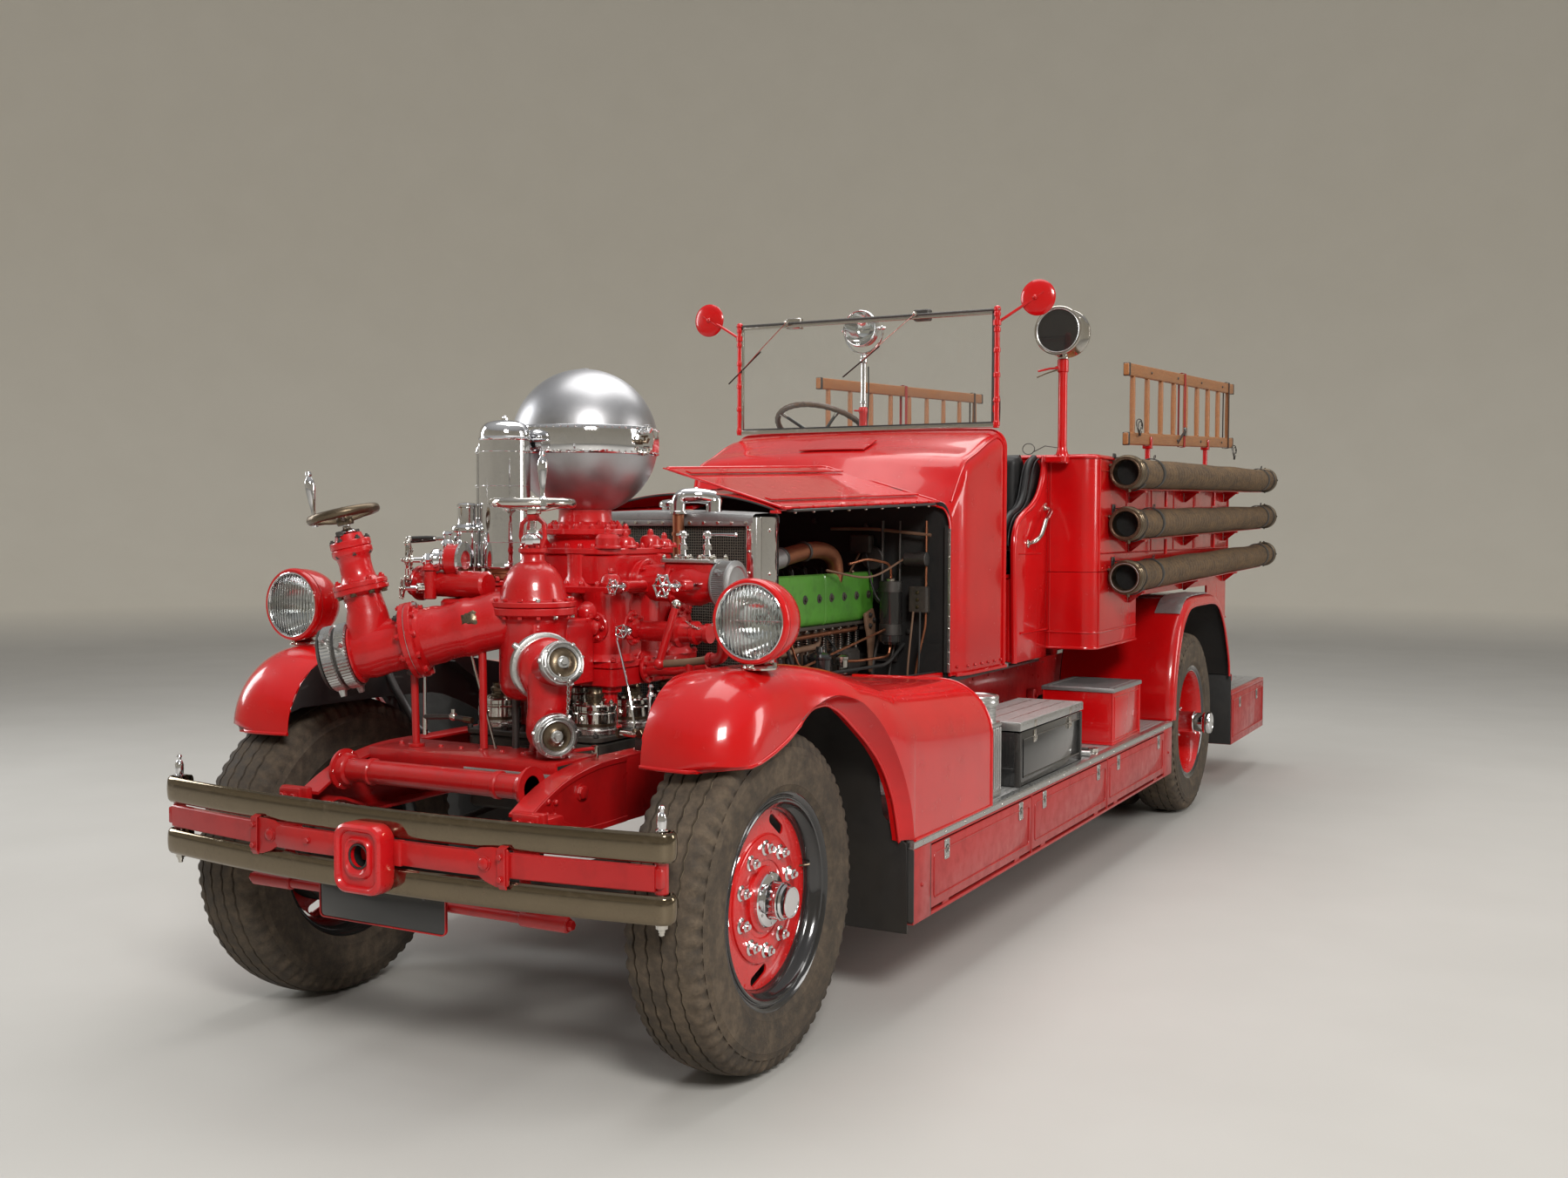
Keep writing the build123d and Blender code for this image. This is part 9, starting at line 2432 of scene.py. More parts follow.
def s_line():
    arc = [PANEL[2]]
    arc += [(2.742, 1.545), (2.762, 1.585), (2.795, 1.620), (2.840, 1.643), (2.895, 1.664), (2.950, 1.680), (3.000, 1.700), (3.045, 1.724), (3.085, 1.755), (3.115, 1.790), (3.140, 1.830), (3.160, 1.880), (3.170, 1.935)]
    return arc


def seatbox():
    p = Piece()
    rbox(p, -0.640, 0.640, 2.722, 3.190, 0.972, 1.360, RED, 0.02, 0.006)
    rbox(p, -0.648, 0.648, 2.714, 3.192, 1.360, 1.378, RED, 0.025, 0.004)
    # front panels with beads and toe strip
    for x0, x1 in ((-0.60, -0.22), (-0.19, 0.19), (0.22, 0.60)):
        p.tube([(x, 2.721, z) for x, z in ((x0, 1.04), (x1, 1.04), (x1, 1.31), (x0, 1.31))], 0.0045, RED, 8, closed=True)
        p.lathe(((x0 + x1) / 2, 2.720, 1.175), (0, -1, 0), [(0.018, 0), (0.018, 0.003), (0.008, 0.006), (0.008, 0.018), (0.014, 0.022), (0.010, 0.030), (0, 0.032)], CHROME_OLD, 20)
    p.box(-0.64, 0.64, 2.716, 2.722, 0.975, 1.005, ALU_WORN, 0.001)
    for s in (1, -1):
        S = s_line()
        out = [(y, z) for y, z in PANEL[:2]] + S + [(3.195, 1.935)]
        poly = [(y - 3.0, z - 1.4) for y, z in out]
        if s < 0:
            poly = poly[::-1]
        p.prism(poly, (s * 0.676, 3.0, 1.4), (0, 1, 0), (0, 0, 1), 0.024, RED, 0.006, both=True)
        edge = [(s * 0.676, y, z) for y, z in [PANEL[1]] + S]
        p.tube(edge, 0.0148, RED, 14)
        # pressed line, lower bead and its swage, red edge strip
        p.tube([(s * 0.6895, y, z) for y, z in ((2.80, 1.105), (3.19, 1.105))], 0.0060, RED, 10)
        p.tube([(s * 0.6895, y, z) for y, z in ((2.775, 1.472), (3.10, 1.472))], 0.0035, RED, 8)
        p.box(s * 0.640, s * 0.664, 2.765, 3.19, 0.972, 1.36, RED, 0.004)
        # S-shaped grab handle on two stand-offs
        h = spline([(s * 0.694, 2.905, 1.520), (s * 0.722, 2.915, 1.532), (s * 0.730, 2.965, 1.556), (s * 0.730, 3.005, 1.590), (s * 0.729, 3.040, 1.625), (s * 0.728, 3.085, 1.648), (s * 0.724, 3.130, 1.672), (s * 0.694, 3.145, 1.690)], 6)
        p.tube(h, [0.0085 + 0.0035 * sin(pi * i / (len(h) - 1)) for i in range(len(h))], CHROME_OLD, 14)
        for q in ((s * 0.690, 2.902, 1.518), (s * 0.690, 3.147, 1.692)):
            p.lathe(q, (s, 0, 0), [(0, 0), (0.020, 0), (0.020, 0.004), (0.012, 0.008), (0, 0.009)], CHROME_OLD, 20)
            p.bolt(vec(q) + (s * 0.004, 0, 0.013), (s, 0, 0), 0.004, CHROME_OLD, kind="round", washer=False)
    # drum lamp's post with base casting, collars and the small T lever
    for q in (0,):
        p.cyl((0.770, 3.150, 1.935), (0.770, 3.150, 2.394), 0.0215, RED, 28)
        p.lathe((0.770, 3.150, 1.935), (0, 0, 1), [(0.032, -0.035), (0.032, 0.006), (0.028, 0.014), (0.0235, 0.030), (0.0220, 0.040)], RED, 28)
        p.lathe((0.770, 3.150, 2.330), (0, 0, 1), [(0.0215, 0), (0.0265, 0.004), (0.0270, 0.040), (0.0265, 0.060), (0.0215, 0.0635)], RED, 28)
        rbox(p, 0.690, 0.800, 3.104, 3.193, 1.902, 1.936, RED, 0.02, 0.006)
        p.bolts((0.765, 3.150, 1.936), (0, 0, 1), 0.037, 3, 0.0065, RED)
        p.tube([(0.752, 3.140, 2.352), (0.716, 3.115, 2.348), (0.668, 3.085, 2.335)], 0.0052, RED, 10)
        p.tube([(0.756, 3.135, 2.345), (0.70, 3.105, 2.325), (0.664, 3.082, 2.306)], 0.0036, BRASS_DK, 8)
        p.cyl((0.738, 3.132, 2.350), (0.760, 3.146, 2.353), 0.010, RED, 14, bev=0.002)
        # loose wire loop behind the seat top
        loop = [(0.60 + 0.030 * cos(t), 3.16, 1.972 + 0.026 * sin(t)) for t in np.linspace(0, 2 * pi, 22)]
        p.tube(loop, 0.0022, DARK_STEEL, 6)
        p.tube([(0.62, 3.16, 1.955), (0.68, 3.165, 1.985), (0.745, 3.16, 1.975)], 0.0022, DARK_STEEL, 6)
        p.tube(spline([(0.768, 3.174, 2.38), (0.772, 3.178, 2.20), (0.768, 3.176, 2.02), (0.760, 3.185, 1.945)], 6), 0.0038, RUBBER, 6)
    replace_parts(p.make("seat_base_and_sides"), "seat_box")


seatbox()


def controls():
    p = Piece()
    p.box(-0.655, 0.655, 2.066, 3.188, 0.946, 0.958, BLACK_WORN, 0.002)
    # ribbed mat with bright edge
    p.box(-0.62, 0.62, 2.10, 2.70, 0.958, 0.964, RUBBER, 0.001)
    for x in np.linspace(-0.60, 0.60, 41):
        p.box(x - 0.004, x + 0.004, 2.12, 2.68, 0.964, 0.968, RUBBER, 0.001)
    for s in (1, -1):
        p.box(s * 0.63, s * 0.658, 2.57, 2.735, 0.957, 0.972, ALU_WORN, 0.002)
        for k in range(6):
            p.box(s * 0.634, s * 0.654, 2.59 + 0.024 * k, 2.596 + 0.024 * k, 0.971, 0.9745, ALU, 0.001)
    # sloping toe board
    p.skin(np.array([[(x, 2.07, 1.21), (x, 2.29, 0.962)] for x in (-0.60, -0.2, 0.2, 0.60)]), 0.006, RUBBER)
    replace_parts(p.make("cab_floor_mat"), "cab_floor")

    p = Piece()
    CX, ax = -0.410, unit(vec((0, sin(radians(28)), cos(radians(28)))))
    top = vec((CX, 2.950, 2.085))
    p.tube([top - ax * 1.15, top - ax * 0.052], 0.0240, BLACK, 28)
    p.lathe(top - ax * 1.19, ax, [(0, 0), (0.05, 0.002), (0.058, 0.012), (0.060, 0.03), (0.060, 0.08), (0.050, 0.095), (0.032, 0.11), (0.028, 0.13)], IRON, 36)
    p.lathe(top - ax * 0.30, ax, [(0.024, 0), (0.034, 0.004), (0.034, 0.036), (0.024, 0.040)], CHROME_OLD, 28)
    p.strip([top - ax * 0.28 + (0, -0.02, 0.0), (CX, 2.70, 1.775), (CX, 2.505, 1.760)], 0.04, 0.006, (1, 0, 0), BLACK)
    p.lathe(top - ax * 0.055, ax, [(0.024, -0.03), (0.030, -0.026), (0.030, -0.004), (0.024, 0.0), (0, 0.001)], CHROME, 28)
    p.tube([top - ax * 0.085, top - ax * 0.080 + (0.075, 0.02, 0.01), top - ax * 0.078 + (0.115, 0.03, 0.018)], [0.005, 0.0045, 0.006], CHROME_OLD, 10)
    rbox(p, CX - 0.072, CX + 0.072, 2.334, 2.466, 0.971, 1.052, IRON, 0.02, 0.010)
    for x in (-0.520, -0.300):
        p.box(x - 0.02, x + 0.02, 2.312, 2.348, 0.970, 0.985, IRON, 0.003)
        p.tube(bend([(x, 2.330, 0.985), (x, 2.335, 1.06), (x, 2.302, 1.145)], 0.03), 0.011, IRON, 14)
        p.obox((x, 2.296, 1.150), (1, 0, 0), unit(vec((0, -0.25, 1))), (0.066, 0.078, 0.014), IRON, 0.006)
        for k in range(5):
            p.obox(vec((x, 2.296 - 0.0068, 1.150)) + unit(vec((0, -0.25, 1))) * (-0.026 + 0.013 * k) + vec((0, -0.001, 0)), (1, 0, 0), unit(vec((0, -0.25, 1))), (0.058, 0.005, 0.006), RUBBER, 0.001)
    p.obox((-0.205, 2.30, 1.06), (1, 0, 0), unit(vec((0, -0.5, 1))), (0.045, 0.12, 0.010), IRON, 0.004)
    p.tube([(-0.205, 2.305, 1.05), (-0.205, 2.33, 0.975)], 0.008, IRON, 10)
    for x, b in ((-0.040, BLACK), (0.040, CHROME_OLD)):
        p.lathe((x, 2.560, 0.970), (0, 0, 1), [(0.034, 0), (0.034, 0.006), (0.024, 0.012), (0.018, 0.030), (0.012, 0.034)], IRON, 28)
        p.tube(spline([(x, 2.560, 0.99), (x, 2.575, 1.12), (x, 2.605, 1.28), (x, 2.640, 1.410)], 5), [0.0115] * 6 + [0.010] * 10 if False else 0.0105, b if x > 0 else CHROME_OLD, 14)
        p.ball((x, 2.640, 1.430), 0.0215, BLACK if x < 0 else CHROME, 24, 14)
    p.tube([(0.040, 2.628, 1.33), (0.040, 2.652, 1.40)], 0.004, CHROME_OLD, 8)
    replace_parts(p.make("column_and_pedals"), "steering_column")

    # wheel: dark wooden rim with finger grips, four spokes, horn push
    p = Piece()
    R = 0.2270
    a, b = basis(ax)
    k = 120
    rim = [top + (a * cos(t) + b * sin(t)) * R for t in np.linspace(0, 2 * pi, k, endpoint=False)]
    rr = [0.0140 + 0.0010 * cos(t * 36) for t in np.linspace(0, 2 * pi, k, endpoint=False)]
    p.tube(rim, rr, WOOD_DK, 14, closed=True)
    for i in range(4):
        t = pi / 4 + i * pi / 2
        d = a * cos(t) + b * sin(t)
        p.tube([top - ax * 0.040 + d * 0.022, top - ax * 0.036 + d * 0.09, top - ax * 0.010 + d * 0.19, top + d * (R - 0.006)], [0.0105, 0.0085, 0.0080, 0.0095], WOOD_DK if False else BLACK, 12)
        p.tube([top - ax * 0.012 + d * 0.190, top - ax * 0.002 + d * (R - 0.004)], [0.0092, 0.0125], CHROME_OLD, 12)
    p.lathe(top - ax * 0.052, ax, [(0, 0), (0.030, 0), (0.034, 0.004), (0.036, 0.018), (0.030, 0.028), (0.0255, 0.030), (0.0245, 0.036), (0.017, 0.041), (0, 0.043)], BLACK, 36)
    p.torus(top - ax * 0.0225, ax, 0.0268, 0.0022, CHROME, 36, 8)
    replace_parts(p.make("steering_wheel_rim", body="steering_wheel"), "steering_wheel")


controls()


def lamps():
    # bright post in its red socket
    p = Piece()
    X, Y, Z = -0.078, 2.725, 2.534
    p.cyl((X, Y, 2.10), (X, Y, 2.394), 0.0125, CHROME, 28)
    p.lathe((X, Y, 1.962), (0, 0, 1), [(0, 0), (0.024, 0), (0.024, 0.006), (0.0205, 0.014), (0.0195, 0.10), (0.0190, 0.170), (0.0215, 0.176), (0.0220, 0.196), (0.0195, 0.202), (0.0130, 0.204)], RED, 28)
    p.bolt((X, Y - 0.021, 2.148), (0, -1, 0), 0.008, RED)
    p.tube([(X - 0.02, Y, 2.148), (X - 0.045, Y - 0.005, 2.150)], 0.0045, RED, 8)
    p.lathe((X, Y, 2.180), (0, 0, 1), [(0.0125, 0), (0.0165, 0.002), (0.0165, 0.012), (0.0125, 0.014)], CHROME, 24)
    p.box(X - 0.030, X + 0.030, 2.581, Y + 0.018, 1.963, 2.000, RED, 0.006)
    p.bolts((X, 2.60, 2.000), (0, 0, 1), 0.018, 2, 0.006, RED, a0=0.0)
    p.lathe((X, Y, 2.372), (0, 0, 1), [(0.0125, 0), (0.0180, 0.004), (0.0185, 0.018), (0.0150, 0.022)], CHROME, 28)
    p.tube(spline([(X + 0.012, Y + 0.012, 2.02), (X + 0.018, Y + 0.02, 2.20), (X + 0.012, Y + 0.03, 2.36)], 6), 0.0035, RUBBER, 6)
    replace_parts(p.make("search_lamp_post"), "lamp_post")

    p = Piece()
    p.lathe((X, Y, 2.3955), (0, 0, 1), [(0, 0), (0.0155, 0), (0.0165, 0.004), (0.0150, 0.016), (0.0110, 0.024), (0, 0.026)], CHROME, 28)
    arc = [(X + 0.1005 * sin(t), Y, Z - 0.1145 * cos(t)) for t in np.linspace(-pi / 2, pi / 2, 40)]
    p.strip(arc, 0.020, 0.006, (0, 1, 0), CHROME)
    for s in (1, -1):
        p.lathe((X + s * 0.0975, Y, Z), (s, 0, 0), [(0, 0), (0.014, 0), (0.014, 0.006), (0, 0.0065)], CHROME, 24)
        p.bolt((X + s * 0.103, Y, Z), (s, 0, 0), 0.0085, CHROME, kind="acorn", washer=False)
    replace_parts(p.make("search_lamp_yoke", body="search_yoke"), "search_yoke")

    p = Piece()
    ax = vec((0, 1, 0))
    c = vec((X, Y, Z))
    # ball-shaped housing, lens forward with a bright rim
    p.lathe(c, ax, [(0.080, -0.046), (0.0865, -0.044), (0.0880, -0.040), (0.0882, -0.034), (0.0868, -0.028), (0.0860, -0.020), (0.0850, -0.008), (0.0820, 0.010), (0.0750, 0.028), (0.0640, 0.042), (0.0480, 0.051), (0.0260, 0.0560), (0, 0.0575)], CHROME, 64)
    p.lathe(c, ax, [(0.079, -0.043), (0.072, -0.020), (0.056, 0.010), (0.036, 0.028), (0.012, 0.034), (0, 0.034)], MIRROR, 48)
    p.lathe(c, ax, [(0, 0.010), (0.007, 0.006), (0.009, -0.004), (0.006, -0.012), (0, -0.014)], LENS, 20)
    dome = [(0.0795 * sin(t), -0.0440 - 0.0060 * cos(t)) for t in np.linspace(0, pi / 2, 10)]
    p.lathe(c, ax, dome + [(r, h + 0.003) for r, h in dome[::-1]], LENS, 56)
    p.torus(c - ax * 0.0455, ax, 0.0825, 0.0035, CHROME, 64, 10)
    for s in (1, -1):
        p.cyl(c + (s * 0.080, 0, 0), c + (s * 0.0905, 0, 0), 0.0088, CHROME, 16, bev=0.001)
    p.tube([c + (0, 0.050, -0.02), c + (0.0, 0.085, -0.03), c + (0, 0.092, -0.05)], [0.006, 0.0075, 0.0085], BLACK, 12)
    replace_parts(p.make("search_lamp_head", body="search_lamp"), "search_lamp")

    # drum lamp: bright drum, dark face inside its rim
    p = Piece()
    c = vec((0.770, 3.145, 2.520))
    p.lathe(c, ax, [(0.104, -0.080), (0.1075, -0.0845), (0.1120, -0.0850), (0.1148, -0.0820), (0.1150, -0.076), (0.1138, -0.072), (0.1125, -0.070), (0.1120, -0.064), (0.1120, 0.052), (0.1130, 0.054), (0.1148, 0.058), (0.1148, 0.068),
                    (0.1120, 0.074), (0.1020, 0.080), (0.0700, 0.0835), (0.0300, 0.0848), (0, 0.085)], CHROME_OLD, 72)
    p.lathe(c, ax, [(0.1060, -0.080), (0.1000, -0.0765), (0.0980, -0.0740), (0, -0.0740)], BLACK, 64)
    p.torus(c - ax * 0.0795, ax, 0.1015, 0.0028, ALU, 64, 8)
    for t in (0.5, 2.6, 4.7):
        p.bolt(c + vec((0.1125 * cos(t), -0.060, 0.1125 * sin(t))), (cos(t), 0, sin(t)), 0.005, CHROME_OLD, kind="round", washer=False)
    p.lathe((0.770, 3.150, 2.3955), (0, 0, 1), [(0, 0), (0.0255, 0), (0.0260, 0.005), (0.0215, 0.010), (0.0190, 0.016), (0.0210, 0.020), (0.0260, 0.022)], CHROME_OLD, 28)
    p.cyl((0.770, 3.150, 2.396), (0.770, 3.150, 2.44), 0.011, CHROME_OLD, 16)
    p.obox((0.770, 3.150, 2.4235), (1, 0, 0), (0, 1, 0), (0.050, 0.060, 0.006), CHROME_OLD, 0.002)
    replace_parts(p.make("drum_lamp_head", body="drum_lamp"), "drum_lamp")


lamps()
# ---------------------------------------------------------------- hose body, fenders, boards, boxes, hoses, ladders
def shell_loop(w, y0, y1, r, z, n=10):
    return [(x, (y0 + y1) / 2 + y, z) for x, y in rrect(2 * w, y1 - y0, r, n)]


def body():
    p = Piece()
    Y0, Y1, W, R = 3.200, 6.300, 0.920, 0.070
    # outer skin up to the rolled rim, inner lining, floor
    loft(p, [shell_loop(W, Y0, Y1, R, 1.3815), shell_loop(W, Y0, Y1, R, 1.50), shell_loop(W, Y0, Y1, R, 1.70), shell_loop(W, Y0, Y1, R, 1.925), shell_loop(W - 0.002, Y0 + 0.002, Y1 - 0.002, R, 1.937), shell_loop(W - 0.008, Y0 + 0.008, Y1 - 0.008, R - 0.006, 1.9445),
             shell_loop(W - 0.022, Y0 + 0.022, Y1 - 0.022, R - 0.020, 1.9445), shell_loop(W - 0.030, Y0 + 0.030, Y1 - 0.030, R - 0.028, 1.936), shell_loop(W - 0.030, Y0 + 0.030, Y1 - 0.030, R - 0.028, 1.400)], RED)
    p.box(-0.893, 0.893, 3.228, 6.272, 1.384, 1.400, BLACK_WORN, 0.002)
    for x in np.arange(-0.855, 0.86, 0.0745):
        if abs(x) > 0.03:
            p.box(x - 0.030, x + 0.030, 3.240, 6.260, 1.394, 1.4015, WOOD, 0.002)
    # divider with a rolled top
    p.box(-0.011, 0.011, 3.231, 6.269, 1.400, 1.842, RED, 0.002)
    p.tube([(0, 3.232, 1.842), (0, 6.268, 1.842)], 0.0118, RED, 12)
    # rim bead, corner beads, long swages on the sides
    loop = shell_loop(W + 0.001, Y0 - 0.001, Y1 + 0.001, R, 1.9305)
    p.tube(loop, 0.0085, RED, 10, closed=True)
    for s in (1, -1):
        for y in (Y0 + R, Y1 - R):
            p.tube([(s * (W + 0.001), y, 1.384), (s * (W + 0.001), y, 1.928)], 0.0055, RED, 8)
        for z in (1.470, 1.870):
            p.tube([(s * (W + 0.0005), Y0 + R, z), (s * (W + 0.0005), Y1 - R, z)], 0.0045, RED, 8)
        for y in np.linspace(3.75, 5.75, 5):
            p.tube([(s * (W + 0.0005), y, 1.472), (s * (W + 0.0005), y, 1.868)], 0.0040, RED, 8)
        for y in np.linspace(3.32, 6.18, 24):
            p.bolt((s * (W + 0.0005), y, 1.398), (s, 0, 0), 0.0055, RED, kind="round", washer=False)
        p.tube([(s * 0.700, Y0 - 0.0005, 1.384), (s * 0.700, Y0 - 0.0005, 1.930)], 0.0045, RED, 8)
        # tail: handrails
        x = s * 0.80
        h = bend([(x, 6.302, 1.470), (x, 6.352, 1.470), (x, 6.352, 1.880), (x, 6.302, 1.880)], 0.022)
        p.tube(h, 0.0130, CHROME, 16)
        for z in (1.470, 1.880):
            p.lathe((x, 6.300, z), (0, 1, 0), [(0.030, 0), (0.030, 0.004), (0.018, 0.010), (0.014, 0.012)], CHROME, 24)
    # tail wall beads and stowage hooks
    for z in (1.470, 1.870):
        p.tube([(-0.85, 6.3005, z), (0.85, 6.3005, z)], 0.0045, RED, 8)
    for x in (-0.66, -0.22, 0.22, 0.66):
        p.tube([(x, 6.3005, 1.472), (x, 6.3005, 1.868)], 0.0040, RED, 8)
    p.tube(bend([(-0.52, 6.302, 1.80), (-0.52, 6.345, 1.80), (0.52, 6.345, 1.80), (0.52, 6.302, 1.80)], 0.02), 0.0110, CHROME, 14)
    for x in (-0.52, 0.0, 0.52):
        p.lathe((x, 6.300, 1.80), (0, 1, 0), [(0.026, 0), (0.026, 0.004), (0.015, 0.008), (0.013, 0.04)], CHROME, 20)
    for x in (-0.44, 0.44):
        p.tube(bend([(x, 6.302, 1.60), (x, 6.36, 1.60), (x, 6.36, 1.66)], 0.02), 0.0085, FRAME_RED, 10)
        p.bolt((x, 6.301, 1.60), (0, 1, 0), 0.014, FRAME_RED)
    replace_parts(p.make("hose_body_shell", slot="red_paint"), "hose_body")

    # skirts below
    p = Piece()
    for s in (1, -1):
        def wall(y):
            if 3.96 <= y <= 5.64:
                return 1.240
            return 1.012
        # front corner and side, then past the arch
        path = [(s * x, y) for x, y in ((0.0, 3.2), (0.30, 3.2), (0.60, 3.2), (0.80, 3.2), (0.850, 3.2))]
        path += [(s * (0.850 + 0.070 * sin(t)), 3.270 - 0.070 * cos(t)) for t in np.linspace(0, pi / 2, 9)[1:]]
        path += [(s * 0.920, y) for y in (3.45, 3.70, 3.9595)]
        rows = [[(x, y, z) for z in (1.012, 1.06, 1.20, 1.379)] for x, y in path]
        p.skin(np.array(rows), 0.012, RED, flip=(s < 0), inner=BLACK_WORN)
        path = [(s * 0.920, y) for y in (3.96, 4.4, 4.9, 5.3, 5.64)]
        p.skin(np.array([[(x, y, z) for z in (1.241, 1.31, 1.379)] for x, y in path]), 0.012, RED, flip=(s < 0), inner=BLACK_WORN)
        path = [(s * 0.920, y) for y in (5.6405, 5.9, 6.19)]
        p.skin(np.array([[(x, y, z) for z in (1.012, 1.06, 1.20, 1.379)] for x, y in path]), 0.012, RED, flip=(s < 0), inner=BLACK_WORN)
        # lower lip bead, corner bead and middle swage
        lip = [(s * 0.0, 3.1985, 1.016), (s * 0.85, 3.1985, 1.016)] + [(s * (0.850 + 0.0715 * sin(t)), 3.270 - 0.0715 * cos(t), 1.016) for t in np.linspace(0, pi / 2, 9)[1:]] + [(s * 0.9215, 3.95, 1.016)]
        p.tube(lip, 0.0080, RED, 10)
        p.tube([(q[0], q[1], q[2] + 0.075) for q in lip], 0.0055, RED, 8)
        p.tube([(s * 0.921, 5.645, 1.016), (s * 0.921, 6.185, 1.016)], 0.0080, RED, 10)
        p.tube([(s * 0.921, 3.27, 1.018), (s * 0.921, 3.27, 1.378)], 0.0055, RED, 8)
        p.tube([(s * 0.700, 3.1985, 1.018), (s * 0.700, 3.1985, 1.378)], 0.0045, RED, 8)
        # bearers on the frame
        p.box(s * 0.361, s * 0.429, 3.232, 6.258, 1.011, 1.069, BLACK_WORN, 0.004)
        for y in (3.3, 4.15, 5.3, 6.2):
            p.box(s * 0.366, s * 0.424, y - 0.03, y + 0.03, 1.07, 1.30, BLACK_WORN, 0.003)
            for z in (1.10, 1.27):
                p.bolt((s * 0.424, y, z), (s, 0, 0), 0.010, DARK_STEEL)
    for y in (3.3, 4.15, 5.3, 6.2):
        p.box(-0.889, 0.889, y - 0.03, y + 0.03, 1.301, 1.379, BLACK_WORN, 0.003)
    # wheel well liners
    for s in (1, -1):
        p.skin(np.array([[(s * x, y, 1.300) for x in (0.47, 0.70, 0.905)] for y in (3.34, 4.10)]), 0.004, BLACK_WORN, flip=(s < 0))
    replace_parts(p.make("body_skirt_sheets", slot="red_paint"), "body_skirts")


body()


def curve2(q):
    return [(a[0], a[1]) for a in spline([(y, z, 0.0) for y, z in q], 5)][1:]


def arch_line():
    """Outer line of a rear fender in side view with outward normals."""
    pts = [(4.128, 0.576), (4.1285, 0.64), (4.130, 0.700)]
    pts += curve2([(4.130, 0.700), (4.155, 0.820), (4.205, 0.945), (4.290, 1.080), (4.375, 1.152), (4.480, 1.200), (4.600, 1.215)])
    pts += [(4.70, 1.2165), (4.81, 1.217), (4.92, 1.2165), (5.020, 1.215)]
    pts += curve2([(5.020, 1.215), (5.150, 1.205), (5.290, 1.160), (5.440, 1.040), (5.540, 0.900), (5.600, 0.790), (5.620, 0.700)])
    pts = np.array([(a, b) for a, b in pts], float)
    t = np.gradient(pts, axis=0)
    t /= np.linalg.norm(t, axis=1, keepdims=True)
    return pts, np.stack([-t[:, 1], t[:, 0]], 1)


def rear_fender(s):
    p = Piece()
    pts, nrm = arch_line()
    prof = [(0.462, 0.0), (0.60, 0.0), (0.80, 0.0), (0.95, 0.0), (1.035, -0.001), (1.055, -0.004), (1.068, -0.010), (1.077, -0.018), (1.082, -0.028), (1.083, -0.040), (1.083, -0.052)]
    rows = [[(s * x, y + ny * e, z + nz * e) for x, e in prof] for (y, z), (ny, nz) in zip(pts, nrm)]
    p.grid(np.array(rows), RED)
    prof_i = [(0.462, -0.016), (0.80, -0.016), (1.035, -0.017), (1.058, -0.022), (1.070, -0.034), (1.076, -0.052)]
    p.grid(np.array([[(s * x, y + ny * e, z + nz * e) for x, e in prof_i] for (y, z), (ny, nz) in zip(pts, nrm)]), BLACK_WORN)
    p.tube([(s * 0.462, y + ny * -0.008, z + nz * -0.008) for (y, z), (ny, nz) in zip(pts, nrm)], 0.008, BLACK_WORN, 8)
    # rolled red lip on the opening
    p.tube([(s * 1.0795, y + ny * -0.0535, z + nz * -0.0535) for (y, z), (ny, nz) in zip(pts, nrm)], 0.0062, RED, 10)
    # tread plate over the crown with a bent front edge, raised studs
    sel = [i for i, (y, z) in enumerate(pts) if 4.335 <= y <= 5.03]
    rows = [[(s * x, pts[i][0] + nrm[i][0] * 0.0045, pts[i][1] + nrm[i][1] * 0.0045) for x in (0.925, 0.97, 1.01, 1.045)] + [(s * 1.060, pts[i][0] + nrm[i][0] * 0.0015, pts[i][1] + nrm[i][1] * 0.0015)] for i in sel]
    p.skin(np.array(rows), 0.003, ALU_WORN, flip=(s < 0))
    for k in range(11):
        y = 4.48 + 0.05 * k
        for j in range(4):
            x = 0.945 + 0.030 * j + (0.015 if k % 2 else 0)
            zt = float(np.interp(y, pts[:, 0][: len(pts) // 2 + 6], pts[:, 1][: len(pts) // 2 + 6]))
            p.obox((s * x, y, zt + 0.0052), (1, 0.9 if k % 2 else -0.9, 0), (-0.9 if k % 2 else 0.9, 1, 0), (0.022, 0.005, 0.0022), ALU, 0.0008)
    for y, z in ((4.40, 1.168), (4.60, 1.215), (4.80, 1.217), (5.00, 1.216)):
        for x in (0.935, 1.040):
            p.bolt((s * x, y, z + 0.004), (0, 0, 1), 0.005, ALU, kind="round", washer=False)
    # black mud flap with a clamp bar, ribs on its face
    p.box(s * 0.600, s * 1.080, 5.6195, 5.6275, 0.262, 0.700, RUBBER, 0.003)
    p.box(s * 0.600, s * 1.082, 5.6275, 5.6335, 0.655, 0.695, FRAME_RED, 0.002)
    for x in (0.64, 0.76, 0.88, 1.0, 1.06):
        p.bolt((s * x, 5.6335, 0.675), (0, 1, 0), 0.008, CHROME_OLD, kind="round")
    for x in np.linspace(0.64, 1.04, 6):
        p.box(s * x - 0.004, s * x + 0.004, 5.627, 5.630, 0.28, 0.64, RUBBER, 0.001)
    # bead at its foot on the board and stays to the frame
    p.tube([(s * x, 4.1265, 0.5785) for x in (0.48, 1.078)], 0.006, RED, 8)
    for y, z in ((4.35, 1.10), (5.35, 1.08)):
        p.tube([(s * 0.432, y, 0.86), (s * 0.455, y, 0.95), (s * 0.475, y, z)], 0.016, BLACK_WORN, 12)
    return p.make(f"rear_fender_{'left' if s > 0 else 'right'}", angle=38)


for _s in (1, -1):
    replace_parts(rear_fender(_s), "rear_fenders")

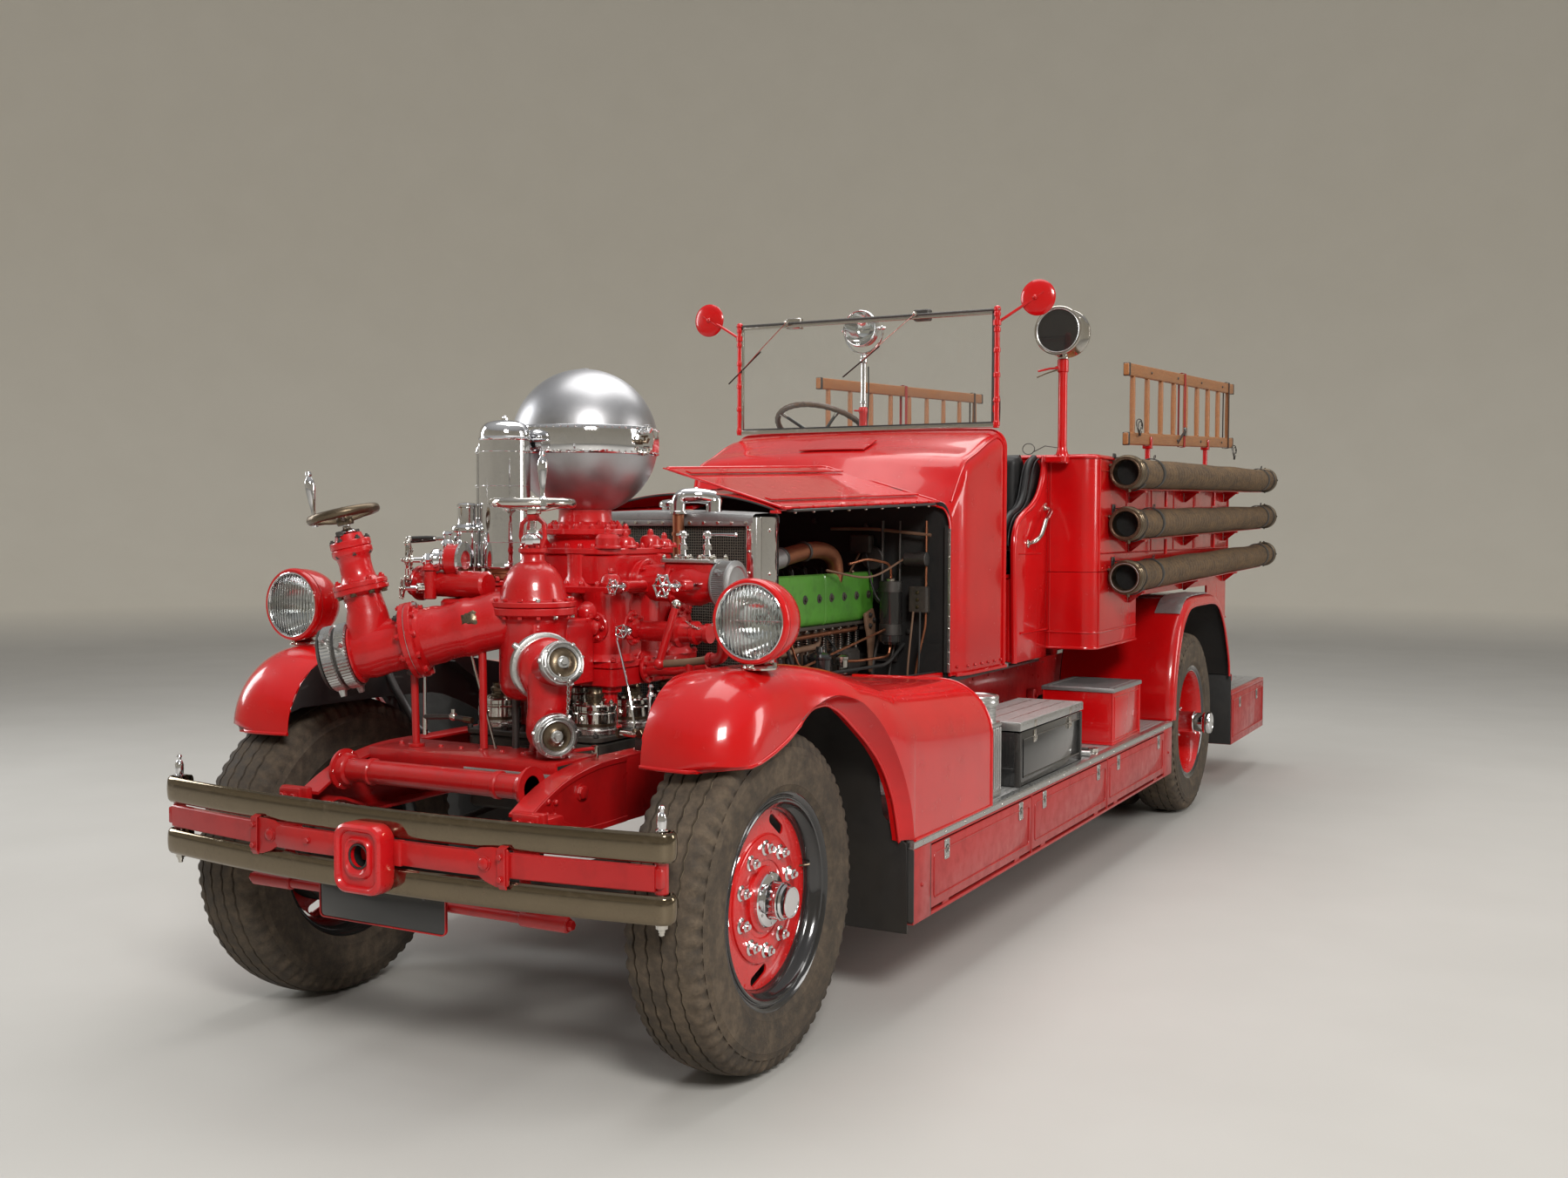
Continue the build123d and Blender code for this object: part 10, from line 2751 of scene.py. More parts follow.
DOORS = ((0.782, 1.832), (1.832, 2.904), (2.904, 3.961))
LATCH = ((0.930, 1.696), (1.984, 2.750), (3.080, 3.833))


def boards():
    p = Piece()
    for s in (1, -1):
        Y0, Y1 = 0.643, 4.118
        # board: dark sheet, ribs, bright nosing
        p.box(s * 0.431, s * 1.066, Y0, Y1, 0.548, 0.571, BLACK_WORN, 0.003)
        p.box(s * 0.440, s * 1.060, Y0 + 0.74, Y1 - 0.01, 0.571, 0.5745, ALU_WORN, 0.001)
        for x in np.linspace(0.47, 1.03, 22):
            p.box(s * x - 0.003, s * x + 0.003, Y0 + 0.76, Y1 - 0.03, 0.5742, 0.5762, ALU_WORN, 0.0008)
        sec = [(1.050, 0.5765), (1.068, 0.5770), (1.0765, 0.5745), (1.0800, 0.569), (1.0800, 0.552), (1.0775, 0.5475), (1.060, 0.5475), (1.060, 0.565)]
        loft(p, [[(s * x, y, z) for x, z in sec] for y in (Y0, Y0 + 0.002, Y1 - 0.002, Y1)], ALU, True, True)
        for y in np.arange(Y0 + 0.08, Y1, 0.19):
            p.bolt((s * 1.0795, y, 0.5605), (s, 0, 0), 0.0042, CHROME_OLD, kind="round", washer=False)
        # lockers: floor, back, ends, partitions and the frame round each door
        p.box(s * 0.780, s * 1.079, Y0, Y1, 0.300, 0.312, SKIRT, 0.002)
        p.box(s * 0.780, s * 0.790, Y0, Y1, 0.305, 0.547, SKIRT, 0.002)
        p.box(s * 0.780, s * 1.0795, Y0, 0.794, 0.3005, 0.547, BLACK_WORN, 0.003)
        p.box(s * 1.066, s * 1.0797, Y0 + 0.002, 0.786, 0.301, 0.547, SKIRT, 0.002)
        p.box(s * 0.780, s * 1.0795, 3.957, Y1, 0.3005, 0.547, SKIRT, 0.003)
        for y in (1.832, 2.904):
            p.box(s * 0.785, s * 1.0585, y - 0.011, y + 0.011, 0.305, 0.547, SKIRT, 0.001)
            p.box(s * 1.056, s * 1.0795, y - 0.0035, y + 0.0035, 0.301, 0.547, SKIRT, 0.001)
        p.box(s * 1.060, s * 1.0795, 0.786, 3.957, 0.5415, 0.5475, SKIRT, 0.001)
        for y in (0.712, 4.04):
            p.bolts((s * 1.0797, y, 0.42), (s, 0, 0), 0.0, 1, 0.006, SKIRT, "round")
        # hinge knuckles fixed to the sill
        for y0, y1 in DOORS:
            for k in (0.12, 0.82):
                yy = y0 + (y1 - y0) * k
                p.cyl((s * 1.070, yy - 0.021, 0.309), (s * 1.070, yy + 0.081, 0.309), 0.0039, DARK_STEEL, 10)
                for e in (-0.022, 0.070):
                    p.box(s * 1.058, s * 1.0735, yy + e, yy + e + 0.012, 0.3015, 0.3125, SKIRT, 0.001)
        # brackets from the frame
        for y in (0.90, 2.60, 3.70):
            p.box(s * 0.4305, s * 0.468, y - 0.03, y + 0.03, 0.572, 0.755, FRAME_RED, 0.004)
            for z in (0.61, 0.72):
                p.bolt((s * 0.468, y, z), (s, 0, 0), 0.011, FRAME_RED)
            p.prism([(0, 0), (0.20, 0), (0.04, -0.14), (0, -0.14)] if s > 0 else [(-0.20, 0), (0, 0), (0, -0.14), (-0.04, -0.14)], (s * 0.436, y, 0.547), (1, 0, 0), (0, 0, 1), 0.008, FRAME_RED, 0.001, both=True)
        # tail: step plates, locker box, tail board and its bearers
        p.box(s * 0.601, s * 1.079, 5.646, 6.699, 0.562, 0.586, FRAME_RED, 0.004)
        p.box(s * 0.63, s * 1.055, 5.67, 6.68, 0.586, 0.5895, ALU_WORN, 0.001)
        for k in range(17):
            for j in range(8):
                x, y = 0.66 + 0.052 * j, 5.70 + 0.059 * k
                p.obox((s * x, y, 0.5895), (1, 0.9 if (k + j) % 2 else -0.9, 0), (-0.9 if (k + j) % 2 else 0.9, 1, 0), (0.026, 0.005, 0.0016), ALU, 0)
        for x0, x1, y0, y1 in ((0.780, 0.795, 5.646, 6.699), (1.064, 1.079, 5.646, 6.699), (0.780, 1.079, 5.646, 5.660), (0.780, 1.079, 6.685, 6.699)):
            p.box(s * x0, s * x1, y0, y1, 0.256, 0.5615, SKIRT, 0.003)
        p.box(s * 0.782, s * 1.078, 5.65, 6.695, 0.256, 0.270, SKIRT, 0.003)
        p.tube([(s * 1.0795, y, z) for y, z in ((5.69, 0.30), (6.655, 0.30), (6.655, 0.53), (5.69, 0.53))], 0.0038, SKIRT, 8, closed=True)
        for y in (5.90, 6.45):
            latch(p, s, y, 0.500, 1.0795)
        # rear face: pressed bead, rivets and a round reflector
        p.tube([(s * x, 6.6995, z) for x, z in ((0.815, 0.295), (1.045, 0.295), (1.045, 0.530), (0.815, 0.530))], 0.0038, SKIRT, 8, closed=True)
        for x in (0.800, 0.865, 0.930, 0.995, 1.060):
            for z in (0.275, 0.548):
                p.bolt((s * x, 6.699, z), (0, 1, 0), 0.0055, SKIRT, kind="round", washer=False)
        p.lathe((s * 0.930, 6.699, 0.412), (0, 1, 0), [(0.040, 0.0), (0.040, 0.006), (0.036, 0.009), (0.033, 0.006)], CHROME_OLD, 32)
        p.lathe((s * 0.930, 6.699, 0.412), (0, 1, 0), [(0.034, 0.004), (0.030, 0.008), (0.018, 0.011), (0, 0.012)], REDLENS, 32)
        p.box(s * 0.382, s * 0.438, 6.282, 6.688, 0.590, 0.699, FRAME_RED, 0.004)
        # tail lamp on a bracket
        q = vec((s * 0.70, 6.640, 0.640))
        p.box(q[0] - 0.012, q[0] + 0.012, 6.60, 6.640, 0.589, 0.66, FRAME_RED, 0.003)
        p.lathe(q, (0, 1, 0), [(0, -0.045), (0.030, -0.040), (0.044, -0.020), (0.047, 0.0), (0.049, 0.010), (0.049, 0.016), (0.045, 0.019)], BLACK, 32)
        p.lathe(q, (0, 1, 0), [(0.045, 0.014), (0.042, 0.020), (0.030, 0.027), (0.014, 0.030), (0, 0.031)], REDLENS, 32)
        p.torus(q + (0, 0.017, 0), (0, 1, 0), 0.0465, 0.0025, CHROME, 32, 8)
    p.box(-0.609, 0.609, 6.312, 6.699, 0.562, 0.586, FRAME_RED, 0.004)
    p.box(-0.595, 0.595, 6.325, 6.688, 0.586, 0.5895, ALU_WORN, 0.001)
    p.box(-0.61, 0.61, 6.690, 6.700, 0.556, 0.592, ALU, 0.002)
    for k in range(6):
        for j in range(21):
            x, y = -0.56 + 0.056 * j, 6.35 + 0.059 * k
            p.obox((x, y, 0.5895), (1, 0.9 if (k + j) % 2 else -0.9, 0), (-0.9 if (k + j) % 2 else 0.9, 1, 0), (0.026, 0.005, 0.0016), ALU, 0)
    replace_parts(p.make("boards_and_lockers"), "running_boards")


def latch(p, s, y, z, x):
    """Aluminium plate with a turning ring in a round slot."""
    q = vec((s * x, y, z))
    pl = rrect(0.046, 0.070, 0.008, 4)
    p.prism(pl if s > 0 else pl[::-1], q + (s * 0.0015, 0, 0), (0, 1, 0), (0, 0, 1), 0.003, ALU, 0.001, both=True)
    # near-black recess: painted shade in the round slot
    p.lathe(q + (s * 0.003, 0, 0), (s, 0, 0), [(0.0150, 0.0002), (0.0150, 0.0012), (0.0128, 0.0012), (0.0125, 0.0004), (0, 0.0004)], BLACK_MARK_AND_HOLE_SHADE, 24)
    p.torus(q + (s * 0.0036, 0, -0.003), (s, 0, 0), 0.0105, 0.0019, CHROME_OLD, 22, 6)
    p.box(*sorted((q[0] + s * 0.003, q[0] + s * 0.0055)), y - 0.006, y + 0.006, z + 0.006, z + 0.012, CHROME_OLD, 0.001)
    for a in (-0.028, 0.028):
        for b in (-0.016, 0.016):
            p.bolt(q + (s * 0.003, b, a), (s, 0, 0), 0.0024, CHROME_OLD, kind="round", washer=False)


def lens_red():
    m, nt, b = mat("red_lens")
    c = coords(nt)
    b.inputs["Base Color"].default_value = (0.55, 0.005, 0.005, 1)
    nt.links.new(to_range(nt, noise(nt, c, 60, 3), 0.06, 0.2, 0.4, 0.7), b.inputs["Roughness"])
    b.inputs["Transmission Weight"].default_value = 0.6
    w = N(nt, "ShaderNodeTexVoronoi")
    w.inputs["Scale"].default_value = 150
    nt.links.new(c, w.inputs["Vector"])
    bump(nt, b, w.outputs["Distance"], 0.4, 0.002)
    return m


REDLENS = lens_red()
boards()


def locker(side, i):
    s = 1 if side == "left" else -1
    y0, y1 = DOORS[i]
    p = Piece()
    a, b = y0 + 0.006, y1 - 0.006
    pl = rrect(b - a, 0.211, 0.010, 4)
    p.prism(pl if s > 0 else pl[::-1], (s * 1.0735, (a + b) / 2, 0.4290), (0, 1, 0), (0, 0, 1), 0.0105, SKIRT, 0.0028, both=True)
    loop = [(s * 1.0792, (a + b) / 2 + u, 0.429 + v) for u, v in rrect(b - a - 0.060, 0.150, 0.014, 5)]
    p.tube(loop, 0.0032, SKIRT, 8, closed=True)
    for k in (0.12, 0.82):
        yy = y0 + (y1 - y0) * k
        p.cyl((s * 1.070, yy + 0.001, 0.309), (s * 1.070, yy + 0.059, 0.309), 0.0068, SKIRT, 12, bev=0.001)
        p.box(s * 1.0665, s * 1.0745, yy + 0.002, yy + 0.058, 0.309, 0.33, SKIRT, 0.001)
    for y in LATCH[i]:
        latch(p, s, y, 0.500, 1.0788)
    o = p.make(f"locker_leaf_{side}_{i + 1}", body=f"locker_door_{side}_{i + 1}")
    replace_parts(o, f"locker_door_{side}_{i + 1}")


for _side in ("left", "right"):
    for _i in range(3):
        locker(_side, _i)


def boxes():
    p = Piece()
    # ribbed can with a stepped screw lid
    rbox(p, 0.905, 1.035, 1.445, 1.595, 0.576, 0.852, ALU, 0.022, 0.008)
    rbox(p, 0.900, 1.040, 1.440, 1.600, 0.576, 0.600, ALU, 0.024, 0.004)
    rbox(p, 0.900, 1.040, 1.440, 1.600, 0.838, 0.858, ALU, 0.024, 0.006)
    for x in np.linspace(0.925, 1.015, 5):
        for y in (1.443, 1.597):
            p.box(x - 0.005, x + 0.005, y - 0.003, y + 0.003, 0.60, 0.838, ALU, 0.002)
    for y in np.linspace(1.465, 1.575, 6):
        for x in (0.903, 1.037):
            p.box(x - 0.003, x + 0.003, y - 0.005, y + 0.005, 0.60, 0.838, ALU, 0.002)
    c = vec((0.965, 1.520, 0))
    p.lathe(c, (0, 0, 1), [(0.070, 0.855), (0.071, 0.862), (0.0680, 0.868), (0.0680, 0.880), (0.0705, 0.883), (0.0705, 0.889), (0.0680, 0.892), (0.0680, 0.905), (0.0705, 0.908), (0.0705, 0.914), (0.0680, 0.917), (0.0680, 0.926)], ALU, 56)
    p.lathe(c, (0, 0, 1), [(0.068, 0.9245), (0.0785, 0.9255), (0.0798, 0.929), (0.0798, 0.940), (0.0780, 0.943), (0.0780, 0.946), (0.0798, 0.949), (0.0798, 0.957), (0.0780, 0.9605), (0.072, 0.962), (0.069, 0.9585), (0.060, 0.9575), (0.052, 0.9595), (0.030, 0.9600), (0, 0.9600)], ALU, 56)
    p.strip([(0.900, 1.442, 0.70), (0.965, 1.436, 0.70), (1.040, 1.442, 0.70)], 0.022, 0.003, (0, 0, 1), DARK_STEEL)
    # black tool box: black sheet, dark corner angles, latch, handle
    x0, x1, y0, y1, z = 0.757, 1.045, 1.775, 2.600, 0.790
    t = 0.004
    for a in ((x0, x0 + t, y0, y1), (x1 - t, x1, y0, y1), (x0, x1, y0, y0 + t), (x0, x1, y1 - t, y1)):
        p.box(a[0], a[1], a[2], a[3], 0.5755, z, BLACK, 0.0012)
    p.box(x0, x1, y0, y1, 0.5755, 0.580, BLACK, 0.001)
    for a, b in ((x0, y0), (x1, y0), (x0, y1), (x1, y1)):
        sa, sb = (1 if a == x0 else -1), (1 if b == y0 else -1)
        p.box(*sorted((a - sa * 0.0012, a + sa * 0.020)), *sorted((b - sb * 0.0012, b + sb * 0.0004)), 0.577, z - 0.002, DARK_STEEL, 0.0006)
        p.box(*sorted((a - sa * 0.0012, a + sa * 0.0004)), *sorted((b - sb * 0.0012, b + sb * 0.020)), 0.577, z - 0.002, DARK_STEEL, 0.0006)
    p.tube([(x1 + 0.001, y, zz) for y, zz in ((y0 + 0.04, 0.61), (y1 - 0.04, 0.61), (y1 - 0.04, 0.76), (y0 + 0.04, 0.76))], 0.0030, BLACK, 6, closed=True)
    for yy in (y0 + 0.18, y1 - 0.18):
        p.box(x1, x1 + 0.004, yy - 0.016, yy + 0.016, 0.735, 0.785, CHROME_OLD, 0.001)
        p.torus((x1 + 0.006, yy, 0.752), (1, 0, 0), 0.012, 0.002, CHROME_OLD, 20, 6)
    p.tube(bend([((x0 + x1) / 2 - 0.06, y0 - 0.001, 0.70), ((x0 + x1) / 2 - 0.06, y0 - 0.018, 0.70), ((x0 + x1) / 2 + 0.06, y0 - 0.018, 0.70), ((x0 + x1) / 2 + 0.06, y0 - 0.001, 0.70)], 0.01), 0.005, DARK_STEEL, 10)
    p.cyl((0.745, y0 + 0.04, 0.797), (0.745, y1 - 0.04, 0.797), 0.004, DARK_STEEL, 10)
    for yy in (y0 + 0.04, y1 - 0.052):
        p.box(0.740, x0 + 0.001, yy, yy + 0.012, 0.776, 0.801, DARK_STEEL, 0.001)
    # red box with pressed borders
    x0, x1, y0, y1, z = 0.715, 1.050, 3.075, 3.560, 0.835
    for a in ((x0, x0 + t, y0, y1), (x1 - t, x1, y0, y1), (x0, x1, y0, y0 + t), (x0, x1, y1 - t, y1)):
        p.box(a[0], a[1], a[2], a[3], 0.5755, z, RED, 0.0015)
    p.box(x0, x1, y0, y1, 0.5755, 0.580, RED, 0.001)
    for a, b in ((x0, y0), (x1, y0), (x0, y1), (x1, y1)):
        p.tube([(a, b, 0.577), (a, b, z)], 0.0035, RED, 8)
    p.tube([(x1 + 0.0005, y, zz) for y, zz in ((y0 + 0.03, 0.60), (y1 - 0.03, 0.60), (y1 - 0.03, 0.80), (y0 + 0.03, 0.80))], 0.0028, RED, 6, closed=True)
    p.box(x0 - 0.003, x1 + 0.003, y0 - 0.003, y1 + 0.003, 0.576, 0.590, RED, 0.002)
    # bright spanners lying by the tool box, black grip
    for (xa, ya), (xb, yb), m, r in (((0.79, 2.650), (1.050, 2.700), CHROME, 0.0105), ((0.865, 2.640), (0.945, 2.735), CHROME_OLD, 0.012)):
        p.tube([(xa, ya, 0.589), (xb, yb, 0.589)], r, m, 14)
    p.tube([(0.99, 2.688, 0.589), (1.056, 2.7015, 0.589)], 0.0135, ALU, 14)
    p.lathe((0.900, 2.690, 0.577), (0, 0, 1), [(0.026, 0), (0.026, 0.020), (0.018, 0.026), (0.012, 0.026), (0.012, 0.008)], CHROME, 24)
    p.ball((0.862, 2.637, 0.590), 0.0145, BLACK, 16, 10)
    p.tube([(0.76, 2.80, 0.588), (1.03, 2.835, 0.588)], 0.008, DARK_STEEL, 12)
    p.lathe((1.03, 2.835, 0.577), (0, 0, 1), [(0.024, 0), (0.024, 0.018), (0.014, 0.018), (0.014, 0.002)], CHROME_OLD, 24)
    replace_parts(p.make("board_boxes_detail"), "board_boxes")

    p = Piece()
    x0, x1, y0, y1 = 0.757, 1.045, 1.775, 2.600
    rbox(p, x0 - 0.0035, x1 + 0.0045, y0 - 0.0045, y1 + 0.0045, 0.8265, 0.8315, ALU_WORN, 0.008, 0.002)
    for a in ((x0 - 0.004, x0 - 0.0005, y0 - 0.004, y1 + 0.004), (x1 + 0.0012, x1 + 0.005, y0 - 0.004, y1 + 0.004), (x0 - 0.004, x1 + 0.005, y0 - 0.005, y0 - 0.0015), (x0 - 0.004, x1 + 0.005, y1 + 0.0015, y1 + 0.005)):
        p.box(a[0], a[1], a[2], a[3], 0.7965, 0.8285, ALU, 0.001)
    for yy in (y0 + 0.09, y1 - 0.15):
        p.cyl((0.745, yy + 0.001, 0.797), (0.745, yy + 0.059, 0.797), 0.0085, DARK_STEEL, 16, bev=0.001)
        p.box(0.746, x0 - 0.001, yy + 0.002, yy + 0.058, 0.799, 0.806, DARK_STEEL, 0.001)
    for k in range(3):
        xx = x0 + 0.07 + 0.075 * k
        p.box(xx - 0.004, xx + 0.004, y0 + 0.03, y1 - 0.03, 0.8308, 0.8320, ALU, 0.0005)
    for yy in (y0 + 0.18, y1 - 0.18):
        p.box(x1 + 0.0045, x1 + 0.0062, yy - 0.015, yy + 0.015, 0.797, 0.824, CHROME_OLD, 0.0005)
    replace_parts(p.make("tool_box_cover", body="tool_box_lid"), "tool_box_lid")

    p = Piece()
    x0, x1, y0, y1, z = 0.715, 1.050, 3.075, 3.560, 0.835
    rbox(p, x0 - 0.0075, x1 + 0.0075, y0 - 0.0075, y1 + 0.0075, 0.8365, 0.8425, GALV, 0.010, 0.002)
    for a in ((x0 - 0.008, x0 - 0.0055, y0 - 0.008, y1 + 0.008), (x1 + 0.0055, x1 + 0.008, y0 - 0.008, y1 + 0.008), (x0 - 0.008, x1 + 0.008, y0 - 0.008, y0 - 0.0055), (x0 - 0.008, x1 + 0.008, y1 + 0.0055, y1 + 0.008)):
        p.box(a[0], a[1], a[2], a[3], 0.8235, 0.8400, GALV, 0.001)
    p.tube([(x, y, 0.8420) for x, y in ((x0 + 0.02, y0 + 0.02), (x1 - 0.02, y0 + 0.02), (x1 - 0.02, y1 - 0.02), (x0 + 0.02, y1 - 0.02))], 0.0030, GALV, 8, closed=True)
    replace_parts(p.make("red_box_cover", body="red_box_lid"), "red_box_lid")


boxes()


def hoses(s):
    p = Piece()
    X = s * 1.010
    for zi, z in enumerate((1.862, 1.612, 1.352)):
        a, b = vec((X, 3.420, z)), vec((X, 7.060, z + 0.066))
        d = unit(b - a)
        L = np.linalg.norm(b - a)
        # ribbed rubber and canvas body that sags a little between its rests
        ts = np.linspace(0.030, 1.0, 230)
        path, rr = [], []
        for t in ts:
            q = a + (b - a) * t
            q = q + vec((0, 0, -0.004 * sin(t * 3 * pi) ** 2 - 0.001 * sin(t * 23 + zi)))
            path.append(q)
            rr.append(0.0718 + 0.0019 * cos(t * L / 0.0605 * 2 * pi) + 0.0008 * sin(t * 31 + zi * 2))
        p.tube(path, rr, CANVAS, 26)
        # front coupling: hollow, ringed, with lugs
        m = BRASS_DK if zi < 2 else ALU_WORN
        p.lathe(vec((X, 3.400, z)), d, [(0.0605, 0.075), (0.0605, 0.004), (0.0630, 0.0), (0.0780, 0.0), (0.0805, 0.003), (0.0810, 0.016), (0.0850, 0.018), (0.0858, 0.022), (0.0858, 0.030), (0.0850, 0.034), (0.0800, 0.036), (0.0785, 0.050), (0.0840, 0.053), (0.0852, 0.057), (0.0852, 0.065), (0.0840, 0.070), (0.0770, 0.074), (0.0755, 0.098), (0.0740, 0.100)], BRASS_DK, 52)
        # near-black disc inside the coupling: painted shade of its bore
        p.lathe(vec((X, 3.400, z)), d, [(0.0608, 0.070), (0, 0.072)], BLACK_MARK_AND_HOLE_SHADE, 40)
        p.lathe(vec((X, 3.400, z)), d, [(0.0770, 0.074), (0.0745, 0.125)], CANVAS, 40)
        p.torus(vec((X, 3.403, z)), d, 0.0690, 0.0035, m, 48, 8)
        u, w = basis(d)
        for t in (0.4, 2.5, 4.6):
            e = u * cos(t) + w * sin(t)
            p.tube([vec((X, 3.426, z)) + e * 0.080, vec((X, 3.426, z)) + e * 0.0965], [0.012, 0.008], BRASS_DK, 12)
        # binding of the tail and front: sewn canvas with thin wire turns
        for y in (3.530, 3.548, 6.955, 6.972, 6.989):
            t = (y - 3.420) / 3.640
            p.torus(a + (b - a) * t, d, 0.0748, 0.0018, DARK_STEEL, 32, 5)
        # steel bands with eyes
        for y in (3.870, 6.760):
            t = (y - 3.420) / 3.640
            q = a + (b - a) * t
            p.lathe(q - d * 0.016, d, [(0.0735, 0), (0.0780, 0.0005), (0.0790, 0.003), (0.0790, 0.029), (0.0780, 0.0315), (0.0735, 0.032)], DARK_STEEL, 48)
            e = unit(vec((s * 0.25, 0, 1)))
            p.tube([q + e * 0.076 + (0, -0.012, 0), q + e * 0.094 + (0, -0.016, 0), q + e * 0.097 + (0, 0.006, 0), q + e * 0.088 + (0, 0.014, 0), q + e * 0.076 + (0, 0.010, 0)], 0.0024, DARK_STEEL, 6)
        # rear cap with its pin and ring
        e0 = vec((X, 7.000, z + 0.065))
        p.lathe(e0, (0, 1, 0), [(0.0735, -0.012), (0.0820, -0.008), (0.0835, 0.0), (0.0835, 0.018), (0.0810, 0.022), (0.0800, 0.040), (0.0760, 0.056), (0.0640, 0.070), (0.0440, 0.078), (0.0220, 0.081), (0.0190, 0.084), (0.0185, 0.110), (0.0195, 0.112), (0.0195, 0.132), (0.0170, 0.137), (0, 0.138)], BRASS_DK, 48)
        p.bolts(e0 + vec((0, 0.012, 0)), (0, 1, 0), 0.083, 4, 0.006, DARK_STEEL, "round", washer=False)
        # tray under the hose: red angle with a wooden liner, posts between
        f = lambda y: (y - 3.400) / 3.660 * 0.066
        for y0_, y1_ in ((3.62, 6.86),):
            p.strip([(s * 0.980, y, z + f(y) - 0.0815) for y in (y0_, y1_)], 0.074, 0.006, (1, 0, 0), RED)
            p.strip([(s * 0.9425, y, z + f(y) - 0.066) for y in (y0_, y1_)], 0.034, 0.004, (0, 0, 1), RED)
            p.strip([(s * 0.985, y, z + f(y) - 0.0765) for y in (y0_ + 0.01, y1_ - 0.01)], 0.030, 0.004, (1, 0, 0), WOOD)
        for y in (3.8, 5.0, 6.1):
            p.box(s * 0.921, s * 1.010, y - 0.024, y + 0.024, z + f(y) - 0.0975, z + f(y) - 0.0845, RED, 0.003)
            p.prism([(0, 0), (0.075, 0), (0.012, -0.050), (0, -0.050)] if s > 0 else [(-0.075, 0), (0, 0), (0, -0.050), (-0.012, -0.050)], (s * 0.921, y, z + f(y) - 0.0975), (1, 0, 0), (0, 0, 1), 0.006, RED, 0.001, both=True)
            p.bolt((s * 0.927, y, z + f(y) - 0.125), (s, 0, 0), 0.007, FRAME_RED)
        # curved dark holder at the front
        hold = [(X + s * 0.0 + 0.0905 * cos(t), 3.505, z + 0.004 + 0.0905 * sin(t)) for t in (np.linspace(radians(125), radians(320), 26) if s > 0 else np.linspace(radians(55), radians(-140), 26))]
        p.strip([(s * 0.924, 3.505, z + 0.076)] + hold, 0.034, 0.005, (0, 1, 0), DARK_STEEL)
        p.box(s * 0.9215, s * 0.9265, 3.480, 3.530, z + 0.03, z + 0.098, DARK_STEEL, 0.002)
        for dz in (0.045, 0.085):
            p.bolt((s * 0.9265, 3.505, z + dz), (s, 0, 0), 0.006, DARK_STEEL)
    for y in (4.35, 5.55):
        for z in (1.737, 1.482):
            f_ = (y - 3.400) / 3.660 * 0.066
            p.cyl((s * 0.975, y, z + f_ - 0.046), (s * 0.975, y, z + f_ + 0.036), 0.009, RED, 12)
    return p.make(f"suction_hoses_{'left' if s > 0 else 'right'}")


for _s in (1, -1):
    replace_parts(hoses(_s), "suction_hoses")


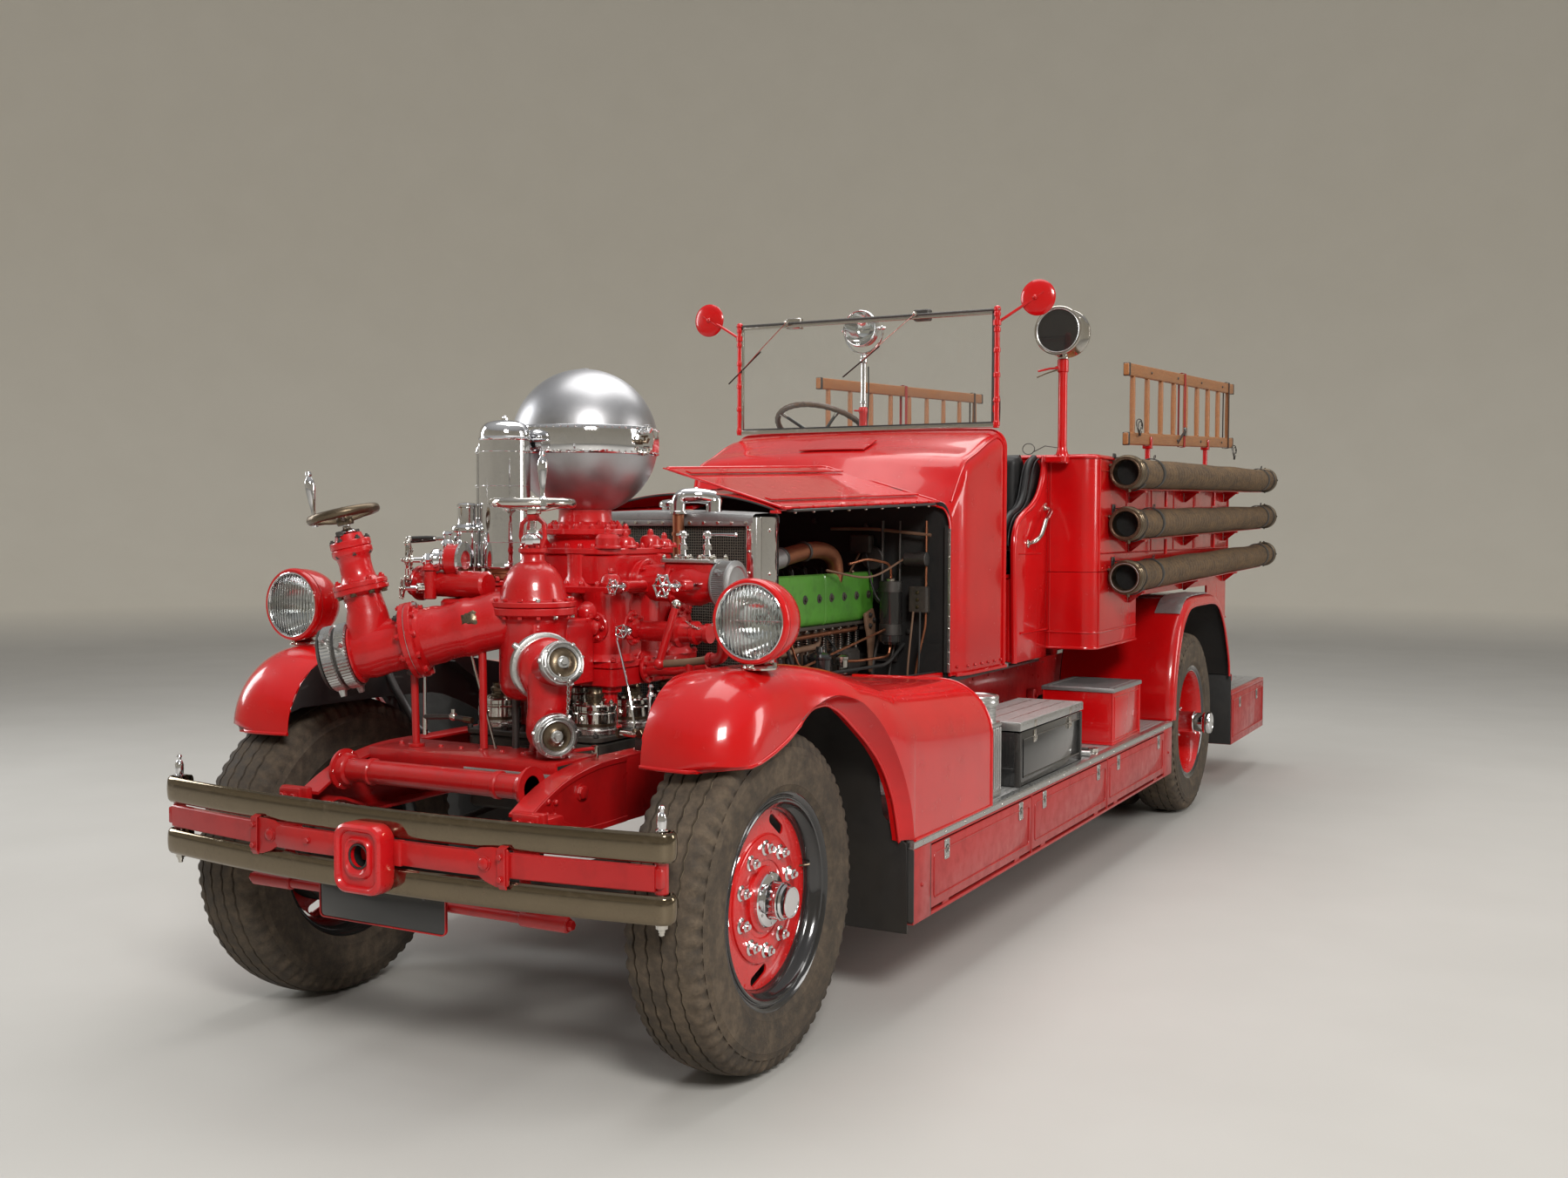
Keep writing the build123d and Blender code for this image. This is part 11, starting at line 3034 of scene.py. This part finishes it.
def ladders():
    pr, pu = Piece(), Piece()
    Z = lambda y: (y - 3.850) / 2.630 * 0.110
    for s in (1, -1):
        X = s * 0.884
        for z0 in (2.020, 2.376):
            rows = []
            for y in (3.850, 3.856, 3.90, 5.15, 6.43, 6.474, 6.480):
                e = 0.004 if y in (3.850, 6.480) else 0.0
                rows.append([(X + x, y, z0 + 0.0325 + Z(y) + z) for x, z in rrect(0.0315 - 2 * e, 0.064 - 2 * e, 0.007, 4)])
            loft(pr, rows, WOOD, True, True)
            # iron shoes and wear strips
            for y in (3.862, 6.452):
                pr.box(X - 0.0165, X + 0.0165, y - 0.008, y + 0.018, z0 + Z(y) - 0.0012, z0 + Z(y) + 0.0662, BLACK_WORN if y > 5 else DARK_STEEL, 0.002)
            for y in np.linspace(4.3, 6.1, 4):
                pr.bolt((X + s * 0.0158, y, z0 + 0.032 + Z(y)), (s, 0, 0), 0.0065, DARK_STEEL, kind="round", washer=True)
        for i in range(9):
            y = 3.980 + 0.295 * i
            za, zb = 2.0525 + Z(y), 2.4085 + Z(y)
            pu.tube([(X, y, za), (X, y, za + 0.05), (X, y, (za + zb) / 2), (X, y, zb - 0.05), (X, y, zb)], [0.0118, 0.0140, 0.0152, 0.0140, 0.0118], WOOD, 16)
            for z in (za + 0.0335, zb - 0.0335):
                pu.torus((X, y, z), (0, 0, 1), 0.0128, 0.0020, WOOD, 20, 6)
        # posts from the body rim, forked at the top
        for y in (4.300, 5.700):
            zb = 2.020 + Z(y)
            pu.cyl((X, y, 1.944), (X, y, zb - 0.016), 0.014, RED, 18)
            pu.lathe((X, y, 1.9445), (0, 0, 1), [(0, 0), (0.026, 0), (0.026, 0.005), (0.016, 0.009)], RED, 22)
            pu.box(X - 0.023, X + 0.023, y - 0.022, y + 0.022, zb - 0.018, zb - 0.0015, RED, 0.003)
            for e in (-0.0205, 0.0205):
                pu.box(X + e - 0.003, X + e + 0.003, y - 0.020, y + 0.020, zb - 0.017, zb + 0.045, RED, 0.002)
        # red strap with a black buckle, black strap at the end
        for y, m, bk in ((5.070, RED_STRAP, True), (6.300, STRAP, False)):
            zb, zt = 2.020 + Z(y), 2.376 + 0.065 + Z(y)
            pu.strip([(X + s * 0.0185, y, zb - 0.003), (X + s * 0.0185, y, zt + 0.002), (X, y, zt + 0.006), (X - s * 0.0185, y, zt + 0.002), (X - s * 0.0185, y, zb - 0.003), (X, y, zb - 0.005), (X + s * 0.0185, y, zb - 0.003)], 0.036 if bk else 0.026, 0.0030, (0, 1, 0), m)
            if bk:
                pu.obox((X + s * 0.0225, y, zb + 0.085), (0, 1, 0), (0, 0, 1), (0.056, 0.050, 0.010), BLACK, 0.003)
                pu.tube([(X + s * 0.026, y - 0.02, zb + 0.085), (X + s * 0.032, y - 0.11, zb + 0.060), (X + s * 0.022, y - 0.17, zb + 0.010)], [0.008, 0.007, 0.004], STRAP, 8)
        # wire loops of the lashings
        for yc, zc, R in ((4.02, 2.118, 0.040), (6.448, 2.098, 0.042)):
            k = [(X + s * (0.026 + 0.006 * sin(2 * t)), yc + R * cos(t), zc + R * 1.1 * sin(t)) for t in np.linspace(0.2, 2 * pi + 0.1, 24)]
            pu.tube(k, 0.0030, DARK_STEEL, 6)
            k = [(X + s * (0.030 + 0.004 * sin(2 * t)), yc + 0.012 + R * 0.86 * cos(t), zc - 0.006 + R * 0.95 * sin(t)) for t in np.linspace(0.0, 2 * pi - 0.3, 22)]
            pu.tube(k, 0.0026, DARK_STEEL, 6)
    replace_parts(pr.make("ladder_side_rails", slot="wood"), "ladder_rails")
    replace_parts(pu.make("ladder_rungs_and_straps", slot="wood"), "ladder_rungs")


ladders()
# ---------------------------------------------------------------- finishes of the frame's own nodes
NODE_MAT = {
    "frame_rails": FRAME_RED, "bumper_bars": CHROME_OLD, "bumper_beam": FRAME_RED, "number_plate": BLACK,
    "front_axle": IRON, "rear_axle": IRON, "leaf_springs": IRON, "engine_block": BROWN_IRON, "radiator": GALV,
    "pump_body": RED_CAST, "pump_cylinders": STEEL, "air_chamber": SILVER, "vacuum_chambers": CHROME, "suction_pipe": RED_CAST,
    "handwheels": CHROME, "hood_top": RED, "hood_frame": RED, "cowl": RED, "windscreen_frame": RED, "windscreen_glass": PANE,
    "cab_floor": BLACK_WORN, "steering_column": BLACK, "seat_box": RED, "seat_cushion": LEATHER, "seat_back": LEATHER, "hose_body": RED,
    "front_fenders": RED, "rear_fenders": RED, "running_boards": SKIRT, "board_boxes": BLACK, "headlights": RED, "lamp_post": CHROME,
    "suction_hoses": CANVAS, "ladders": WOOD, "ladder_rails": WOOD, "ladder_rungs": WOOD, "body_skirts": RED, "propeller_shaft": IRON,
    "knuckle_left": IRON, "knuckle_right": IRON, "tie_rod": IRON,
    "steering_wheel": WOOD_DK, "hood_side_left": RED, "hood_side_right": RED, "search_yoke": CHROME, "search_lamp": CHROME, "drum_lamp": CHROME,
    "tool_box_lid": ALU_WORN, "red_box_lid": GALV,
}
for _n, _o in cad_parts.items():
    _m = NODE_MAT.get(_n, RED)
    if _n.startswith("tyre"):
        _m = TYRE
    elif _n.startswith("wheel"):
        _m = WHEEL_RED
    elif _n.startswith("locker"):
        _m = SKIRT
    _o.data.materials.clear()
    _o.data.materials.append(_m)
# ---------------------------------------------------------------- floor, light, camera
def stage():
    m, nt, b = mat("pale_floor")
    c = coords(nt)
    n1 = noise(nt, c, 1.2, 3)
    sx = N(nt, "ShaderNodeSeparateXYZ")
    nt.links.new(c, sx.inputs[0])
    up = to_range(nt, sx.outputs["Z"], 0.02, 2.4, 0.0, 1.0)
    nt.links.new(mix(nt, up, mix(nt, n1, (0.44, 0.43, 0.405), (0.50, 0.49, 0.465)), mix(nt, n1, (0.74, 0.70, 0.61), (0.79, 0.75, 0.66))), b.inputs["Base Color"])
    nt.links.new(to_range(nt, noise(nt, c, 1.5, 2), 0.56, 0.62, 0.3, 0.7), b.inputs["Roughness"])
    # round cove: flat disc, soft bend, plain wall, the same from every side
    prof = [(0.0, 0.0), (6.0, 0.0), (15.0, 0.0)] + [(15 + 7 * sin(t), 7 - 7 * cos(t)) for t in np.linspace(0, pi / 2, 16)[1:]] + [(22, 13)]
    k = 96
    pts = np.array([[(r * cos(2 * pi * j / k), r * sin(2 * pi * j / k), z) for j in range(k)] for r, z in prof])
    n = len(prof)
    me = bpy.data.meshes.new("floor")
    faces = [(i * k + j, (i + 1) * k + j, (i + 1) * k + (j + 1) % k, i * k + (j + 1) % k) if i else (j, k + j, k + (j + 1) % k) for i in range(n - 1) for j in range(k)]
    me.from_pydata(pts.reshape(-1, 3).tolist(), [], faces)
    me.polygons.foreach_set("use_smooth", np.ones(len(faces), bool))
    me.materials.append(m)
    ob = bpy.data.objects.new("floor", me)
    bpy.context.scene.collection.objects.link(ob)

    def area(name, loc, target, size, power, col=(1, 1, 1), size_y=None):
        l = bpy.data.lights.new(name, "AREA")
        l.shape = "RECTANGLE"
        l.size, l.size_y = size, size_y or size
        l.energy = power
        l.color = col
        o = bpy.data.objects.new(name, l)
        o.location = loc
        o.rotation_mode = "QUATERNION"
        o.rotation_quaternion = (Vector(target) - Vector(loc)).to_track_quat("-Z", "Y")
        bpy.context.scene.collection.objects.link(o)

    area("key", (6.0, -9.0, 6.5), (0, -2.0, 1.0), 2.6, 760, (1, 0.98, 0.95), 2.2)
    area("top", (0.0, 0.5, 7.5), (0, 0, 0), 5.0, 420, (1, 0.99, 0.97), 9.0)
    area("left", (-8.0, -4.0, 4.5), (0, -1.5, 1.0), 2.5, 260, (0.96, 0.98, 1), 4.0)
    area("right", (9.5, 2.5, 4.0), (0.5, 1.0, 1.0), 2.6, 300, (1, 0.98, 0.96), 5.0)

    w = bpy.data.worlds.new("studio")
    bpy.context.scene.world = w
    w.use_nodes = True
    nt = w.node_tree
    nt.nodes.clear()
    out = nt.nodes.new("ShaderNodeOutputWorld")
    bg = nt.nodes.new("ShaderNodeBackground")
    tc = nt.nodes.new("ShaderNodeTexCoord")
    sp = nt.nodes.new("ShaderNodeSeparateXYZ")
    nt.links.new(tc.outputs["Generated"], sp.inputs[0])
    col = ramp(nt, to_range(nt, sp.outputs["Z"], 0, 1, -1.0, 1.0),
               [(0.0, (0.28, 0.27, 0.26)), (0.47, (0.30, 0.29, 0.27)), (0.5, (0.22, 0.215, 0.21)), (0.72, (0.42, 0.41, 0.40)), (1.0, (0.95, 0.95, 0.95))])
    nt.links.new(col, bg.inputs[0])
    bg.inputs[1].default_value = 0.55
    nt.links.new(bg.outputs[0], out.inputs[0])


def camera():
    cam = bpy.data.cameras.new("camera")
    cam.sensor_width = 36.0
    cam.sensor_fit = "HORIZONTAL"
    cam.lens = 1728.68 / 1800 * 36.0
    cam.clip_end = 200
    ob = bpy.data.objects.new("camera", cam)
    bpy.context.scene.collection.objects.link(ob)
    a, e, r = radians(27.9005), radians(2.356), radians(0.1993)
    back = Vector((sin(a) * cos(e), -cos(a) * cos(e), sin(e)))
    right = (-back).cross(Vector((0, 0, 1))).normalized()
    up = right.cross(-back)
    rr = cos(r) * right + sin(r) * up
    uu = -sin(r) * right + cos(r) * up
    m = Matrix((rr, uu, back)).transposed().to_4x4()
    m.translation = Vector((2.96957, -7.03017, 1.59185))
    ob.matrix_world = m
    bpy.context.scene.camera = ob


stage()
camera()
bpy.context.scene.view_settings.view_transform = "Standard"
bpy.context.view_layer.update()
